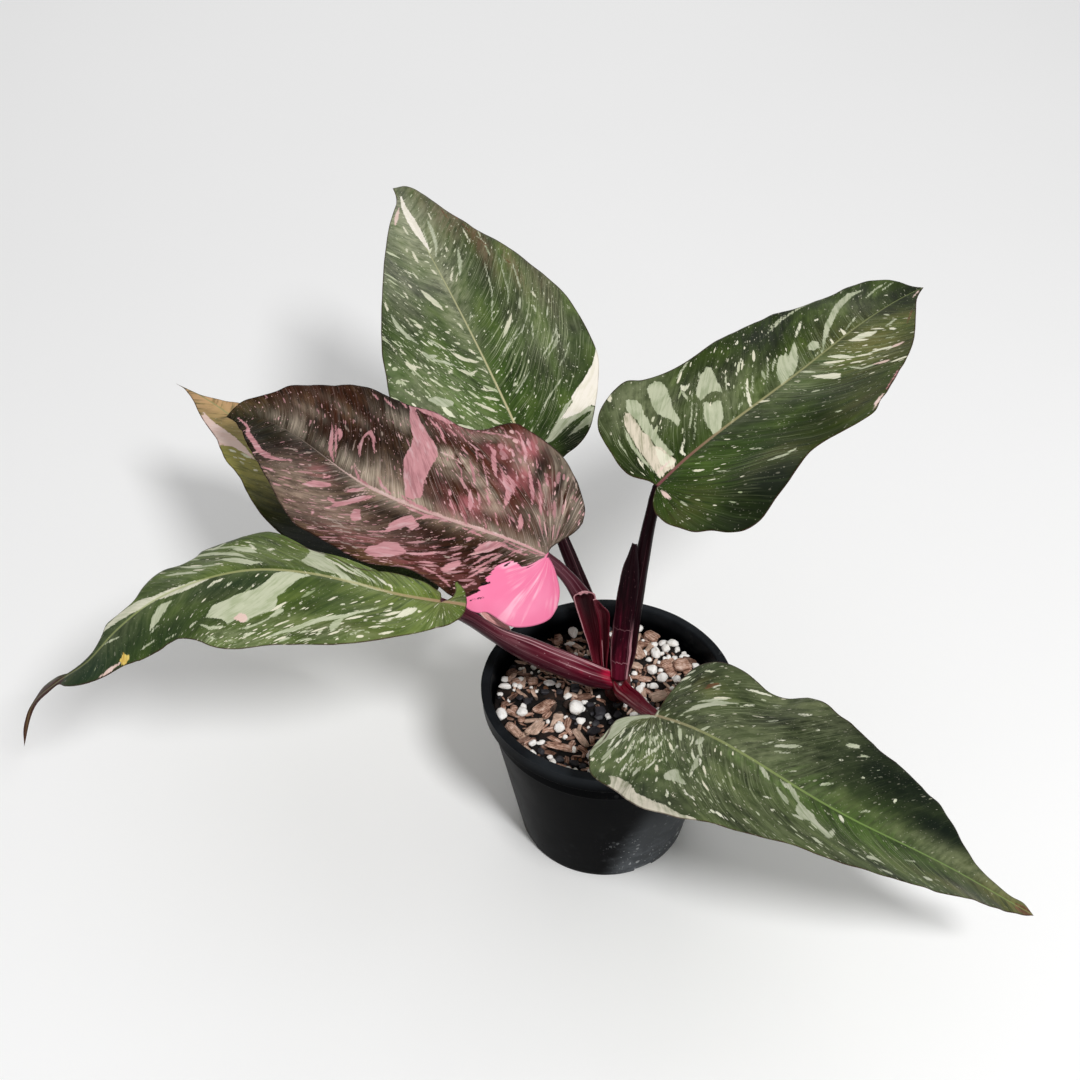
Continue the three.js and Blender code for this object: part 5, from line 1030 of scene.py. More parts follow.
            ["w6",18,-18,30,16,0.3],
            ["w6",95,21,40,6,0.4],
            ["w8",2,16,24,20,0.7],
            ["w8",47,23,34,14,0.5],
            ["w8",34,-21,34,12,0.5],
            ["w8",108,12,34,8,0.6],
            ["w1",4,18,26,26,0.3],
            ["w1",40,30,30,20,0.2],
            ["w1",41,-5,30,16,0.6],
            ["w1",26,7,20,14,0.5],
            ["w1",10,-12,20,10,0.3],
            ["w1",44,-35,30,12,0.5],
            ["w1",38,28,30,18,0.3],
            ["w1",57,-31,24,10,0.3],
            ["w1",71,23,40,14,0.3],
            ["w1",140,-4,34,5,0.5],
            ["w2",91,-23,50,20,0.8],
            ["w2",103,-24,44,14,1],
            ["w2",97,-36,30,12,1],
            ["w2",114,-20,26,10,0.8],
            ["w2",130,-14,34,11,1],
            ["w2",80,-33,24,8,0.7],
            ["w2",52,-23,24,10,0.4],
            ["w2",6,-29,24,10,0.3],
            ["w2",65,-11,24,10,0.3],
            ["w2",87,-21,20,14,0.4],
            ["w3",166,-1,20,8,0.9],
            ["w3",-5,3,10,6,0.3],
            ["w3",135,15,24,4,0.5],
            ["w3",12,-22,6,5,0.4],
            ["w4",93,4,30,14,0.6],
            ["w4",74,-4,26,8,0.5],
            ["w4",45,3,14,2.6,0.8],
            ["w4",65,4,16,2.6,0.8],
            ["w4",87,4,18,2.6,0.8],
            ["w4",110,5,20,2.6,0.7],
            ["w4",13,25,26,16,0.3],
        ],
    ),
    "rear": dict(
        patches=[
            ["q",[[146.2,-8.1],[136.8,-9.5],[129.1,-9.2],[118.7,-8.8],[108.4,-9.4],[96.7,-11.5],[105.4,-12.5],[112.8,-14.2],[115.3,-17],[121.7,-17.9],[134.5,-14.6]]],
        ],
        strokes=[
            ["c",[[111.3,-16.8,0.75],[107.7,-15.3,0.82]]],
            ["c",[[106,-13.7,0.69],[99.8,-12.3,1.03]]],
            ["c",[[102.9,-16.7,0.59],[99.4,-15.2,0.59]]],
            ["c",[[100,-18.1,0.45],[97.1,-17.7,0.51]]],
            ["c",[[91.2,-16.2,0.74],[90,-15.4,0.74]]],
            ["c",[[105.5,-18.3,0.45],[102.7,-18,0.45]]],
            ["c",[[102.3,-4.6,0.52],[95.4,-3.7,0.51]]],
        ],
        washes=[
            ["w3",149,1,40,14,1],
            ["w3",164,-1,30,12,1],
            ["w4",93,-17,26,18,1],
            ["w2",44,-16,34,40,1],
            ["w2",64,-16,22,24,0.9],
            ["w1",99,-16,22,20,1.6],
            ["w1",111,-15,14,12,1],
            ["w1",128,-4,22,8,0.5],
        ],
    ),
}
# ------------------------------------------------------------------ leaves
V0 = 0.2

def half_grid(leaf, side, rows, cols):
    """rows sweep from the sinus edge or the midrib to the margin, as the side veins do"""
    sinus, margin = leaf["sinus" + side], leaf["margin" + side]
    v = np.linspace(0, 1, rows + 1)
    mid = np.stack([leaf["length"] * (v - V0) / (1 - V0), 0 * v], -1)
    sp = np.where((v <= V0 + 1e-9)[:, None], cr(sinus, np.clip(v / V0, 0, 1)), mid)
    m = cr(margin, v ** 0.92)
    ln = np.linalg.norm(m - sp, axis=1)
    back = np.clip((v - V0 * 0.6) / 0.25, 0, 1) * 0.16 * ln
    c = (sp + m) / 2 - np.stack([back, 0 * back], -1)
    t = np.linspace(0, 1, cols + 1)[None, :, None]
    return (1 - t) ** 2 * sp[:, None] + 2 * t * (1 - t) * c[:, None] + t * t * m[:, None]

def vein_coords(s, b, c0=0.62, k=0.017, R0=34.0):
    """va: place across the side veins; vt: distance along them, signed by the half.
    Behind the stalk the veins fan out from the base."""
    ab = np.abs(b); L0 = c0 * ab + k * ab * ab
    p = s - L0
    r = np.hypot(s, ab)
    bb = r.copy()                          # where the first side vein meets this radius
    for _ in range(12):
        f = np.hypot(c0 * bb + k * bb * bb, bb) - r
        d = (bb + (c0 * bb + k * bb * bb) * (c0 + 2 * k * bb)) / np.maximum(np.hypot(c0 * bb + k * bb * bb, bb), 1e-6)
        bb = np.maximum(bb - f / np.maximum(d, 1e-3), 0)
    phi0 = np.arctan2(bb, c0 * bb + k * bb * bb + 1e-9)
    phi = np.arctan2(ab, s)
    fan = -R0 * (phi - phi0)
    va = np.where(p >= 0, p, fan)
    vt = np.where(p >= 0, np.hypot(s - p, ab), r)
    return va, vt * np.where(b < 0, -1, 1)

def stroke_field(strokes, P, taper=True):
    d = np.full(len(P), -30.0)
    for st in strokes:
        S = np.array(st, float); seg = np.hypot(*(S[1:, :2] - S[:-1, :2]).T); cum = np.r_[0, np.cumsum(seg)] / max(seg.sum(), 1e-6)
        for i in range(len(S) - 1):
            a, ab = S[i, :2], S[i + 1, :2] - S[i, :2]; ap = P - a
            t = np.clip((ap @ ab) / max(ab @ ab, 1e-9), 0, 1); q = ap - t[:, None] * ab
            u = cum[i] + (cum[i + 1] - cum[i]) * t
            end = np.minimum(1, 0.4 + 2.4 * np.minimum(u, 1 - u)) if taper else 1.0     # pointed ends
            d = np.maximum(d, (S[i, 2] + (S[i + 1, 2] - S[i, 2]) * t) * end - np.hypot(q[:, 0], q[:, 1]))
    return d

def make_leaf(name, leaf, mark, mats, look):
    """a closed blade: sculpted upper face, ribbed underside, thin margin"""
    rows, cols = look.get("grid", (240, 50))
    pts, index, quads = [], {}, []
    for side, sg in (("L", -1), ("R", 1)):
        g = half_grid(leaf, side, rows, cols)
        ids = np.zeros(g.shape[:2], int)
        for j in range(g.shape[0]):
            for i in range(g.shape[1]):
                p = g[j, i]; key = (round(p[0] * 50), round(p[1] * 50))
                if key not in index:
                    index[key] = len(pts); pts.append((p[0], p[1], sg))
                ids[j, i] = index[key]
        for j in range(g.shape[0] - 1):
            for i in range(g.shape[1] - 1):
                q = [ids[j, i], ids[j, i + 1], ids[j + 1, i + 1], ids[j + 1, i]]
                if sg < 0: q = q[::-1]
                u = []
                for x in q:
                    if x not in u: u.append(x)
                if len(u) >= 3: quads.append(u)
    P3 = np.array(pts); P = P3[:, :2]; s, b = P[:, 0], P[:, 1]; L = leaf["length"]
    lines = [cr(leaf[k + side], np.linspace(0, 1, m)) for side in "LR" for k, m in (("sinus", 25), ("margin", 160))]
    A = np.vstack([o[:-1] for o in lines]); D = np.vstack([o[1:] for o in lines]) - A
    md = np.full(len(P), 1e9)
    for a, d in zip(A, D):
        n2 = max(d @ d, 1e-9); t = np.clip(((P - a) @ d) / n2, 0, 1)
        q = P - a - t[:, None] * d; md = np.minimum(md, np.hypot(q[:, 0], q[:, 1]))
    va, vt = vein_coords(s, b, *look.get("vein", (0.62, 0.017)))
    # wander the veins a little
    wv = look.get("seed", 1)
    va = va + 1.6 * noise2(s / 26.0 + 3, b / 20.0 + 40, wv + 21) * np.clip(np.abs(vt) / 12, 0, 1) + 0.35 * noise2(s / 7.0, b / 6.0, wv + 22) * np.clip(np.abs(vt) / 8, 0, 1)
    base = blade(leaf, s, b); nrm = blade_normal(leaf, s, b)
    avt = np.abs(vt); sd = wv
    sp = look.get("spacing", 7.5); q = look.get("quilt", 0.35)
    side_off = np.where(b < 0, 0.37, 0.0)
    ph = va / sp + side_off
    fr = ph - np.floor(ph); near = np.minimum(fr, 1 - fr) * sp
    e1 = np.clip(avt / 5, 0, 1); e2 = np.clip(md / 7, 0, 1)
    relief = q * (0.5 - 0.5 * np.cos(2 * np.pi * ph)) * e1 * e2
    relief -= look.get("vdepth", 0.2) * np.exp(-(near / 0.8) ** 2) * np.clip(md / 5, 0, 1) * np.clip(avt / 2.5, 0, 1)
    # finer parallel veins between the main ones
    f2 = va / (sp / 4) + 0.3; relief += look.get("fine", 0.012) * np.cos(2 * np.pi * f2) * e1 * np.clip(md / 3, 0, 1)
    taper = np.clip(1.12 - s / L, 0.12, 1)
    on = np.clip((s + 1.0) / 2.0, 0, 1)
    ab = np.abs(b)
    groove = (-0.6 * taper * np.exp(-(ab / (1.3 * taper + 0.3)) ** 2) + 0.2 * taper * np.exp(-((ab - 3.6) / 2.2) ** 2)) * on
    und = look.get("und", 0.7) * noise2(s / 23.0 + 5, b / 17.0 + 9, sd + 11) * np.clip(avt / 12, 0, 1)
    rip = look.get("ripple", 0.5) * noise1(va / 7.5 + 40 * (b > 0), sd + 5) * np.exp(-(md / 4.5) ** 2) * np.clip(avt / 8, 0, 1)
    mid_h = relief + groove + und + rip
    if "extra" in look:
        mid_h = mid_h + look["extra"](s, b, va, vt, md)
    th = 0.20 * np.clip(md / 1.2, 0, 1) ** 0.5 + 0.03      # half thickness, thinning at the margin
    rib = 1.5 * taper * np.exp(-(ab / (1.0 * taper + 0.35)) ** 2) * np.clip((s + 1.5) / 3, 0, 1) * np.clip(md / 2.5, 0, 1) \
        + 0.2 * np.exp(-(near / 0.5) ** 2) * np.clip(md / 8, 0, 1) * np.clip(avt / 2, 0, 1)
    top = base + nrm * (mid_h + th)[:, None]
    low = base + nrm * (mid_h - th - rib)[:, None]
    n = len(P); faces = [list(f) for f in quads] + [[x + n for x in f[::-1]] for f in quads]
    mi = [0] * len(quads) + [1] * len(quads)
    cnt = set()
    for f in quads:
        cnt.update(zip(f, f[1:] + f[:1]))
    for (a, c) in sorted(cnt):
        if (c, a) not in cnt:
            faces.append([c, a, a + n, c + n]); mi.append(0)
    attrs = {"va": va + np.where(b < 0, 300.0, 0.0), "vt": vt, "md": md, "mid": ab / (1.0 + 0 * s), "fs": s / L, "side": near}
    for key in look["marks"]:
        d = np.full(n, -30.0)
        for c, poly in mark["patches"]:
            if c == key: d = np.maximum(d, sdf(poly, P) + 1.8 * np.clip(1 - md / 1.8, 0, 1))
        d = np.maximum(d, stroke_field([st for c, st in mark["strokes"] if c == key], P, key not in "bhwk"))
        attrs["m_" + key] = np.clip(d, -30, 30)
    for key in look["washes"]:
        d = np.zeros(n)
        for f, s0, b0, rs, rb, amp in mark["washes"]:
            if f == key: d = np.maximum(d, amp * np.exp(-((s - s0) / rs) ** 2 - ((b - b0) / rb) ** 2))
        attrs[key] = d
    attrs = {k: np.r_[v, v] for k, v in attrs.items()}
    V = np.vstack([top, low]) * MM
    f0 = np.array([f[:3] for f in quads[:4000:37]])
    c = np.cross(V[f0[:, 1]] - V[f0[:, 0]], V[f0[:, 2]] - V[f0[:, 0]])
    if (c * nrm[f0[:, 0]]).sum() < 0:
        faces = [f[::-1] for f in faces]
    ob = new_mesh(name, V, faces, mats, attrs, True, mi)
    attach(ob, "root"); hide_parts("leaf_" + name.split("_")[1])
    return ob

# ------------------------------------------------------------------ leaf materials
CREAM, SAGE, PINK, HOT, BLUSH, WHITE = srgb("dcd8c0"), srgb("b3b899"), srgb("c88b90"), srgb("f592b4"), srgb("dfc6bb"), srgb("f3ece0")

def leaf_material(name, pal, marks, washes, under=False, fleck=0.35, fleck_col=CREAM, streak=0.35, fseed=0.0, rough=0.36, gloss=0.26, dens=0.0):
    """pal: dark, mid, light ground; veil (partly painted sheen), warm and lively tints; painted sheen and painted
    shade colours; midrib; margin
    """
    M = Mat(name)
    va, vt, md, mid, fs = (M.attr(k) for k in ("va", "vt", "md", "mid", "fs"))
    avt = M.absv(vt)
    V = M.vec(va, vt, 0.0)
    def vn(sa, st, detail=2.0, z=0.0, rough=0.5):
        return M.noise(M.vec(M.mul(va, sa), M.mul(vt, st), z + fseed), 1.0, detail, rough)
    # ground: broad cloud, streaks along the veins, hair-fine lines
    cloud = vn(0.05, 0.05, 3, 3.0)
    n1 = vn(0.55, 0.05, 3, 11.0, 0.6)
    n2 = vn(2.3, 0.10, 2, 19.0)
    n3 = vn(0.30, 0.16, 4, 23.0, 0.62)     # smoky mottling
    comb, mott = pal["comb"], pal["mott"]
    g = M.add(M.add(M.mul(cloud, 1.45 - comb - mott), M.mul(n3, mott)), M.add(M.mul(n1, comb), M.mul(n2, comb * 0.55)))
    ground = M.ramp(M.step(g, pal["span"][0], pal["span"][1], kind="LINEAR"), [(0.0, pal["dark"]), (0.5, pal["mid"]), (1.0, pal["light"])])
    # lively green tint; along the front leaf's midrib it also paints the ridge's highlight
    if "w4" in washes:
        f = M.mul(M.attr("w4"), M.step(n1, 0.25, 0.75))
        ground = M.mix(f, ground, pal["lively"])
    if "w3" in washes:
        f = M.math("MULTIPLY", M.attr("w3"), M.step(M.add(M.mul(vn(0.5, 0.08, 3, 27.0), 0.5), M.mul(n3, 0.5)), 0.30, 0.58), clamp=True)
        ground = M.mix(f, ground, pal["warm"])
    # painted sheen: the w5 wash lays pale soft highlights on the blade
    if "w5" in washes:
        f = M.math("MULTIPLY", M.attr("w5"), M.add(M.mul(M.step(vn(1.5, 0.035, 3, 29.0), 0.44, 0.62), pal["glow_comb"]), M.mul(M.step(vn(0.22, 0.07, 3, 47.0, 0.6), 0.30, 0.60), 1 - pal["glow_comb"])), clamp=True)
        ground = M.mix(f, ground, pal["glow"])
    if "w7" in washes:
        f = M.math("MULTIPLY", M.attr("w7"), M.step(vn(0.34, 0.10, 3, 51.0, 0.6), 0.36, 0.58), clamp=True)
        ground = M.mix(f, ground, pal["rosy"])
    # painted shade: the w2 wash darkens blade parts that lay in shadow or turned from the light, with some darker
    # green
    if "w2" in washes:
        f = M.math("MULTIPLY", M.attr("w2"), M.step(cloud, 0.08, 0.55), clamp=True)
        ground = M.mix(f, ground, pal["deep"])
    # veil: a pale sage overlay; on the pink and front leaves it also paints broad sheen
    if "w1" in washes:
        f = M.math("MULTIPLY", M.attr("w1"), M.step(M.add(M.mul(n3, 0.72), M.mul(n1, 0.28)), 0.34, 0.66, 0.25, 1.0), clamp=True)
        ground = M.mix(f, ground, pal["veil"])
    # side veins: a thin paler line in each groove
    side = M.attr("side")
    ground = M.mix(M.mul(M.step(side, 0.75, 0.15), pal.get("vein_amt", 0.35)), ground, pal["vein"])
    # hair-fine pale lines
    hl = M.mul(M.step(vn(3.1, 0.06, 1, 33.0), 0.60, 0.72), M.step(vn(0.12, 0.06, 2, 41.0), 0.42, 0.65))
    ground = M.mix(M.mul(hl, streak), ground, pal["hair"])
    if "w8" in washes:                    # bundles of pale hairs; on the pink leaf's right lobe also painted sheen streaks
        f = M.math("MULTIPLY", M.attr("w8"), M.mul(M.step(vn(2.0, 0.035, 2, 35.0), 0.53, 0.66), M.step(vn(0.25, 0.04, 2, 43.0), 0.38, 0.55)), clamp=True)
        ground = M.mix(f, ground, pal["hair"])
    # flecks, drawn out along the veins, several sizes
    def flecks(sa, st, lo, hi, z, dens):
        d, c = M.voronoi(M.vec(M.mul(M.add(va, M.mul(vn(0.5, 0.3, 1, z + 5), 1.2)), sa), M.mul(vt, st), z + fseed))
        r = M.split(c)
        size = M.add(M.mul(r[0], hi - lo), lo)
        keep = M.step(r[1], dens[0], dens[1])
        return M.mul(M.step(M.sub(size, d), -0.035, 0.035), keep)
    area = M.step(vn(0.06, 0.05, 2, 61.0), 0.38, 0.62)
    f1 = flecks(0.34, 0.16, 0.02, 0.20, 70.0, (0.52 - dens, 0.54 - dens))
    f2 = flecks(0.62, 0.36, 0.03, 0.24, 80.0, (0.60 - dens, 0.62 - dens))
    f3 = flecks(0.75, 0.12, 0.02, 0.12, 90.0, (0.58, 0.60))
    f4 = flecks(1.5, 0.9, 0.05, 0.26, 95.0, (0.70, 0.72))
    fl = M.mx(M.mx(M.mul(f1, area), M.mul(f2, M.step(vn(0.1, 0.1, 2, 65.0), 0.36, 0.55))), M.mx(M.mul(f3, M.mul(area, 0.8)), M.mul(f4, 0.7)))
    # flecks fade inside the painted shade
    if "w2" in washes: fl = M.mul(fl, M.sub(1.0, M.math("MULTIPLY", M.attr("w2"), 0.7, clamp=True)))
    ground = M.mix(M.mul(fl, fleck), ground, fleck_col)
    if "w6" in washes:                    # crowded, ragged flecks where the leaf is strongly marked
        rag = M.mul(M.sub(M.noise(M.vec(M.mul(va, 3.2), M.mul(vt, 1.1), 71.0 + fseed), 1.0, 2, 0.6), 0.5), 0.22)
        for sa, st, hi, z in ((0.30, 0.085, 0.37, 170.0), (0.66, 0.26, 0.38, 180.0)):
            d, c = M.voronoi(M.vec(M.mul(M.add(va, M.mul(vn(0.45, 0.12, 2, z + 5), 1.8)), sa), M.mul(vt, st), z + fseed + pal["w6z"])); r = M.split(c)
            keep = M.step(M.add(r[1], M.mul(M.attr("w6"), 0.72)), 0.98, 1.0)
            f = M.mul(M.step(M.sub(M.add(M.mul(r[0], hi - 0.10), M.add(rag, 0.10)), d), -0.03, 0.03), keep)
            ground = M.mix(M.mul(f, M.step(r[2], 0.0, 0.7, 0.55, 1.0, kind="LINEAR")), ground, M.mix(M.step(r[2], 0.35, 0.6), pal.get("fleck2", srgb("a9b48c")), fleck_col))
    # painted sectors: signed distance with an edge frayed along the veins
    fray = M.add(M.mul(M.sub(M.noise(M.vec(M.mul(va, 0.9), M.mul(vt, 0.16), 99.0 + fseed), 1.0, 2, 0.6), 0.5), 1.7), M.mul(M.sub(M.noise(M.vec(M.mul(va, 2.6), M.mul(vt, 0.7), 93.0 + fseed), 1.0, 3, 0.7), 0.5), 1.5))
    pale = None
    tint = M.add(M.mul(vn(1.4, 0.05, 2, 107.0), 0.35), M.mul(vn(0.26, 0.11, 4, 109.0, 0.6), 0.65))
    cols = {"c": (pal.get("cream", CREAM), pal.get("cream2", srgb("bfc4a6")), 0.93), "s": (pal.get("sage", SAGE), pal.get("sage2", srgb("8f9a78")), 0.92), "p": (pal.get("pink", PINK), pal.get("pink2", srgb("a5686a")), 0.95),
            "h": (pal.get("hot", HOT), pal.get("hot2", srgb("f07ea5")), 1.0), "q": (pal.get("blush", BLUSH), pal.get("blush2", srgb("d9b9ad")), 1.0), "k": (pal["deep"], pal["dark"], 0.95),
            "b": (pal.get("burnt", srgb("5c3d2a")), pal.get("burnt2", srgb("8a6a48")), 0.9), "y": (srgb("e7cf72"), srgb("b98a3c"), 1.0), "w": (WHITE, srgb("e2dcc8"), 1.0), "e": (pal.get("ecru", srgb("d6cdb8")), pal.get("ecru2", srgb("9a947c")), 0.95)}
    for k in ("s", "e", "c", "w", "q", "p", "h", "k", "y", "b"):
        if k in marks:
            ca, cb, op = cols[k]
            d = M.add(M.attr("m_" + k), M.mul(fray, 0.9 if k not in "hkw" else 0.7))
            if k == "h":                  # long teeth along the veins where the pink sector meets the dark
                d = M.add(d, M.mul(M.sub(M.noise(M.vec(M.mul(va, 0.42), M.mul(vt, 0.035), 201.0), 1.0, 2, 0.6), 0.5), M.step(md, 2.0, 9.0, 0.0, 5.0)))
            f = M.mul(M.step(d, -0.18, 0.18), op)
            if k in "hw": pale = f if pale is None else M.mx(pale, f)
            if k == "h":
                bl = M.step(vn(0.035, 0.03, 2, 113.0), 0.35, 0.65)
                col = M.mix(bl, ca, cb)
                # painted highlight: pale pink arcs along the veins
                col = M.mix(M.mul(M.mul(M.step(vn(0.40, 0.035, 3, 121.0), 0.46, 0.66), M.step(vn(0.07, 0.06, 2, 123.0), 0.40, 0.62)), 0.75), col, srgb("ffc9da"))
                col = M.mix(M.mul(M.step(md, 8.0, 0.3), 0.42), col, srgb("e2668f"))
            else:
                col = M.mix(M.mul(M.step(tint, 0.43, 0.62), 0.75), ca, cb)
                # paler mottling in pink and blush marks: partly their own colour, partly painted highlight
                if k in "pq": col = M.mix(M.mul(M.step(vn(0.33, 0.12, 3, 111.0), 0.52, 0.70), 0.5), col, M.mix(0.45, ca, (0.9, 0.8, 0.8)))
                if k in "es": col = M.mix(M.mul(M.step(vn(0.9, 0.03, 3, 127.0), 0.50, 0.72), 0.34 if k == "e" else 0.14), col, M.mix(0.5, pal["mid"], cb))
            ground = M.mix(f, ground, col)
    # midrib and margin
    w = M.sub(pal.get("rib_w", 0.70), M.mul(fs, 0.5))
    rib = M.step(M.sub(w, mid), -0.35, 0.15)
    ribc = M.ramp(fs, pal["rib"])
    ribf = M.mul(rib, pal.get("rib_amt", 0.65))
    if pale is not None: ribf = M.mul(ribf, M.sub(1.0, M.mul(pale, 0.85)))
    ground = M.mix(ribf, ground, ribc)
    edge = M.mul(M.step(md, 0.62, 0.2), M.step(vn(0.3, 0.1, 2, 131.0), 0.3, 0.6, 0.35, 0.85))
    if pale is not None: edge = M.mul(edge, M.sub(1.0, M.mul(pale, 0.6)))
    ground = M.mix(edge, ground, pal["edge"])
    if under:
        ground = M.mix(0.62, ground, pal["under"])
        ground = M.mix(M.mul(rib, 0.8), ground, pal["under_rib"])
    # surface: cells and hair-fine veins
    cells = M.noise(M.coord("Object"), 1400.0, 2, 0.6)
    grain = M.add(M.mul(n2, 0.6), M.mul(cells, 0.4))
    r = M.step(M.add(M.mul(cloud, 0.5), M.mul(cells, 0.5)), 0.3, 0.7, rough - 0.07, rough + 0.09, kind="LINEAR")
    return M.finish(ground, r, M.bump(grain, pal["bump"], 0.00012), gloss)

def palette(**kw):
    p = dict(dark=srgb("1c290d"), mid=srgb("344517"), light=srgb("536529"), lively=srgb("567a2b"), warm=srgb("6f6c38"), deep=srgb("141c0e"), veil=srgb("8d9470"), glow=srgb("9aa07c"),
             vein=srgb("56693c"), vein_amt=0.09, comb=0.17, mott=0.23, span=(0.61, 1.08), glow_comb=0.68, bump=0.20, w6z=0.0, rosy=srgb("b0666b"), hair=srgb("a3ad84"), rib=[(0.0, srgb("a89a74")), (0.4, srgb("aeb083")), (1.0, srgb("7f8c58"))], edge=srgb("3c241e"),
             under=srgb("8a8a68"), under_rib=srgb("7a3038"))
    p.update(kw); return p

# ------------------------------------------------------------------ petioles, sheaths and stem
PETIOLES = {
    "right": dict(path=[[5, 6.5, 76], [7.3, 8, 94.5], [9, 8, 116.3], [11.3, 8.5, 137.9], [13.5, 9, 159.6], [16.5, 9.7, 180.8]],
                  size=[[6, 5], [8.5, 6], [8, 6], [6.2, 5.4], [5.2, 4.8], [4.4, 4.2]], side=[0.96, -0.28, 0]),
    "left": dict(path=[[4.5, 5, 78.5], [-7.9, 0, 88], [-20.7, -4, 98.5], [-33.1, -8, 109.5], [-45.8, -13.8, 123.1], [-56.5, -17.9, 136.0], [-68.2, -22.2, 148.0]],
                 size=[[8, 6], [10.2, 6.6], [11, 6.6], [10.2, 6.2], [6.9, 5.2], [5.5, 4.6], [4.6, 4.2]], side=[0.25, 0.75, 0.6]),
    "pink": dict(path=[[2.5, 7.5, 80], [-2.8, 9.5, 92.9], [-5.6, 10.5, 104.8], [-9.6, 12, 116], [-14.8, 13.6, 125.4], [-20.2, 15, 132.4], [-26.9, 16.3, 139.0]],
                 size=[[6, 5], [8, 5], [9.6, 5], [8.6, 5], [6.4, 4.8], [5, 4.4], [4.4, 4]], side=[0.92, 0.4, 0]),
    "front": dict(path=[[5, 4, 78], [6.8, -7, 84], [9.8, -17, 90.4], [12.7, -28, 97], [17.0, -39.0, 103.0]],
                  size=[[6.6, 5.4], [8.4, 5.4], [8, 5], [6.6, 4.6], [5, 4.2]], side=[1, 0.3, 0], open=1.6, lip=0.26),
    "back": dict(path=[[3, 12, 79], [-4, 26, 91], [-11.4, 40, 103.4], [-19, 54, 115.6], [-26.3, 68, 127.4], [-34.1, 82.4, 139.0]],
                 size=[[6, 5], [7, 5], [6.6, 5], [5.8, 4.8], [5, 4.4], [4.2, 4]], side=[0.9, 0.44, 0]),
    "rear": dict(path=[[0.4, 11.5, 78.4], [-12, 11.4, 79.4], [-25, 13.4, 82.4], [-38, 16.8, 88.2], [-50, 22, 94.2], [-63, 35.5, 98.4], [-80.4, 51.3, 102.8]],
                 size=[[5.4, 4.4], [5.6, 4.4], [5.6, 4.4], [5.8, 4.6], [5.2, 4.4], [4.6, 4], [4, 3.6]], side=[0.45, 0.9, 0]),
}
SHEATHS = {
    "right": dict(path=[[4.2, 0.6, 84], [4.4, 2, 100], [5.4, 3, 120], [6.7, 3.6, 139], [8.0, 4.2, 156]], width=[7, 8.8, 8.4, 7.4, 2.0], side=[0.96, -0.28, 0], cup=1.5),
    "left": dict(path=[[-40.8, -8.8, 118.9], [-43.4, -9.6, 122.6], [-46.7, -10.8, 127.0], [-50.0, -12.0, 131.2], [-52.9, -13.4, 134.9]], width=[1.4, 4.6, 5.4, 4.6, 0.8], side=[0.3, 0.95, 0.1], cup=0.8),
}

def path_frames(path, side, n):
    x = np.linspace(0, 1, n)
    P = cr(path, x); T = unit(cr(path, x, True)); S0 = np.asarray(side, float)
    S = unit(S0 - (T @ S0)[:, None] * T); U = np.cross(T, S)
    U = U * np.sign(U[:, 2:3].mean() + 1e-9) if abs(U[:, 2].mean()) > 0.12 else U
    return x, P, T, S, U

def rings_mesh(R):
    """R: (rings, around, 3) closed tube with capped ends"""
    n, m = R.shape[:2]
    V = [tuple(p) for p in R.reshape(-1, 3)]; F = []
    for j in range(n - 1):
        for i in range(m):
            a, b = j * m + i, j * m + (i + 1) % m
            F.append((a, b, b + m, a + m))
    for j, flip in ((0, True), (n - 1, False)):
        V.append(tuple(R[j].mean(0))); c = len(V) - 1
        for i in range(m):
            a, b = j * m + i, j * m + (i + 1) % m
            F.append((b, a, c) if flip else (a, b, c))
    return V, F

def outward(V, F):
    V = np.asarray(V, float); vol = 0.0
    for f in F:
        a = V[f[0]]
        for i in range(1, len(f) - 1):
            vol += np.dot(a, np.cross(V[f[i]], V[f[i + 1]]))
    return F if vol > 0 else [tuple(f[::-1]) for f in F]

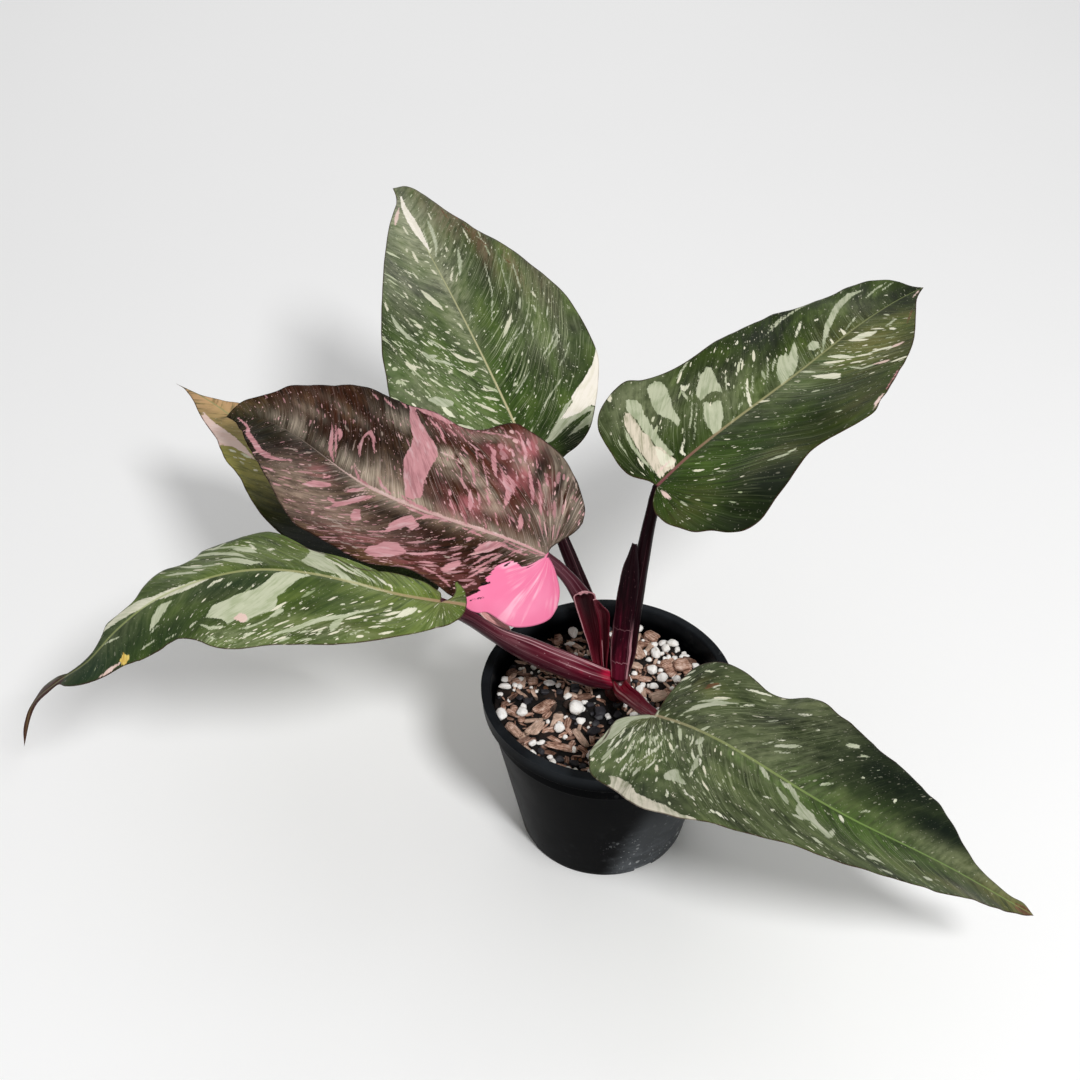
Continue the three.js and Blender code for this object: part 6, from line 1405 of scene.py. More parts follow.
def petiole(name, spec, mat, seed, n=150, m=40):
    x, P, T, S, U = path_frames(spec["path"], spec["side"], n)
    size = cr(spec["size"], x)
    ln = np.concatenate([[0], np.cumsum(np.linalg.norm(np.diff(P, axis=0), axis=1))])
    th = np.linspace(0, 2 * np.pi, m, endpoint=False)
    c, s = np.cos(th), np.sin(th)
    R = np.zeros((n, m, 3)); rim = np.zeros((n, m)); top = np.zeros((n, m))
    for j in range(n):
        w, d = size[j] / 2
        w *= 1 + 0.03 * noise1(ln[j] / 9.0, seed); d *= 1 + 0.04 * noise1(ln[j] / 11.0, seed + 1)
        knee = 1 + 0.10 * math.exp(-((ln[-1] - ln[j] - 6) / 4.0) ** 2)          # the joint under the blade
        open_ = max(0.0, 1 - x[j] / spec.get("open", 0.75))                      # channel, open at the base
        px = w * knee * np.sign(c) * np.abs(c) ** 0.9
        up = np.clip(s, 0, 1)
        g = (0.25 + 0.75 * open_) * np.exp(-((px / w) / 0.42) ** 2) * (s > 0)
        py = d * knee * np.sign(s) * np.abs(s) ** 0.85
        lip = spec.get("lip", 0.10)
        py = np.where(s > 0, py * (0.82 - 0.72 * g) + lip * d * np.exp(-((np.abs(px / w) - 0.70) / 0.16) ** 2) * (0.4 + open_), py)
        rid = 1 + 0.022 * np.cos(11 * th + 1.3) * (0.6 + 0.4 * noise1(ln[j] / 14.0 + th, seed + 2)) + 0.014 * np.cos(23 * th)
        R[j] = P[j] + S[j] * (px * rid)[:, None] + U[j] * (py * rid)[:, None]
        # pale margin lines along the stalk's edges; on the left stalk mostly on the upper edge, where the line also
        # paints the edge's highlight
        rim[j] = np.exp(-((np.abs(px / w) - 0.80) / 0.07) ** 2) * (s > 0.05) * min(1, 0.15 + 1.2 * open_) * (np.where(c > 0, 1.0, 0.15) if name == "left" else 1.0)
        top[j] = s
    V, F = rings_mesh(R); V = np.array(V)
    pad = lambda a, e0, e1: np.r_[a.ravel(), e0, e1]
    at = {"along": pad(np.repeat(x[:, None], m, 1), 0, 1), "lng": pad(np.repeat(ln[:, None], m, 1), 0, ln[-1]), "ang": pad(np.repeat(th[None], n, 0), 0, 0),
          "cx": pad(np.repeat(c[None], n, 0), 0, 0), "cy": pad(np.repeat(s[None], n, 0), 0, 0), "rim": pad(rim, 0, 0)}
    ob = new_mesh("petiole_skin_" + name, V * MM, outward(V, F), [mat], at)
    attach(ob, "root"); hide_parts("petiole_" + name)
    return ob

def sheath(name, spec, mat, seed, n=90, m=30):
    """a thin cupped wing of the leaf stalk, its two margins curling up"""
    x, P, T, S, U = path_frames(spec["path"], spec["side"], n)
    w = np.interp(x, np.linspace(0, 1, len(spec["width"])), spec["width"])
    w = cr(np.array(spec["width"], float), x)
    ln = np.concatenate([[0], np.cumsum(np.linalg.norm(np.diff(P, axis=0), axis=1))])
    # round the section: outer run then inner run
    q = np.linspace(-1, 1, m); R = np.zeros((n, 2 * m, 3)); rim = np.zeros((n, 2 * m)); cx = np.zeros((n, 2 * m)); cy = np.zeros((n, 2 * m))
    sgn = spec.get("face", 1.0)
    for j in range(n):
        W = max(w[j], 0.3) / 2
        th = 0.50 * (1 - 0.55 * np.abs(q) ** 4)
        lift = spec["cup"] * (np.abs(q) ** 2.4) * min(1, W / 2.2) * (1 + 0.25 * noise1(ln[j] / 6.0 + q * 1.5, seed))
        lift = lift + 0.10 * np.cos(9 * q) * (1 - q * q)
        xx = W * q * (1 + 0.04 * noise1(ln[j] / 5.0 + 9 * (q > 0), seed + 3))
        a = P[j] + S[j] * xx[:, None] + U[j] * (sgn * lift - th)[:, None]
        b = P[j] + S[j] * xx[:, None] + U[j] * (sgn * lift + th)[:, None]
        R[j] = np.vstack([a, b[::-1]])
        rim[j] = np.r_[np.abs(q) > 0.86, (np.abs(q) > 0.86)[::-1]].astype(float)
        cx[j] = np.r_[q, q[::-1]] * 3.0; cy[j] = np.r_[-np.ones(m), np.ones(m)]
    V, F = rings_mesh(R); V = np.array(V)
    pad = lambda a, e0, e1: np.r_[a.ravel(), e0, e1]
    xr = np.repeat(x[:, None], 2 * m, 1)
    at = {"along": pad(xr * 0.5, 0, 0.5), "lng": pad(np.repeat(ln[:, None], 2 * m, 1), 0, ln[-1]), "cx": pad(cx, 0, 0), "cy": pad(cy, 0, 0), "rim": pad(np.maximum(rim, (xr > 0.97) * 1.0), 0, 1)}
    ob = new_mesh("sheath_skin_" + name, V * MM, outward(V, F), [mat], at)
    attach(ob, "root"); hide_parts("sheath_" + name)
    return ob

def sheet(G, thick, back):
    """a closed thin sheet from a grid of points (n, m, 3); back: direction of the rear face"""
    n, m = G.shape[:2]
    gu = np.gradient(G, axis=0); gv = np.gradient(G, axis=1); N = unit(np.cross(gu, gv))
    N *= np.sign((N @ np.asarray(back, float)))[..., None]
    e = np.minimum(np.minimum(np.arange(n)[:, None], n - 1 - np.arange(n)[:, None]), np.minimum(np.arange(m)[None], m - 1 - np.arange(m)[None])) / 2.0
    t = thick * np.clip(0.35 + e, 0, 1)[..., None]
    V = np.vstack([G.reshape(-1, 3), (G + N * t).reshape(-1, 3)]); F = []; o = n * m
    for j in range(n - 1):
        for i in range(m - 1):
            a, b, c, d = j * m + i, j * m + i + 1, (j + 1) * m + i + 1, (j + 1) * m + i
            F += [(a, b, c, d), (d + o, c + o, b + o, a + o)]
    for i in range(m - 1):
        F += [(i + 1, i, i + o, i + 1 + o), ((n - 1) * m + i, (n - 1) * m + i + 1, (n - 1) * m + i + 1 + o, (n - 1) * m + i + o)]
    for j in range(n - 1):
        F += [(j * m, (j + 1) * m, (j + 1) * m + o, j * m + o), ((j + 1) * m + m - 1, j * m + m - 1, j * m + m - 1 + o, (j + 1) * m + m - 1 + o)]
    return V, F

def trough(mat, seed=620, n=96, m=46):
    """the opened sheath of the middle stalk: a hollow trough with a curled, pale lip,
    arched over at the top, and a side wing folded against the next sheath"""
    path = np.array([[-3.4, 5.4, 85.0], [-4.6, 5.6, 91.0], [-6.0, 5.8, 101.0], [-7.8, 6.0, 110.5], [-9.2, 6.3, 118.0], [-10.8, 6.7, 124.8], [-11.4, 6.9, 129.2]])
    x = 1 - (1 - np.linspace(0, 1, n)) ** 1.5; P = cr(path, x); T = unit(cr(path, x, True))
    view = unit(np.array([-0.03, -0.80, 0.60])); F0 = unit(view - (T @ view)[:, None] * T); S = np.cross(T, F0)
    S *= np.sign(S[:, :1].mean())
    W = np.interp(x, [0, 0.12, 0.36, 0.58, 0.74, 0.88, 1.0], [1.5, 2.0, 3.0, 3.8, 4.25, 4.15, 4.0])
    W = 0.12 + W * np.sqrt(np.clip(1 - (np.clip(x - 0.90, 0, 1) / 0.10) ** 2, 0, 1))
    D = np.interp(x, [0, 0.3, 0.7, 0.9, 1.0], [1.0, 2.0, 2.8, 2.6, 0.6])
    q = np.linspace(-1, 1, m); G = np.zeros((n, m, 3)); lip = np.zeros((n, m)); depth = np.zeros((n, m))
    for j in range(n):
        w, d = W[j] * (1 + 0.03 * noise1(x[j] * 9, seed)), D[j]
        prof = np.abs(q) ** 2.0
        curl = np.clip((np.abs(q) - 0.84) / 0.16, 0, 1)
        off = d * prof - 0.9 * curl ** 2 * min(1, w / 2.0)
        xx = w * (q + 0.06 * np.sign(q) * curl)
        top = np.clip((x[j] - 0.80) / 0.20, 0, 1)
        G[j] = P[j] + S[j] * xx[:, None] + F0[j] * (off - 0.5 * d + 1.6 * top ** 1.6)[:, None]
        lip[j] = np.maximum(np.clip((np.abs(q) - 0.86) / 0.08, 0, 1), np.clip((x[j] - 0.955) / 0.02, 0, 1))
        depth[j] = (1 - prof) * np.clip(x[j] / 0.3, 0.3, 1)
    V1, F1 = sheet(G, 0.6, -view)
    # side wing
    A = np.array([[-7.3, 5.2, 125.6], [-6.3, 5.0, 120.5], [-5.2, 4.9, 115.5], [-4.3, 4.8, 109.5], [-3.6, 4.8, 101.0], [-3.2, 4.9, 93.0], [-2.6, 5.0, 86.0]])
    B = np.array([[-6.4, 5.6, 125.4], [-3.4, 4.6, 122.0], [-0.8, 3.8, 119.0], [-0.5, 3.8, 111.0], [-0.4, 3.9, 101.0], [-0.8, 4.2, 92.0], [-0.9, 4.5, 86.0]])
    k, l = 56, 20; u = np.linspace(0, 1, k); a, b = cr(A, u), cr(B, u); v = np.linspace(0, 1, l)[None, :, None]
    H = a[:, None] * (1 - v) + b[:, None] * v
    H = H + np.array([0.0, 1.0, -0.1]) * (2.2 * np.sin(np.pi * v) * np.clip(u * 4, 0.15, 1)[:, None, None])
    V2, F2 = sheet(H, 0.55, -view)
    o = len(V1); V = np.vstack([V1, V2]); F = outward(V1, F1) + [tuple(i + o for i in f) for f in outward(V2, F2)]
    al1, q1 = np.repeat(x[:, None], m, 1), np.repeat(q[None], n, 0)
    rim2 = np.maximum(np.clip(1 - np.repeat(u[:, None], l, 1) / 0.035, 0, 1), 0.0)
    two = lambda f, g: np.concatenate([np.r_[f.ravel(), f.ravel()], np.r_[g.ravel(), g.ravel()]])
    uu = np.repeat(u[:, None], l, 1); vv = np.repeat(np.linspace(0, 1, l)[None], k, 0)
    at = {"along": two(al1, 1 - uu), "lng": two(al1 * 45, (1 - uu) * 40), "cx": two(q1 * 3, vv * 3 + 5), "cy": two(0 * q1 + 1, 0 * vv), "rim": two(lip, rim2),
          "hollow": two(depth, np.sin(np.pi * vv) * np.clip(uu * 2.0, 0, 1))}
    ob = new_mesh("sheath_skin_centre", V * MM, F, [mat], at)
    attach(ob, "root"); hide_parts("sheath_centre")
    return ob

def stalk_material(name, low, mid, high, line, heat=0.35, seed=0.0, hollow=None, marks=(), stripe=1.0, fade=None, spec=0.24, top=0.9, shade=None, gleam=()):
    M = Mat(name)
    al, lng, cx, cy, rim = (M.attr(k) for k in ("along", "lng", "cx", "cy", "rim"))
    def sn(k, l, det=2, z=0.0):
        return M.noise(M.vec(M.mul(cx, k), M.mul(cy, k), M.add(M.mul(lng, l), z + seed)), 1.0, det, 0.55)
    st = sn(3.2, 0.03, 3, 5.0)
    fine = sn(9.0, 0.06, 2, 15.0)
    blot = sn(0.9, 0.07, 2, 25.0)
    t = M.add(M.mul(al, 0.9), M.mul(M.sub(blot, 0.5), 0.5))
    base = M.ramp(t, [(0.0, low), (heat, mid), (top, high)])
    base = M.mix(M.mul(M.step(st, 0.46, 0.70), 0.35 * stripe), base, M.mix(0.35, mid, line))
    base = M.mix(M.mul(M.step(st, 0.5, 0.28), 0.5 * stripe), base, M.mix(0.6, high, (0.004, 0.001, 0.002)))
    base = M.mix(M.mul(M.step(cy, -0.05, -0.75), 0.65), base, (0.012, 0.003, 0.005))    # painted shade: darker underneath
    for c0, w, a0, a1, amt in gleam:      # a bright line where a ridge catches the light
        wob = M.add(cx, M.mul(M.sub(M.noise(M.vec(M.mul(lng, 0.05), c0, 1.0), 1.0, 2), 0.5), w * 2.2))
        f = M.mul(M.mul(M.step(M.absv(M.sub(wob, c0)), w, w * 0.3), M.mul(M.step(al, a0 - 0.05, a0 + 0.05), M.step(al, a1 + 0.08, a1 - 0.08))), M.step(st, 0.34, 0.60, 0.35, 1.0))
        base = M.mix(M.mul(f, amt), base, line)
    if shade is not None:                 # one flank stays dark
        base = M.mix(M.mul(M.step(cx, shade[0], shade[1]), shade[2]), base, (0.008, 0.002, 0.004))
    base = M.mix(M.mul(M.step(fine, 0.62, 0.76), 0.16 * stripe), base, line)
    fl, c = M.voronoi(M.vec(M.mul(cx, 6.0), M.mul(cy, 6.0), M.mul(lng, 0.35)))
    r = M.split(c)
    speck = M.mul(M.step(M.sub(M.mul(r[0], 0.16), fl), -0.02, 0.02), M.step(r[1], 0.72, 0.74))
    base = M.mix(M.mul(speck, 0.45), base, line)
    if hollow is not None:
        # painted shade: the inside of the trough and the middle of its wing darkened where they lie deepest
        base = M.mix(M.math("MULTIPLY", M.attr("hollow"), 0.9, clamp=True), base, M.mix(M.step(al, 0.25, 0.75), hollow[0], hollow[1]))
    k = M.mul(M.step(rim, 0.35, 0.85), M.step(M.sub(1.0, al), 0.15, 0.6, 0.35, 0.95) if hollow is None else 1.0)
    if fade is not None: k = M.mul(k, M.step(al, fade[1], fade[0]))
    base = M.mix(M.mul(k, M.step(blot, 0.30, 0.60, 0.55, 1.0)), base, line)
    for at, w in marks:                   # thin pale scars across the stalk
        wob = M.add(lng, M.mul(M.sub(M.noise(M.vec(cx, cy, 3.0), 1.3, 2), 0.5), 2.4))
        base = M.mix(M.mul(M.step(M.absv(M.sub(wob, at)), w, w * 0.4), 0.5), base, line)
    rgh = M.step(st, 0.25, 0.75, 0.24, 0.36, kind="LINEAR")
    return M.finish(base, rgh, M.bump(M.add(M.mul(st, 0.6), M.mul(fine, 0.4)), 0.5, 0.00025), spec)

def stems():
    # the right stalk runs to near black: its own dark burgundy, deepened with painted shade
    tone = {"right": ("4a1220", "110508", "050203", "8c5a64", 0.30), "left": ("d02048", "66162a", "380f1b", "dcb0b6", 0.14), "pink": ("340b15", "471722", "4d2530", "a77f88", 0.4),
            "front": ("b01a3a", "761b2e", "5a2029", "d6adaa", 0.3), "back": ("300a14", "1f0a10", "19080d", "9a6a72", 0.4), "rear": ("541420", "360e18", "280b12", "966870", 0.35)}
    for i, (n, sp) in enumerate(PETIOLES.items()):
        low, mid, high, line, heat = tone[n]
        petiole(n, sp, stalk_material("stalk_" + n, srgb(low), srgb(mid), srgb(high), srgb(line), heat, seed=i * 3.7, stripe=0.5 if n in ("right", "back") else 1.0, spec=0.04 if n in ("right", "back") else 0.17, shade=(0.25, -0.85, 0.75) if n == "left" else None,
                                       gleam={"left": ((0.66, 0.06, 0.12, 0.70, 0.9), (0.40, 0.04, 0.16, 0.60, 0.6), (0.02, 0.035, 0.08, 0.34, 0.75), (-0.35, 0.03, 0.30, 0.9, 0.35)), "pink": ((0.3, 0.05, 0.3, 1.0, 0.5), (-0.3, 0.05, 0.4, 1.0, 0.4)), "right": ((-0.2, 0.04, 0.1, 0.45, 0.35), (0.35, 0.03, 0.20, 0.75, 0.35)), "back": ((0.2, 0.05, 0.3, 1.0, 0.4),)}.get(n, ())), 400 + 7 * i)
    # the wing darkens to near black towards its top: its own dark burgundy, deepened with painted shade
    wing = stalk_material("stalk_wing", srgb("a22a4a"), srgb("4a1022"), srgb("040102"), srgb("c08c94"), 0.15, seed=41.0, marks=((27.5, 0.12), (9.5, 0.3)), stripe=0.16, fade=(0.12, 0.24), spec=0.03, top=0.30, shade=(0.2, 2.6, 0.55), gleam=((-2.75, 0.14, 0.05, 0.42, 0.28), (2.2, 0.12, 0.02, 0.20, 0.8)))
    pale = stalk_material("stalk_wing_pale", srgb("e0a8a4"), srgb("d79c98"), srgb("b8787a"), srgb("f0d0c8"), seed=47.0)
    for i, (n, sp) in enumerate(SHEATHS.items()):
        sheath(n, sp, pale if n == "left" else wing, 500 + 7 * i)
    trough(stalk_material("stalk_trough", srgb("7a1229"), srgb("641424"), srgb("4a121e"), srgb("d09aa0"), 0.4, seed=53.0, hollow=(srgb("24040a"), srgb("0c0204")), spec=0.14))
    # stem: a short, ringed stump mostly hidden by the leaf stalks
    n, m = 70, 56
    th = np.linspace(0, 2 * np.pi, m, endpoint=False); zs = np.linspace(58.4, 82, n); R = np.zeros((n, m, 3))
    for j, z in enumerate(zs):
        k = 5.4 if z < 79 else 5.4 - 2.9 * ((z - 79) / 3.0) ** 2
        k = k * (1 + 0.015 * math.cos((z - 60) * 1.9)) - (0.18 if abs((z - 60) % 4.6) < 0.5 else 0.0)
        rr = k * (1 + 0.02 * np.cos(5 * th + 0.3 * j * 0.1) + 0.02 * noise1(th * 3 + j * 0.05, 77))
        rr = np.minimum(rr, 5.42)
        R[j] = np.stack([4.5 + rr * np.cos(th), 6 + rr * np.sin(th), 0 * th + z], -1)
    V, F = rings_mesh(R); V = np.array(V); pad = lambda a: np.r_[a.ravel(), 0, 0]
    at = {"along": pad(np.repeat(((zs - 58) / 60)[:, None], m, 1)), "lng": pad(np.repeat(zs[:, None], m, 1)), "cx": pad(np.repeat(np.cos(th)[None], n, 0)), "cy": pad(np.repeat(np.sin(th)[None], n, 0)), "rim": pad(np.zeros((n, m)))}
    ob = new_mesh("stem_skin", V * MM, outward(V, F), [stalk_material("stem_skin", srgb("5a2a24"), srgb("6a2c2c"), srgb("3a1a18"), srgb("b98a7a"), seed=61.0)], at)
    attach(ob, "root"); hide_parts("stem")
stems()

# ------------------------------------------------------------------ pot, mix and grains
def lathe(profile, seg):
    pr = np.array(profile, float); n = len(pr); th = np.linspace(0, 2 * np.pi, seg, endpoint=False)
    V, F, ring = [], [], []
    for r, z in pr:
        if r < 1e-6:
            V.append((0, 0, z)); ring.append([len(V) - 1] * seg)
        else:
            ring.append([len(V) + i for i in range(seg)])
            V += [(r * math.cos(t), r * math.sin(t), z) for t in th]
    for a, b in zip(ring[:-1], ring[1:]):
        for i in range(seg):
            k = (i + 1) % seg; f = [a[i], a[k], b[k], b[i]]; u = []
            for x in f:
                if x not in u: u.append(x)
            if len(u) >= 3: F.append(tuple(u))
    return np.array(V), F

def fine_profile(pts, step):
    out = [pts[0]]
    for a, b in zip(pts[:-1], pts[1:]):
        n = max(1, int(math.hypot(b[0] - a[0], b[1] - a[1]) / step))
        out += [(a[0] + (b[0] - a[0]) * i / n, a[1] + (b[1] - a[1]) * i / n) for i in range(1, n + 1)]
    return out

def arc(cx, cz, r, a0, a1, n=6):
    return [(cx + r * math.cos(math.radians(a0 + (a1 - a0) * i / n)), cz + r * math.sin(math.radians(a0 + (a1 - a0) * i / n))) for i in range(n + 1)]

def wall_outer(z): return 36.5 + (51.2 - 36.5) * z / 74.0
def wall_inner(z): return wall_outer(z) - 1.2

def pot_material():
    M = Mat("pot_plastic_black"); P = M.coord("Object"); x, y, z = M.split(P)
    n = M.noise(P, 26.0, 4, 0.6); f = M.noise(P, 420.0, 2, 0.6)
    flow = M.noise(M.vec(M.mul(x, 60.0), M.mul(y, 60.0), M.mul(z, 5.0)), 1.0, 3, 0.6)
    base = M.mix(n, srgb("000001"), srgb("030406"))
    base = M.mix(M.mul(M.step(flow, 0.45, 0.75), 0.35), base, srgb("090a0d"))
    low = M.step(z, 0.050, 0.004)
    facing = M.step(M.add(M.mul(x, 14.0), M.mul(y, -6.0)), 0.15, 0.55, 0.03, 1.0)     # painted light: dust and grey smears show on the lower right, the side the light falls on
    # dried water marks and dust, heavier towards the foot
    d1, c1 = M.voronoi(M.scale(P, (340.0, 340.0, 300.0))); r1 = M.split(c1)
    s1 = M.mul(M.step(M.sub(M.mul(r1[0], 0.42), d1), -0.05, 0.05), M.step(r1[1], 0.66, 0.68))
    d2, c2 = M.voronoi(M.scale(P, (900.0, 900.0, 800.0))); r2 = M.split(c2)
    s2 = M.mul(M.step(M.sub(M.mul(r2[0], 0.34), d2), -0.05, 0.05), M.step(r2[1], 0.60, 0.62))
    patch = M.step(M.noise(M.scale(P, (38.0, 38.0, 60.0)), 1.0, 3, 0.6), 0.46, 0.64)
    dust = M.mul(M.mx(s1, s2), M.mul(M.add(M.mul(low, 0.85), 0.08), M.add(M.mul(patch, 0.85), 0.15)))
    smear = M.mul(M.mul(M.mul(M.step(M.noise(M.scale(P, (70.0, 70.0, 110.0)), 1.0, 5, 0.7), 0.46, 0.70), low), facing), 0.85)
    base = M.mix(smear, base, srgb("6c7074"))
    # painted light: the lower right of the wall greyed where light falls past the front leaf's shadow
    haze = M.step(M.add(M.mul(x, 15.0), M.mul(z, -4.0)), -0.05, 0.12)
    base = M.mix(M.mul(M.mul(M.step(z, 0.066, 0.030), haze), 0.38), base, srgb("6a6e72"))
    base = M.mix(M.mul(M.mul(dust, facing), 0.9), base, srgb("c9cbcc"))
    # painted sheen: the rim lightened to grey
    rim = M.step(z, 0.0735, 0.0815)
    base = M.mix(M.mul(rim, M.step(n, 0.35, 0.7, 0.18, 0.62)), base, srgb("34383c"))
    rgh = M.add(M.step(n, 0.3, 0.7, 0.30, 0.44, kind="LINEAR"), M.mul(M.mx(dust, smear), 0.3))
    return M.finish(base, rgh, M.bump(M.add(M.mul(f, 0.5), M.mul(flow, 0.5)), 0.35, 0.00012), 0.018)

def pot():
    R, Ri, H = 54.0, 49.8, 82.0
    prof = [(0, 0.0), (24, 0.0), (30, 0.0), (35.6, 0.0)] + arc(35.7, 0.8, 0.8, -90, 0, 5)
    prof += [(wall_outer(z) if z > 1 else 36.5, z) for z in np.linspace(1.4, 65.2, 46)]
    prof += [(wall_outer(65.4), 65.4), (wall_outer(65.6) + 0.35, 65.55), (wall_outer(65.8) + 0.5, 65.9)]
    prof += [(wall_outer(65.9) + 0.5 - 0.1 * (z - 65.9) / 7.6, z) for z in np.linspace(66.4, 73.3, 12)]
    prof += [(51.75, 73.75), (52.2, 73.95), (52.8, 74.0)] + arc(53.0, 74.35, 0.35, -90, 0, 4)
    prof += [(53.35 + 0.15 * (z - 74.4) / 6.2, z) for z in np.linspace(74.9, 80.6, 12)]
    prof += arc(53.3, 81.3, 0.7, -20, 90, 7) + [(52.2, 82.0), (51.2, 81.98)] + arc(50.7, 81.1, 0.88, 90, 178, 6)
    prof += [(49.8 - 0.1 * (81 - z) / 7, z) for z in np.linspace(80.6, 74.4, 10)]
    prof += [(49.55, 73.6), (49.3, 72.6)] + [(wall_inner(z), z) for z in np.linspace(71, 2.6, 40)]
    prof += [(wall_inner(1.6) - 0.9, 1.75), (35.0, 1.6), (30, 1.6), (24, 1.6), (0, 1.6)]
    prof[0] = (0, 0.0)
    V, F = lathe(prof, 224)
    V = V.copy()
    ang = np.arctan2(V[:, 1], V[:, 0]); r = np.hypot(V[:, 0], V[:, 1])
    # thin moulding lines down the band, and a barely uneven wall
    wob = 0.05 * noise1(ang * 7 + V[:, 2] * 0.03, 5) * (r > 34)
    k = (r + wob) / np.maximum(r, 1e-6); k = np.where(r * k > R, R / np.maximum(r, 1e-6), k)
    V[:, 0] *= k; V[:, 1] *= k
    me = bpy.data.meshes.new("pot_cut"); me.from_pydata([tuple(v) for v in V * MM], [], outward(V, F)); me.update()
    ob = bpy.data.objects.new("pot_cut", me); bpy.context.scene.collection.objects.link(ob)
    cutters = []
    for i in range(8):
        a = 2 * math.pi * (i + 0.5) / 8
        cv, cf = lathe([(0, -1), (3.1, -1), (3.1, 2.8), (0, 2.8)], 32)
        cutters.append((cv + [26 * math.cos(a), 26 * math.sin(a), 0], cf))
    for i in range(4):
        a = math.radians(-62 + 90 * i)
        bx = np.array([(sx * 3.5 + 37.7, sy * 4.5, 0.6 + sz * 1.5) for sx in (-1, 1) for sy in (-1, 1) for sz in (-1, 1)])
        rot = np.array([[math.cos(a), -math.sin(a), 0], [math.sin(a), math.cos(a), 0], [0, 0, 1]])
        cutters.append((bx @ rot.T, [(0, 1, 3, 2), (4, 6, 7, 5), (0, 4, 5, 1), (2, 3, 7, 6), (0, 2, 6, 4), (1, 5, 7, 3)]))
    V2, F2, o = [], [], 0
    for cv, cf in cutters:
        cf = outward(cv, cf); V2 += [tuple(v) for v in cv * MM]; F2 += [tuple(x + o for x in f) for f in cf]; o += len(cv)
    mc = bpy.data.meshes.new("cut"); mc.from_pydata(V2, [], F2); mc.update()
    oc = bpy.data.objects.new("cut", mc); bpy.context.scene.collection.objects.link(oc)
    md = ob.modifiers.new("cut", "BOOLEAN"); md.operation = "DIFFERENCE"; md.solver = "EXACT"; md.object = oc
    dg = bpy.context.evaluated_depsgraph_get(); done = bpy.data.meshes.new_from_object(ob.evaluated_get(dg))
    bpy.data.objects.remove(ob); bpy.data.objects.remove(oc); bpy.data.meshes.remove(me); bpy.data.meshes.remove(mc)
    done.name = "pot_shell"; done.materials.clear(); done.materials.append(pot_material())
    done.polygons.foreach_set("use_smooth", np.ones(len(done.polygons), bool))
    done.set_sharp_from_angle(angle=math.radians(38))
    ob = bpy.data.objects.new("pot_shell", done); bpy.context.scene.collection.objects.link(ob)
    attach(ob, "root"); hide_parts("nursery_pot")

def vnoise3(P, seed, n=32):
    g = np.random.default_rng(seed).uniform(-1, 1, (n, n, n)); P = np.asarray(P, float)
    I = np.floor(P).astype(int); f = P - I; f = f * f * (3 - 2 * f); out = 0
    for dx in (0, 1):
        for dy in (0, 1):
            for dz in (0, 1):
                w = (f[:, 0] if dx else 1 - f[:, 0]) * (f[:, 1] if dy else 1 - f[:, 1]) * (f[:, 2] if dz else 1 - f[:, 2])
                out = out + w * g[(I[:, 0] + dx) % n, (I[:, 1] + dy) % n, (I[:, 2] + dz) % n]
    return out

def mix_top(x, y):
    r = np.hypot(x, y)
    z = np.interp(r, [0, 30, 42, 49.5], [71.0, 71.0, 70.4, 69.2])
    return z

DAMP = ((-22, -4, 20, 6.5, -14), (4, -14, 7, 13, 20))             # patches of painted cast shadow on the mix, under the left leaf stalk and the front leaf
def damp(M, P):
    """1 inside the painted shadow patches, falling off at their edge"""
    x, y, _ = M.split(P); wob = M.mul(M.sub(M.noise(P, 160.0, 2), 0.5), 0.7); f = None
    for a, b, p, q, t in ((-22, -3.4, 20, 4.6, -14), (4, -14, 6, 12, 20)):
        c, s = math.cos(math.radians(t)), math.sin(math.radians(t)); dx, dy = M.sub(x, a * MM), M.sub(y, b * MM)
        u = M.mul(M.add(M.mul(dx, c), M.mul(dy, s)), 1 / (p * MM)); v = M.mul(M.add(M.mul(dx, -s), M.mul(dy, c)), 1 / (q * MM))
        g = M.step(M.add(M.add(M.mul(u, u), M.mul(v, v)), wob), 1.15, 0.75)
        f = g if f is None else M.mx(f, g)
    return f

def mix_material():
    M = Mat("growing_mix"); P = M.coord("Object")
    a = M.noise(P, 180.0, 5, 0.7); b = M.noise(P, 60.0, 3, 0.6); c = M.noise(P, 700.0, 2, 0.6)
    # near-black mix: its own dark peat colour, kept darker as painted shade
    base = M.ramp(M.add(M.mul(a, 0.6), M.mul(b, 0.4)), [(0.36, srgb("070505")), (0.5, srgb("140f0d")), (0.62, srgb("2e211b")), (0.74, srgb("56402f"))])
    d, col = M.voronoi(P, 420.0); r = M.split(col)
    f = M.mul(M.step(M.sub(M.mul(r[0], 0.42), d), -0.06, 0.06), M.step(r[1], 0.86, 0.88))
    base = M.mix(M.mul(f, 0.85), base, srgb("d8d2c6"))
    f2 = M.mul(M.step(M.sub(M.mul(r[2], 0.5), d), -0.06, 0.06), M.step(r[0], 0.80, 0.82))
    base = M.mix(M.mul(f2, 0.8), base, srgb("7a5238"))
    # painted shadow: the mix darkened to near black inside the shadow patches
    base = M.mix(M.mul(damp(M, P), 0.85), base, srgb("060404"))
    return M.finish(base, M.step(a, 0.3, 0.7, 0.75, 0.95, kind="LINEAR"), M.bump(M.add(M.mul(a, 0.7), M.mul(c, 0.3)), 0.9, 0.0009), 0.3)

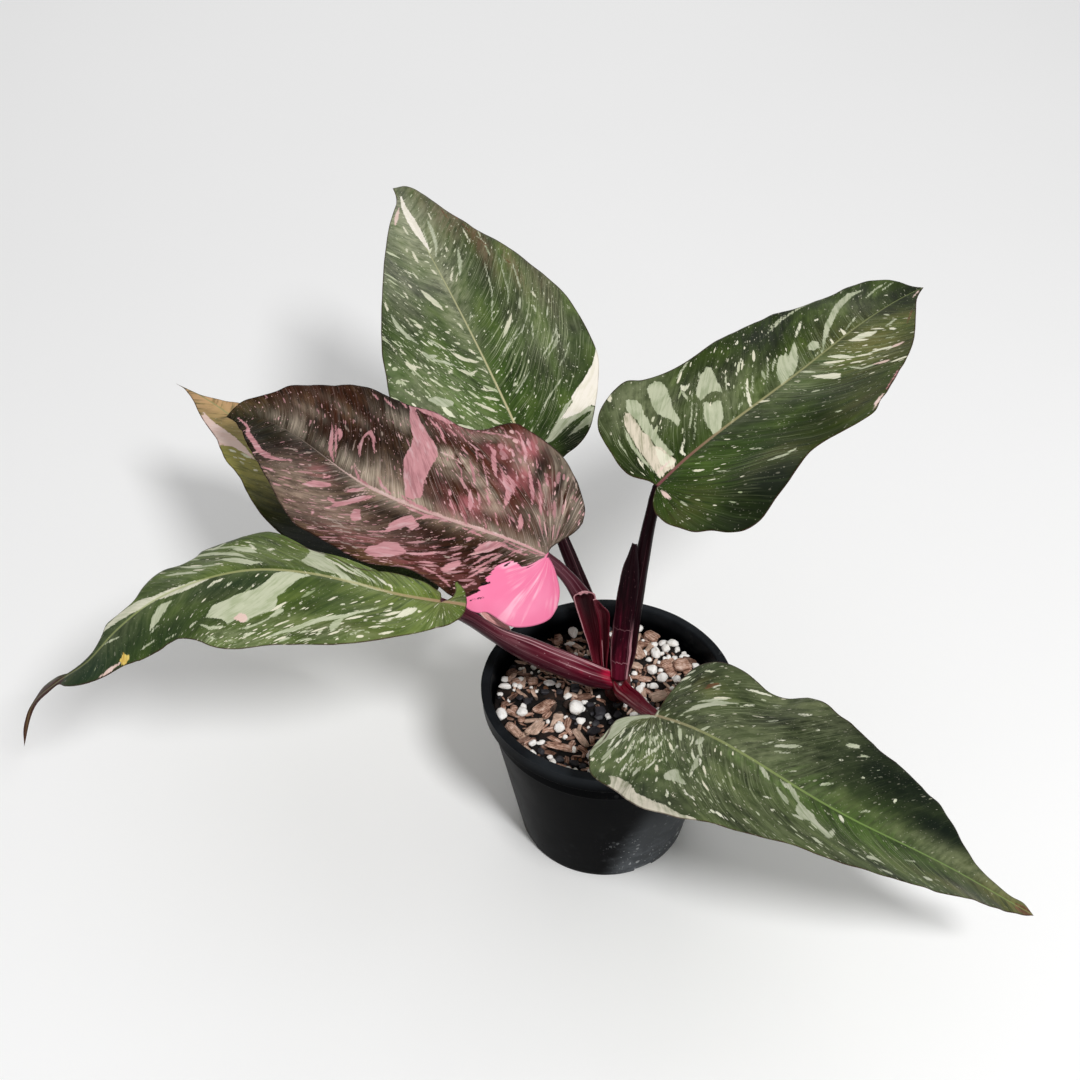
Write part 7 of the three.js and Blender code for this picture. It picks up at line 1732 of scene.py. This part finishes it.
def mix_body():
    nr, seg = 74, 260
    th = np.linspace(0, 2 * np.pi, seg, endpoint=False)
    V, F = [(0.0, 0.0, 0.0)], []
    rr = np.linspace(0, 48.6, nr + 1)[1:]
    X = np.array([(r * math.cos(t), r * math.sin(t)) for r in rr for t in th])
    z = mix_top(X[:, 0], X[:, 1])
    q = np.c_[X / 3.4, np.zeros(len(X)) + 0.3]; q2 = np.c_[X / 1.3, np.zeros(len(X)) + 0.7]; q3 = np.c_[X / 9.0, np.zeros(len(X))]
    z = z + 0.55 * vnoise3(q + 40, 3) + 0.38 * np.abs(vnoise3(q2 + 90, 4)) + 0.5 * vnoise3(q3 + 70, 5) - 0.25
    z = np.where(np.hypot(X[:, 0], X[:, 1]) > 48.0, z - 0.8, z)
    V[0] = (0.0, 0.0, 71.0)
    V += [(x, y, zz) for (x, y), zz in zip(X, z)]
    for i in range(seg):
        F.append((0, 1 + i, 1 + (i + 1) % seg))
    for j in range(nr - 1):
        for i in range(seg):
            a, b = 1 + j * seg + i, 1 + j * seg + (i + 1) % seg
            F.append((a, a + seg, b + seg, b))
    last = 1 + (nr - 1) * seg
    prev = list(range(last, last + seg))
    for z0 in (66.0, 60.0, 45.0, 30.0, 15.0, 4.0, 1.98):
        r = (wall_inner(z0) - 0.55) if z0 < 65 else 48.7
        nw = list(range(len(V), len(V) + seg)); V += [(r * math.cos(t), r * math.sin(t), z0) for t in th]
        for i in range(seg):
            k = (i + 1) % seg; F.append((prev[i], nw[i], nw[k], prev[k]))
        prev = nw
    V.append((0.0, 0.0, 1.98)); c = len(V) - 1
    for i in range(seg):
        F.append((prev[i], c, prev[(i + 1) % seg]))
    V = np.array(V)
    ob = new_mesh("mix_surface", V * MM, outward(V, F), [mix_material()])
    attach(ob, "root"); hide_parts("potting_mix")

_ico = {}
def ico(sub):
    if sub not in _ico:
        import bmesh
        bm = bmesh.new(); bmesh.ops.create_icosphere(bm, subdivisions=sub, radius=1.0)
        bm.verts.ensure_lookup_table()
        _ico[sub] = (np.array([v.co[:] for v in bm.verts]), [tuple(v.index for v in f.verts) for f in bm.faces]); bm.free()
    return _ico[sub]

def grain(kind, x, y, z, l, w, h, ang, seed, sub=3):
    """one grain: perlite is a knobbly lump, bark a split chip with flat faces, charcoal an angular bit"""
    V, F = ico(sub); V = V.copy(); rg = np.random.default_rng(seed)
    if kind == "perlite":
        V *= (1 + 0.24 * vnoise3(V * 1.25 + 20 + rg.uniform(0, 9, 3), seed) + 0.08 * vnoise3(V * 3.7 + 30, seed + 1))[:, None]
        cuts, lo, hi = 8, 0.66, 0.95
    elif kind == "bark":
        p = (np.abs(V) ** 9).sum(1) ** (1 / 9.0); V /= p[:, None]
        V *= (1 + 0.06 * vnoise3(V * 2.2 + 20, seed))[:, None]
        V[:, 2] += 0.30 * vnoise3(np.c_[V[:, 0] * 0.7, V[:, 1] * 4.2, 0 * V[:, 0]] + 50, seed + 2)
        V[:, 0] += 0.22 * vnoise3(np.c_[0 * V[:, 0], V[:, 1] * 3.6, V[:, 2] * 2] + 30, seed + 3)      # splintered ends
        V[:, 1] *= 1 - 0.22 * rg.uniform(0, 1) * (V[:, 0] + 1) * 0.5
        cuts, lo, hi = 5, 0.86, 1.10
    else:
        p = (np.abs(V) ** 4).sum(1) ** (1 / 4.0); V /= p[:, None]
        cuts, lo, hi = 12, 0.62, 0.9
    for _ in range(cuts):
        n = rg.normal(size=3); n[2] *= 0.5 if kind == "bark" else 1.0; n /= np.linalg.norm(n); d = rg.uniform(lo, hi)
        over = np.maximum(V @ n - d, 0); V -= (over * 0.92)[:, None] * n
    V /= np.abs(V).max(0)
    if kind == "perlite":
        V *= (1 + 0.035 * vnoise3(V * 7 + 10, seed + 5))[:, None]
    elif kind == "bark":
        V[:, 2] += 0.07 * np.round(vnoise3(np.c_[V[:, 0] * 0.8, V[:, 1] * 7, V[:, 2] * 2] + 11, seed + 6) * 2) / 2
    V *= 0.5 * np.array([l, w, h]); grain.local = V.copy()
    tilt = rg.uniform(-0.22, 0.22, 2) if kind != "perlite" else (0, 0)
    a = math.radians(ang); c, s = math.cos(a), math.sin(a)
    V = V @ np.array([[c, s, 0], [-s, c, 0], [0, 0, 1]])
    if kind != "perlite":
        V[:, 2] += V[:, 0] * math.tan(tilt[0]) * 0.6 + V[:, 1] * math.tan(tilt[1]) * 0.6
    return V + [x, y, z], F

def grain_material(kind):
    M = Mat("grain_" + kind); P = M.coord("Object"); rnd = M.attr("rnd")
    if kind == "perlite":
        n = M.noise(P, 500.0, 3, 0.6); p = M.noise(P, 1500.0, 2, 0.6)
        base = M.mix(M.step(n, 0.42, 0.8), srgb("fffdfa"), srgb("ece6de"))
        base = M.mix(M.mul(M.step(n, 0.62, 0.78), 0.6), base, srgb("a2907c"))
        base = M.mix(M.mul(rnd, 0.15), base, srgb("d8ccc2"))
        return M.finish(base, 0.85, M.bump(M.add(M.mul(p, 0.6), M.mul(n, 0.4)), 0.8, 0.0004), 0.3)
    if kind == "bark":
        x, y, z = M.split(P)
        n = M.noise(P, 260.0, 4, 0.65); g = M.noise(M.vec(M.mul(M.attr("gu"), 0.25), M.mul(M.attr("gv"), 2.2), M.add(M.mul(M.attr("gw"), 2.6), M.mul(rnd, 90.0))), 1.0, 3, 0.65); f = M.noise(P, 1300.0, 2, 0.5)
        base = M.ramp(M.add(M.mul(n, 0.45), M.mul(g, 0.55)), [(0.33, srgb("2a1914")), (0.43, srgb("74503f")), (0.53, srgb("be9682")), (0.65, srgb("f6dfd2"))])
        base = M.mix(M.step(rnd, 0.72, 0.78, 0.0, 0.6), base, srgb("4a2f23"))
        base = M.mix(M.mul(M.step(rnd, 0.25, 0.18), 0.4), base, srgb("e2c9b4"))
        dry = M.step(M.absv(M.sub(rnd, 0.65)), 0.05, 0.03)          # a few chips keep their colour inside the painted shadow
        # painted shadow: bark inside the shadow patches darkened to near black
        base = M.mix(M.mul(damp(M, P), M.sub(0.86, M.mul(dry, 0.78))), base, srgb("0b0706"))
        return M.finish(base, 0.8, M.bump(M.add(M.mul(g, 0.6), M.mul(f, 0.4)), 0.9, 0.0006), 0.3)
    n = M.noise(P, 300.0, 3, 0.6)
    base = M.mix(n, srgb("100f11"), srgb("34323a"))
    return M.finish(base, M.step(n, 0.3, 0.7, 0.45, 0.8, kind="LINEAR"), M.bump(n, 0.7, 0.0005), 0.5)

PER = [[5.1,4.9,3.4,0],[7.2,7.8,5.4,0],[4.2,3.9,2.7,0],[3.9,2.9,2.3,27],[5.0,5.3,3.7,0],[4.5,7.2,3.6,0],[6.0,3.5,2.4,0],[6.0,4.0,2.8,0],[4.5,4.1,2.9,0],[5.6,4.0,3.2,-27],[4.4,6.1,3.5,0],[4.8,5.0,3.5,0],[5.2,5.5,3.8,0],[3.5,4.0,2.8,0],[4.3,3.5,2.4,0],[3.8,3.9,2.7,0],[5.1,6.3,4.0,0],[3.4,5.4,2.7,0]]
BAR = [[13.1,4.7,1.6,44],[11.5,5.5,1.9,59],[5.2,5.0,1.5,0],[10.2,4.6,1.6,-54],[15.8,3.7,1.3,-7],[13.3,3.3,1.2,-63],[12.7,4.0,1.4,-67],[9.3,7.4,2.6,14],[7.5,5.4,1.9,-39],[9.0,5.6,2.0,27]]
KOH = [[6.5,5.0,3.0,39],[5.1,4.9,2.5,0],[3.9,5.0,2.3,0]]
EX_PER = [[-24.6,-31.7,2.9,2.8,2.0,0],[-27.9,-23.3,2.9,2.4,1.7,0],[-14.7,-27.7,2.1,3.8,1.7,0],[-15.7,35.9,5.3,3.1,2.1,0],[-46.8,15.4,3.5,3.5,2.4,0],[19.7,42.0,3.1,3.1,2.1,0],[28.6,40.8,5.4,4.1,2.9,0],[21.7,36.2,3.6,3.6,2.5,0],[26.9,33.7,4.0,4.6,3.2,0],[27.9,28.0,2.2,3.5,1.8,0],[30.5,27.4,2.6,4.1,2.1,0],[34.6,29.3,5.3,2.5,1.8,0],[19.0,26.0,3.1,2.5,1.8,0],[15.6,9.9,2.6,3.0,2.1,0],[28.0,8.2,2.6,2.5,1.7,0],[10.3,8.0,2.6,3.0,2.1,0],[12.9,-2.1,3.0,3.9,2.4,0],[-9.6,-0.6,3.4,2.9,2.1,0],[17.4,30.4,2.2,3.6,1.8,0],[39.4,23.1,3.5,3.5,2.5,0],[-17.8,-9.5,2.5,2.4,1.7,0],[-27.2,-2.5,2.1,2.5,1.7,0],[-37.2,13.7,3.5,2.6,2.1,14],[-39.7,10.0,3.0,3.0,2.1,0],[-28.8,-23.9,3.4,2.1,1.7,14],[-10.6,-4.7,2.6,2.9,2.0,0],[-20.4,-13.6,2.9,3.4,2.4,0],[37.5,33.8,2.7,2.6,1.8,0],[23.3,24.2,2.2,2.5,1.8,0],[14.1,36.8,2.2,2.6,1.8,0],[-46.1,5.1,3.0,2.5,1.7,0],[-25.4,-11.9,2.1,2.9,1.7,0],[35.1,37.0,2.7,3.1,2.1,0]]
EX_BAR = [[-38.9,11.7,4.6,5.2,1.7,27],[-35.5,16.6,7.1,2.2,0.9,-14],[-39.9,-3.9,3.4,4.4,1.4,0],[-36.9,-10.3,3.8,3.9,1.4,0],[-16.9,-1.9,4.5,4.3,1.5,49],[-21.2,-9.6,5.1,5.8,2.0,0],[27.1,21.6,5.5,8.8,2.1,27],[37.4,26.1,7.3,4.4,1.8,-20],[16.5,13.8,7.0,3.5,1.4,-14],[12.8,22.1,7.4,3.5,1.4,-27],[-13.5,35.1,9.9,2.7,1.1,-39],[-21.9,41.5,4.5,7.2,1.8,0],[-42.4,19.0,5.5,3.5,1.4,27],[-32.9,-23.5,6.1,2.5,1.0,27],[-25.4,-7.3,7.4,3.0,1.2,59],[-17.0,-16.5,8.3,2.5,1.0,-59],[-10.9,-27.8,5.8,2.5,1.0,-49],[-43.8,-0.4,4.3,2.6,1.0,39],[18.3,19.6,4.0,2.6,1.0,14],[20.0,41.2,6.0,3.6,1.4,39],[30.5,6.3,5.4,3.0,1.2,27],[20.0,37.4,8.1,2.2,0.9,-67],[36.5,18.6,6.2,3.9,1.6,-14],[13.3,27.7,6.4,2.2,0.9,-20],[-25.0,-29.0,6.8,2.5,1.0,-20],[-41.1,15.4,6.5,2.6,1.0,59],[-23.3,-3.8,6.7,2.6,1.0,67],[-13.9,-0.1,4.7,3.4,1.4,-39],[29.0,17.3,5.1,3.1,1.2,49]]
EX_KOH = [[-14.8,-35.5,4.1,3.3,2.0,0],[-11.1,-36.6,3.3,2.8,1.7,0],[-20.5,-32.8,4.1,2.8,1.7,0],[-7.4,-2.0,3.4,3.0,1.8,0],[-5.2,-12.9,4.0,3.0,2.1,27],[-1.7,-23.2,4.2,3.8,2.3,0],[-26.7,5.7,3.9,3.5,2.1,0],[-37.5,2.0,3.4,3.0,1.8,0],[-20.3,5.8,3.4,3.0,1.8,0],[-33.4,27.3,4.0,3.5,2.2,0],[-29.0,36.9,3.6,3.1,1.9,0],[40.3,24.6,3.6,3.1,1.9,0]]

def grains():
    mats = {k: grain_material(k) for k in ("perlite", "bark", "charcoal")}
    def single(kind, k, dims, seed):
        lo, hi = (np.array(c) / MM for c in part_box("%s_%d" % (kind, k)))
        c = (lo + hi) / 2; l, w, h, a = dims
        if kind == "bark": h = h * 1.15
        V, F = grain(kind, c[0], c[1], c[2], l, w, h, a, seed, 3)
        ob = new_mesh("%s_grain_%d" % (kind, k), V * MM, F, [mats[kind]], {"rnd": np.full(len(V), 0.65 if kind == "bark" and k == 1 else np.random.default_rng(seed + 1).uniform(0, 0.55 if kind == "bark" else 0.6)), **({c: grain.local[:, j] for j, c in enumerate(("gu", "gv", "gw"))} if kind == "bark" else {})})
        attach(ob, "root"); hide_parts("%s_%d" % (kind, k))
    for i, d in enumerate(PER): single("perlite", i + 1, d, 900 + i)
    for i, d in enumerate(BAR): single("bark", i + 1, d, 940 + i)
    for i, d in enumerate(KOH): single("charcoal", i + 1, d, 970 + i)
    rg = np.random.default_rng(77)
    own = []
    for kind, n in (("perlite", 18), ("bark", 10), ("charcoal", 3)):
        for k in range(1, n + 1):
            lo, hi = (np.array(c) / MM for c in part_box("%s_%d" % (kind, k))); own.append(((lo + hi)[:2] / 2, max(hi[0] - lo[0], hi[1] - lo[1]) / 2))
    def free(x, y, r, keep=0.75):
        if math.hypot(x, y) > 48.4 - r: return False
        if math.hypot(x - 4.5, y - 6) < 6.2 + r: return False
        return all(math.hypot(x - c[0], y - c[1]) > (q + r) * keep for c, q in own)
    # loose smaller grains; most outside the painted shadow patches, dark bits also inside them
    small = {"perlite": [], "bark": [], "charcoal": []}
    for kind, L in (("perlite", EX_PER), ("bark", EX_BAR), ("charcoal", EX_KOH)):
        for x, y, l, w, h, a in L:
            r = math.hypot(x, y); most = 48.2 - max(l, w) / 2
            if r > most: x, y = x * most / r, y * most / r
            small[kind].append((x, y, l, w, h, a))
            own.append(((x, y), max(l, w) / 2))
    # larger perlite gathered at the right of the pot and at the front left
    for k in range(900):
        zx, zy, sp = ((28, 14, 17), (30, -4, 12), (-22, -30, 13), (-33, -14, 9), (-12, -40, 9))[k % 5]
        x, y = rg.normal(zx, sp), rg.normal(zy, sp); l = rg.uniform(2.6, 4.6)
        if len(small["perlite"]) > 95 or not free(x, y, l / 2, 0.86): continue
        small["perlite"].append((x, y, l, l * rg.uniform(0.75, 1.0), l * 0.72, rg.uniform(-90, 90))); own.append(((x, y), l * 0.45))
    tries = {"perlite": 150, "bark": 1900, "charcoal": 420}
    shade = DAMP                           # painted shadow: only charcoal goes into the shadow patches, so they stay dark
    for kind, n in tries.items():
        for _ in range(n):
            r, t = 48 * math.sqrt(rg.uniform()), rg.uniform(0, 2 * math.pi); x, y = r * math.cos(t), r * math.sin(t)
            l = rg.uniform(1.6, 3.2) if kind == "perlite" else rg.uniform(2.6, 8.0) if kind == "bark" else rg.uniform(1.8, 4.0)
            w = l * (rg.uniform(0.7, 1.0) if kind != "bark" else rg.uniform(0.18, 0.5)); h = min(l, w) * (0.8 if kind != "bark" else 0.5)
            if not free(x, y, l / 2, 0.62 if kind != "bark" else 0.42): continue
            if kind != "charcoal" and any((((x - a) * math.cos(math.radians(t)) + (y - b) * math.sin(math.radians(t))) / p) ** 2 + ((-(x - a) * math.sin(math.radians(t)) + (y - b) * math.cos(math.radians(t))) / q) ** 2 < 1 for a, b, p, q, t in shade): continue
            small[kind].append((x, y, l, w, h, rg.uniform(-90, 90))); own.append(((x, y), l * 0.42))
    for kind, L in small.items():
        AV, AF, AR, AL, o = [], [], [], [], 0
        for i, (x, y, l, w, h, a) in enumerate(L):
            z = float(mix_top(x, y)) + (0.22 if kind == "perlite" else 0.30) * h + 0.12
            V, F = grain(kind, x, y, z, l, w, h, a, 1200 + i + 300 * len(kind), 3 if max(l, w) > (3.2 if kind != "bark" else 5.6) else 2)
            AV.append(V); AF += [tuple(v + o for v in f) for f in F]; o += len(V)
            AR.append(np.full(len(V), rg.uniform(0, 1))); AL.append(grain.local)
        ob = new_mesh(kind + "_loose", np.vstack(AV) * MM, AF, [mats[kind]], {"rnd": np.concatenate(AR), **({c: np.vstack(AL)[:, j] for j, c in enumerate(("gu", "gv", "gw"))} if kind == "bark" else {})})
        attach(ob, "root")
        print(kind, len(L), len(AF))
pot()
mix_body()
grains()

LOOKS = {
    "back": dict(pal=palette(fleck2=srgb("c2c9a6"), w6z=0.43, veil=srgb("a3a588"), mid=srgb("3a4f1c"), light=srgb("5e7232"), sage=srgb("c0c4ab"), hair=srgb("b4bb95"), rib=[(0.0, srgb("d2c49c")), (0.4, srgb("c0bc90")), (1.0, srgb("8c9668"))], rib_w=0.46, rib_amt=0.8, warm=srgb("6a523c"), span=(0.62, 1.05)),
                 vein=(0.60, 0.018), fleck=0.85, streak=0.38, fleck_col=srgb("e6e6cc"), quilt=0.04, gloss=0.11, dens=0.04),
    "pink": dict(pal=palette(dark=srgb("0b0802"), mid=srgb("271c0c"), light=srgb("6a5636"), lively=srgb("30341f"), warm=srgb("5a2c1c"), deep=srgb("0d0906"), veil=srgb("a08a78"), glow=srgb("d4c4ae"), span=(0.68, 1.03), glow_comb=0.45, mott=0.50, bump=0.10, rosy=srgb("b96c72"),
                             vein=srgb("19110c"), vein_amt=0.12, hair=srgb("d0bbb1"), rib=[(0.0, srgb("cd919a")), (0.22, srgb("cba3a0")), (0.45, srgb("cdbbb1")), (0.68, srgb("b3a498")), (0.84, srgb("5f5046")), (1.0, srgb("32251c"))], rib_w=0.30, blush=srgb("d4b2ac"), blush2=srgb("b28a86"), rib_amt=0.75, edge=srgb("1c0f0c"),
                             sage=srgb("a8948a"), sage2=srgb("85726a"), pink=srgb("cb9297"), pink2=srgb("a06c71"), fleck2=srgb("bb898d"), comb=0.20, under=srgb("7a4038"), under_rib=srgb("8a3040")),
                 vein=(0.55, 0.017), fleck=0.9, streak=0.12, fleck_col=srgb("e2b6b4"), quilt=0.10, und=1.7, gloss=0.045, dens=0.12, fine=0.003, vdepth=0.03),
    "right": dict(pal=palette(comb=0.13, mott=0.24, rib=[(0.0, srgb("8a4656")), (0.10, srgb("93605c")), (0.24, srgb("a8a074")), (1.0, srgb("7f8c58"))], dark=srgb("161f0a"), mid=srgb("303f15"), light=srgb("566a2b"), cream=srgb("e2dfc9"), ecru=srgb("dfd3bf"), ecru2=srgb("8b8a6c"), sage=srgb("bec2a6"), rib_w=0.55),
                  vein=(0.60, 0.019), fleck=0.6, streak=0.13, quilt=0.05, gloss=0.05, vdepth=0.03),
    "left": dict(pal=palette(comb=0.14, deep=srgb("1b2e20"), rib=[(0.0, srgb("b08a70")), (0.15, srgb("b4ab7c")), (0.6, srgb("a2ad70")), (1.0, srgb("5a4030"))], dark=srgb("263411"), light=srgb("74843e"), mid=srgb("485c20"), lively=srgb("7b8c3a"), sage=srgb("c6caae"), sage2=srgb("a3ad88"), cream=srgb("e3e0ca"), burnt=srgb("3b1b1d"), burnt2=srgb("4e2a27")), vein=(0.66, 0.02), fleck=0.7, streak=0.18, quilt=0.05, gloss=0.11, dens=0.05, vdepth=0.03),
    "front": dict(pal=palette(comb=0.10, mott=0.28, vein_amt=0.06, fleck2=srgb("c3c9ab"), light=srgb("6e784a"), dark=srgb("161e0f"), mid=srgb("424e2c"), deep=srgb("0e1710"), cream=srgb("e0dfcb"), ecru=srgb("d3ccba"), ecru2=srgb("7c8164"), sage=srgb("bcbfa8"), rib_w=0.62, rib_amt=0.55, rib=[(0.0, srgb("b09a80")), (0.16, srgb("9ca468")), (0.5, srgb("84a056")), (1.0, srgb("84a05c"))]), vein=(0.55, 0.016), fleck=0.55, streak=0.07, vdepth=0.02, quilt=0.035, gloss=0.07, fine=0.004),
    "rear": dict(pal=palette(vein_amt=0.03, comb=0.10, lively=srgb("80823f"), warm=srgb("cba277"), veil=srgb("928c48"), deep=srgb("0d110a")), vein=(0.6, 0.018), fleck=0.3, streak=0.06, quilt=0.03, vdepth=0.012, gloss=0.05),
}
for i, (n, L) in enumerate(LEAVES.items()):
    k = LOOKS[n]; mk = MARKS[n]
    mc = sorted({c for c, _ in mk["patches"]} | {c for c, _ in mk["strokes"]}); ws = sorted({w[0] for w in mk["washes"]})
    kw = dict(gloss=k.get("gloss", 0.26), fleck=k["fleck"], streak=k["streak"], fleck_col=k.get("fleck_col", CREAM), fseed=i * 7.3, dens=k.get("dens", 0.0))
    mats = [leaf_material("blade_" + n, k["pal"], mc, ws, **kw), leaf_material("blade_under_" + n, k["pal"], mc, ws, under=True, rough=0.5, **kw)]
    make_leaf("blade_" + n, L, mk, mats, dict(seed=31 + 13 * i, vein=k["vein"], quilt=k["quilt"], vdepth=k.get("vdepth", 0.045), ripple=0.3, fine=k.get("fine", 0.010), und=k.get("und", 1.0), marks=mc, washes=ws, grid=(170, 38) if n == "rear" else (240, 50)))

# ------------------------------------------------------------------ stage
def stage():
    me = bpy.data.meshes.new("floor"); s = 6.0
    me.from_pydata([(-s, -s, 0), (s, -s, 0), (s, s, 0), (-s, s, 0)], [], [(0, 1, 2, 3)])
    ob = bpy.data.objects.new("floor", me); bpy.context.scene.collection.objects.link(ob)
    M = Mat("floor"); n = M.noise(M.coord("Object"), 3.0, 3)
    me.materials.append(M.finish(M.mix(n, (0.93, 0.93, 0.93), (0.96, 0.96, 0.96)), 0.8, None, 0.2))
    w = bpy.data.worlds.new("studio"); bpy.context.scene.world = w; w.use_nodes = True
    w.node_tree.nodes["Background"].inputs[0].default_value = (1, 1, 1, 1)
    w.node_tree.nodes["Background"].inputs[1].default_value = 0.40
    def area(name, loc, target, size, power, shape="DISK", size_y=None):
        l = bpy.data.lights.new(name, "AREA"); l.shape = shape; l.size = size; l.energy = power
        if size_y: l.size_y = size_y
        o = bpy.data.objects.new(name, l); bpy.context.scene.collection.objects.link(o)
        o.location = loc; d = Vector(target) - Vector(loc); o.rotation_euler = d.to_track_quat("-Z", "Y").to_euler()
    area("key", (0.46, -0.99, 1.40), (0, 0, 0.1), 0.34, 21)
    area("back_softbox", (-0.1, 1.5, 1.25), (0, 0, 0.1), 1.3, 7, "RECTANGLE", 0.8)
    sc = bpy.context.scene
    sc.view_settings.view_transform = "Standard"; sc.view_settings.look = "None"
stage()
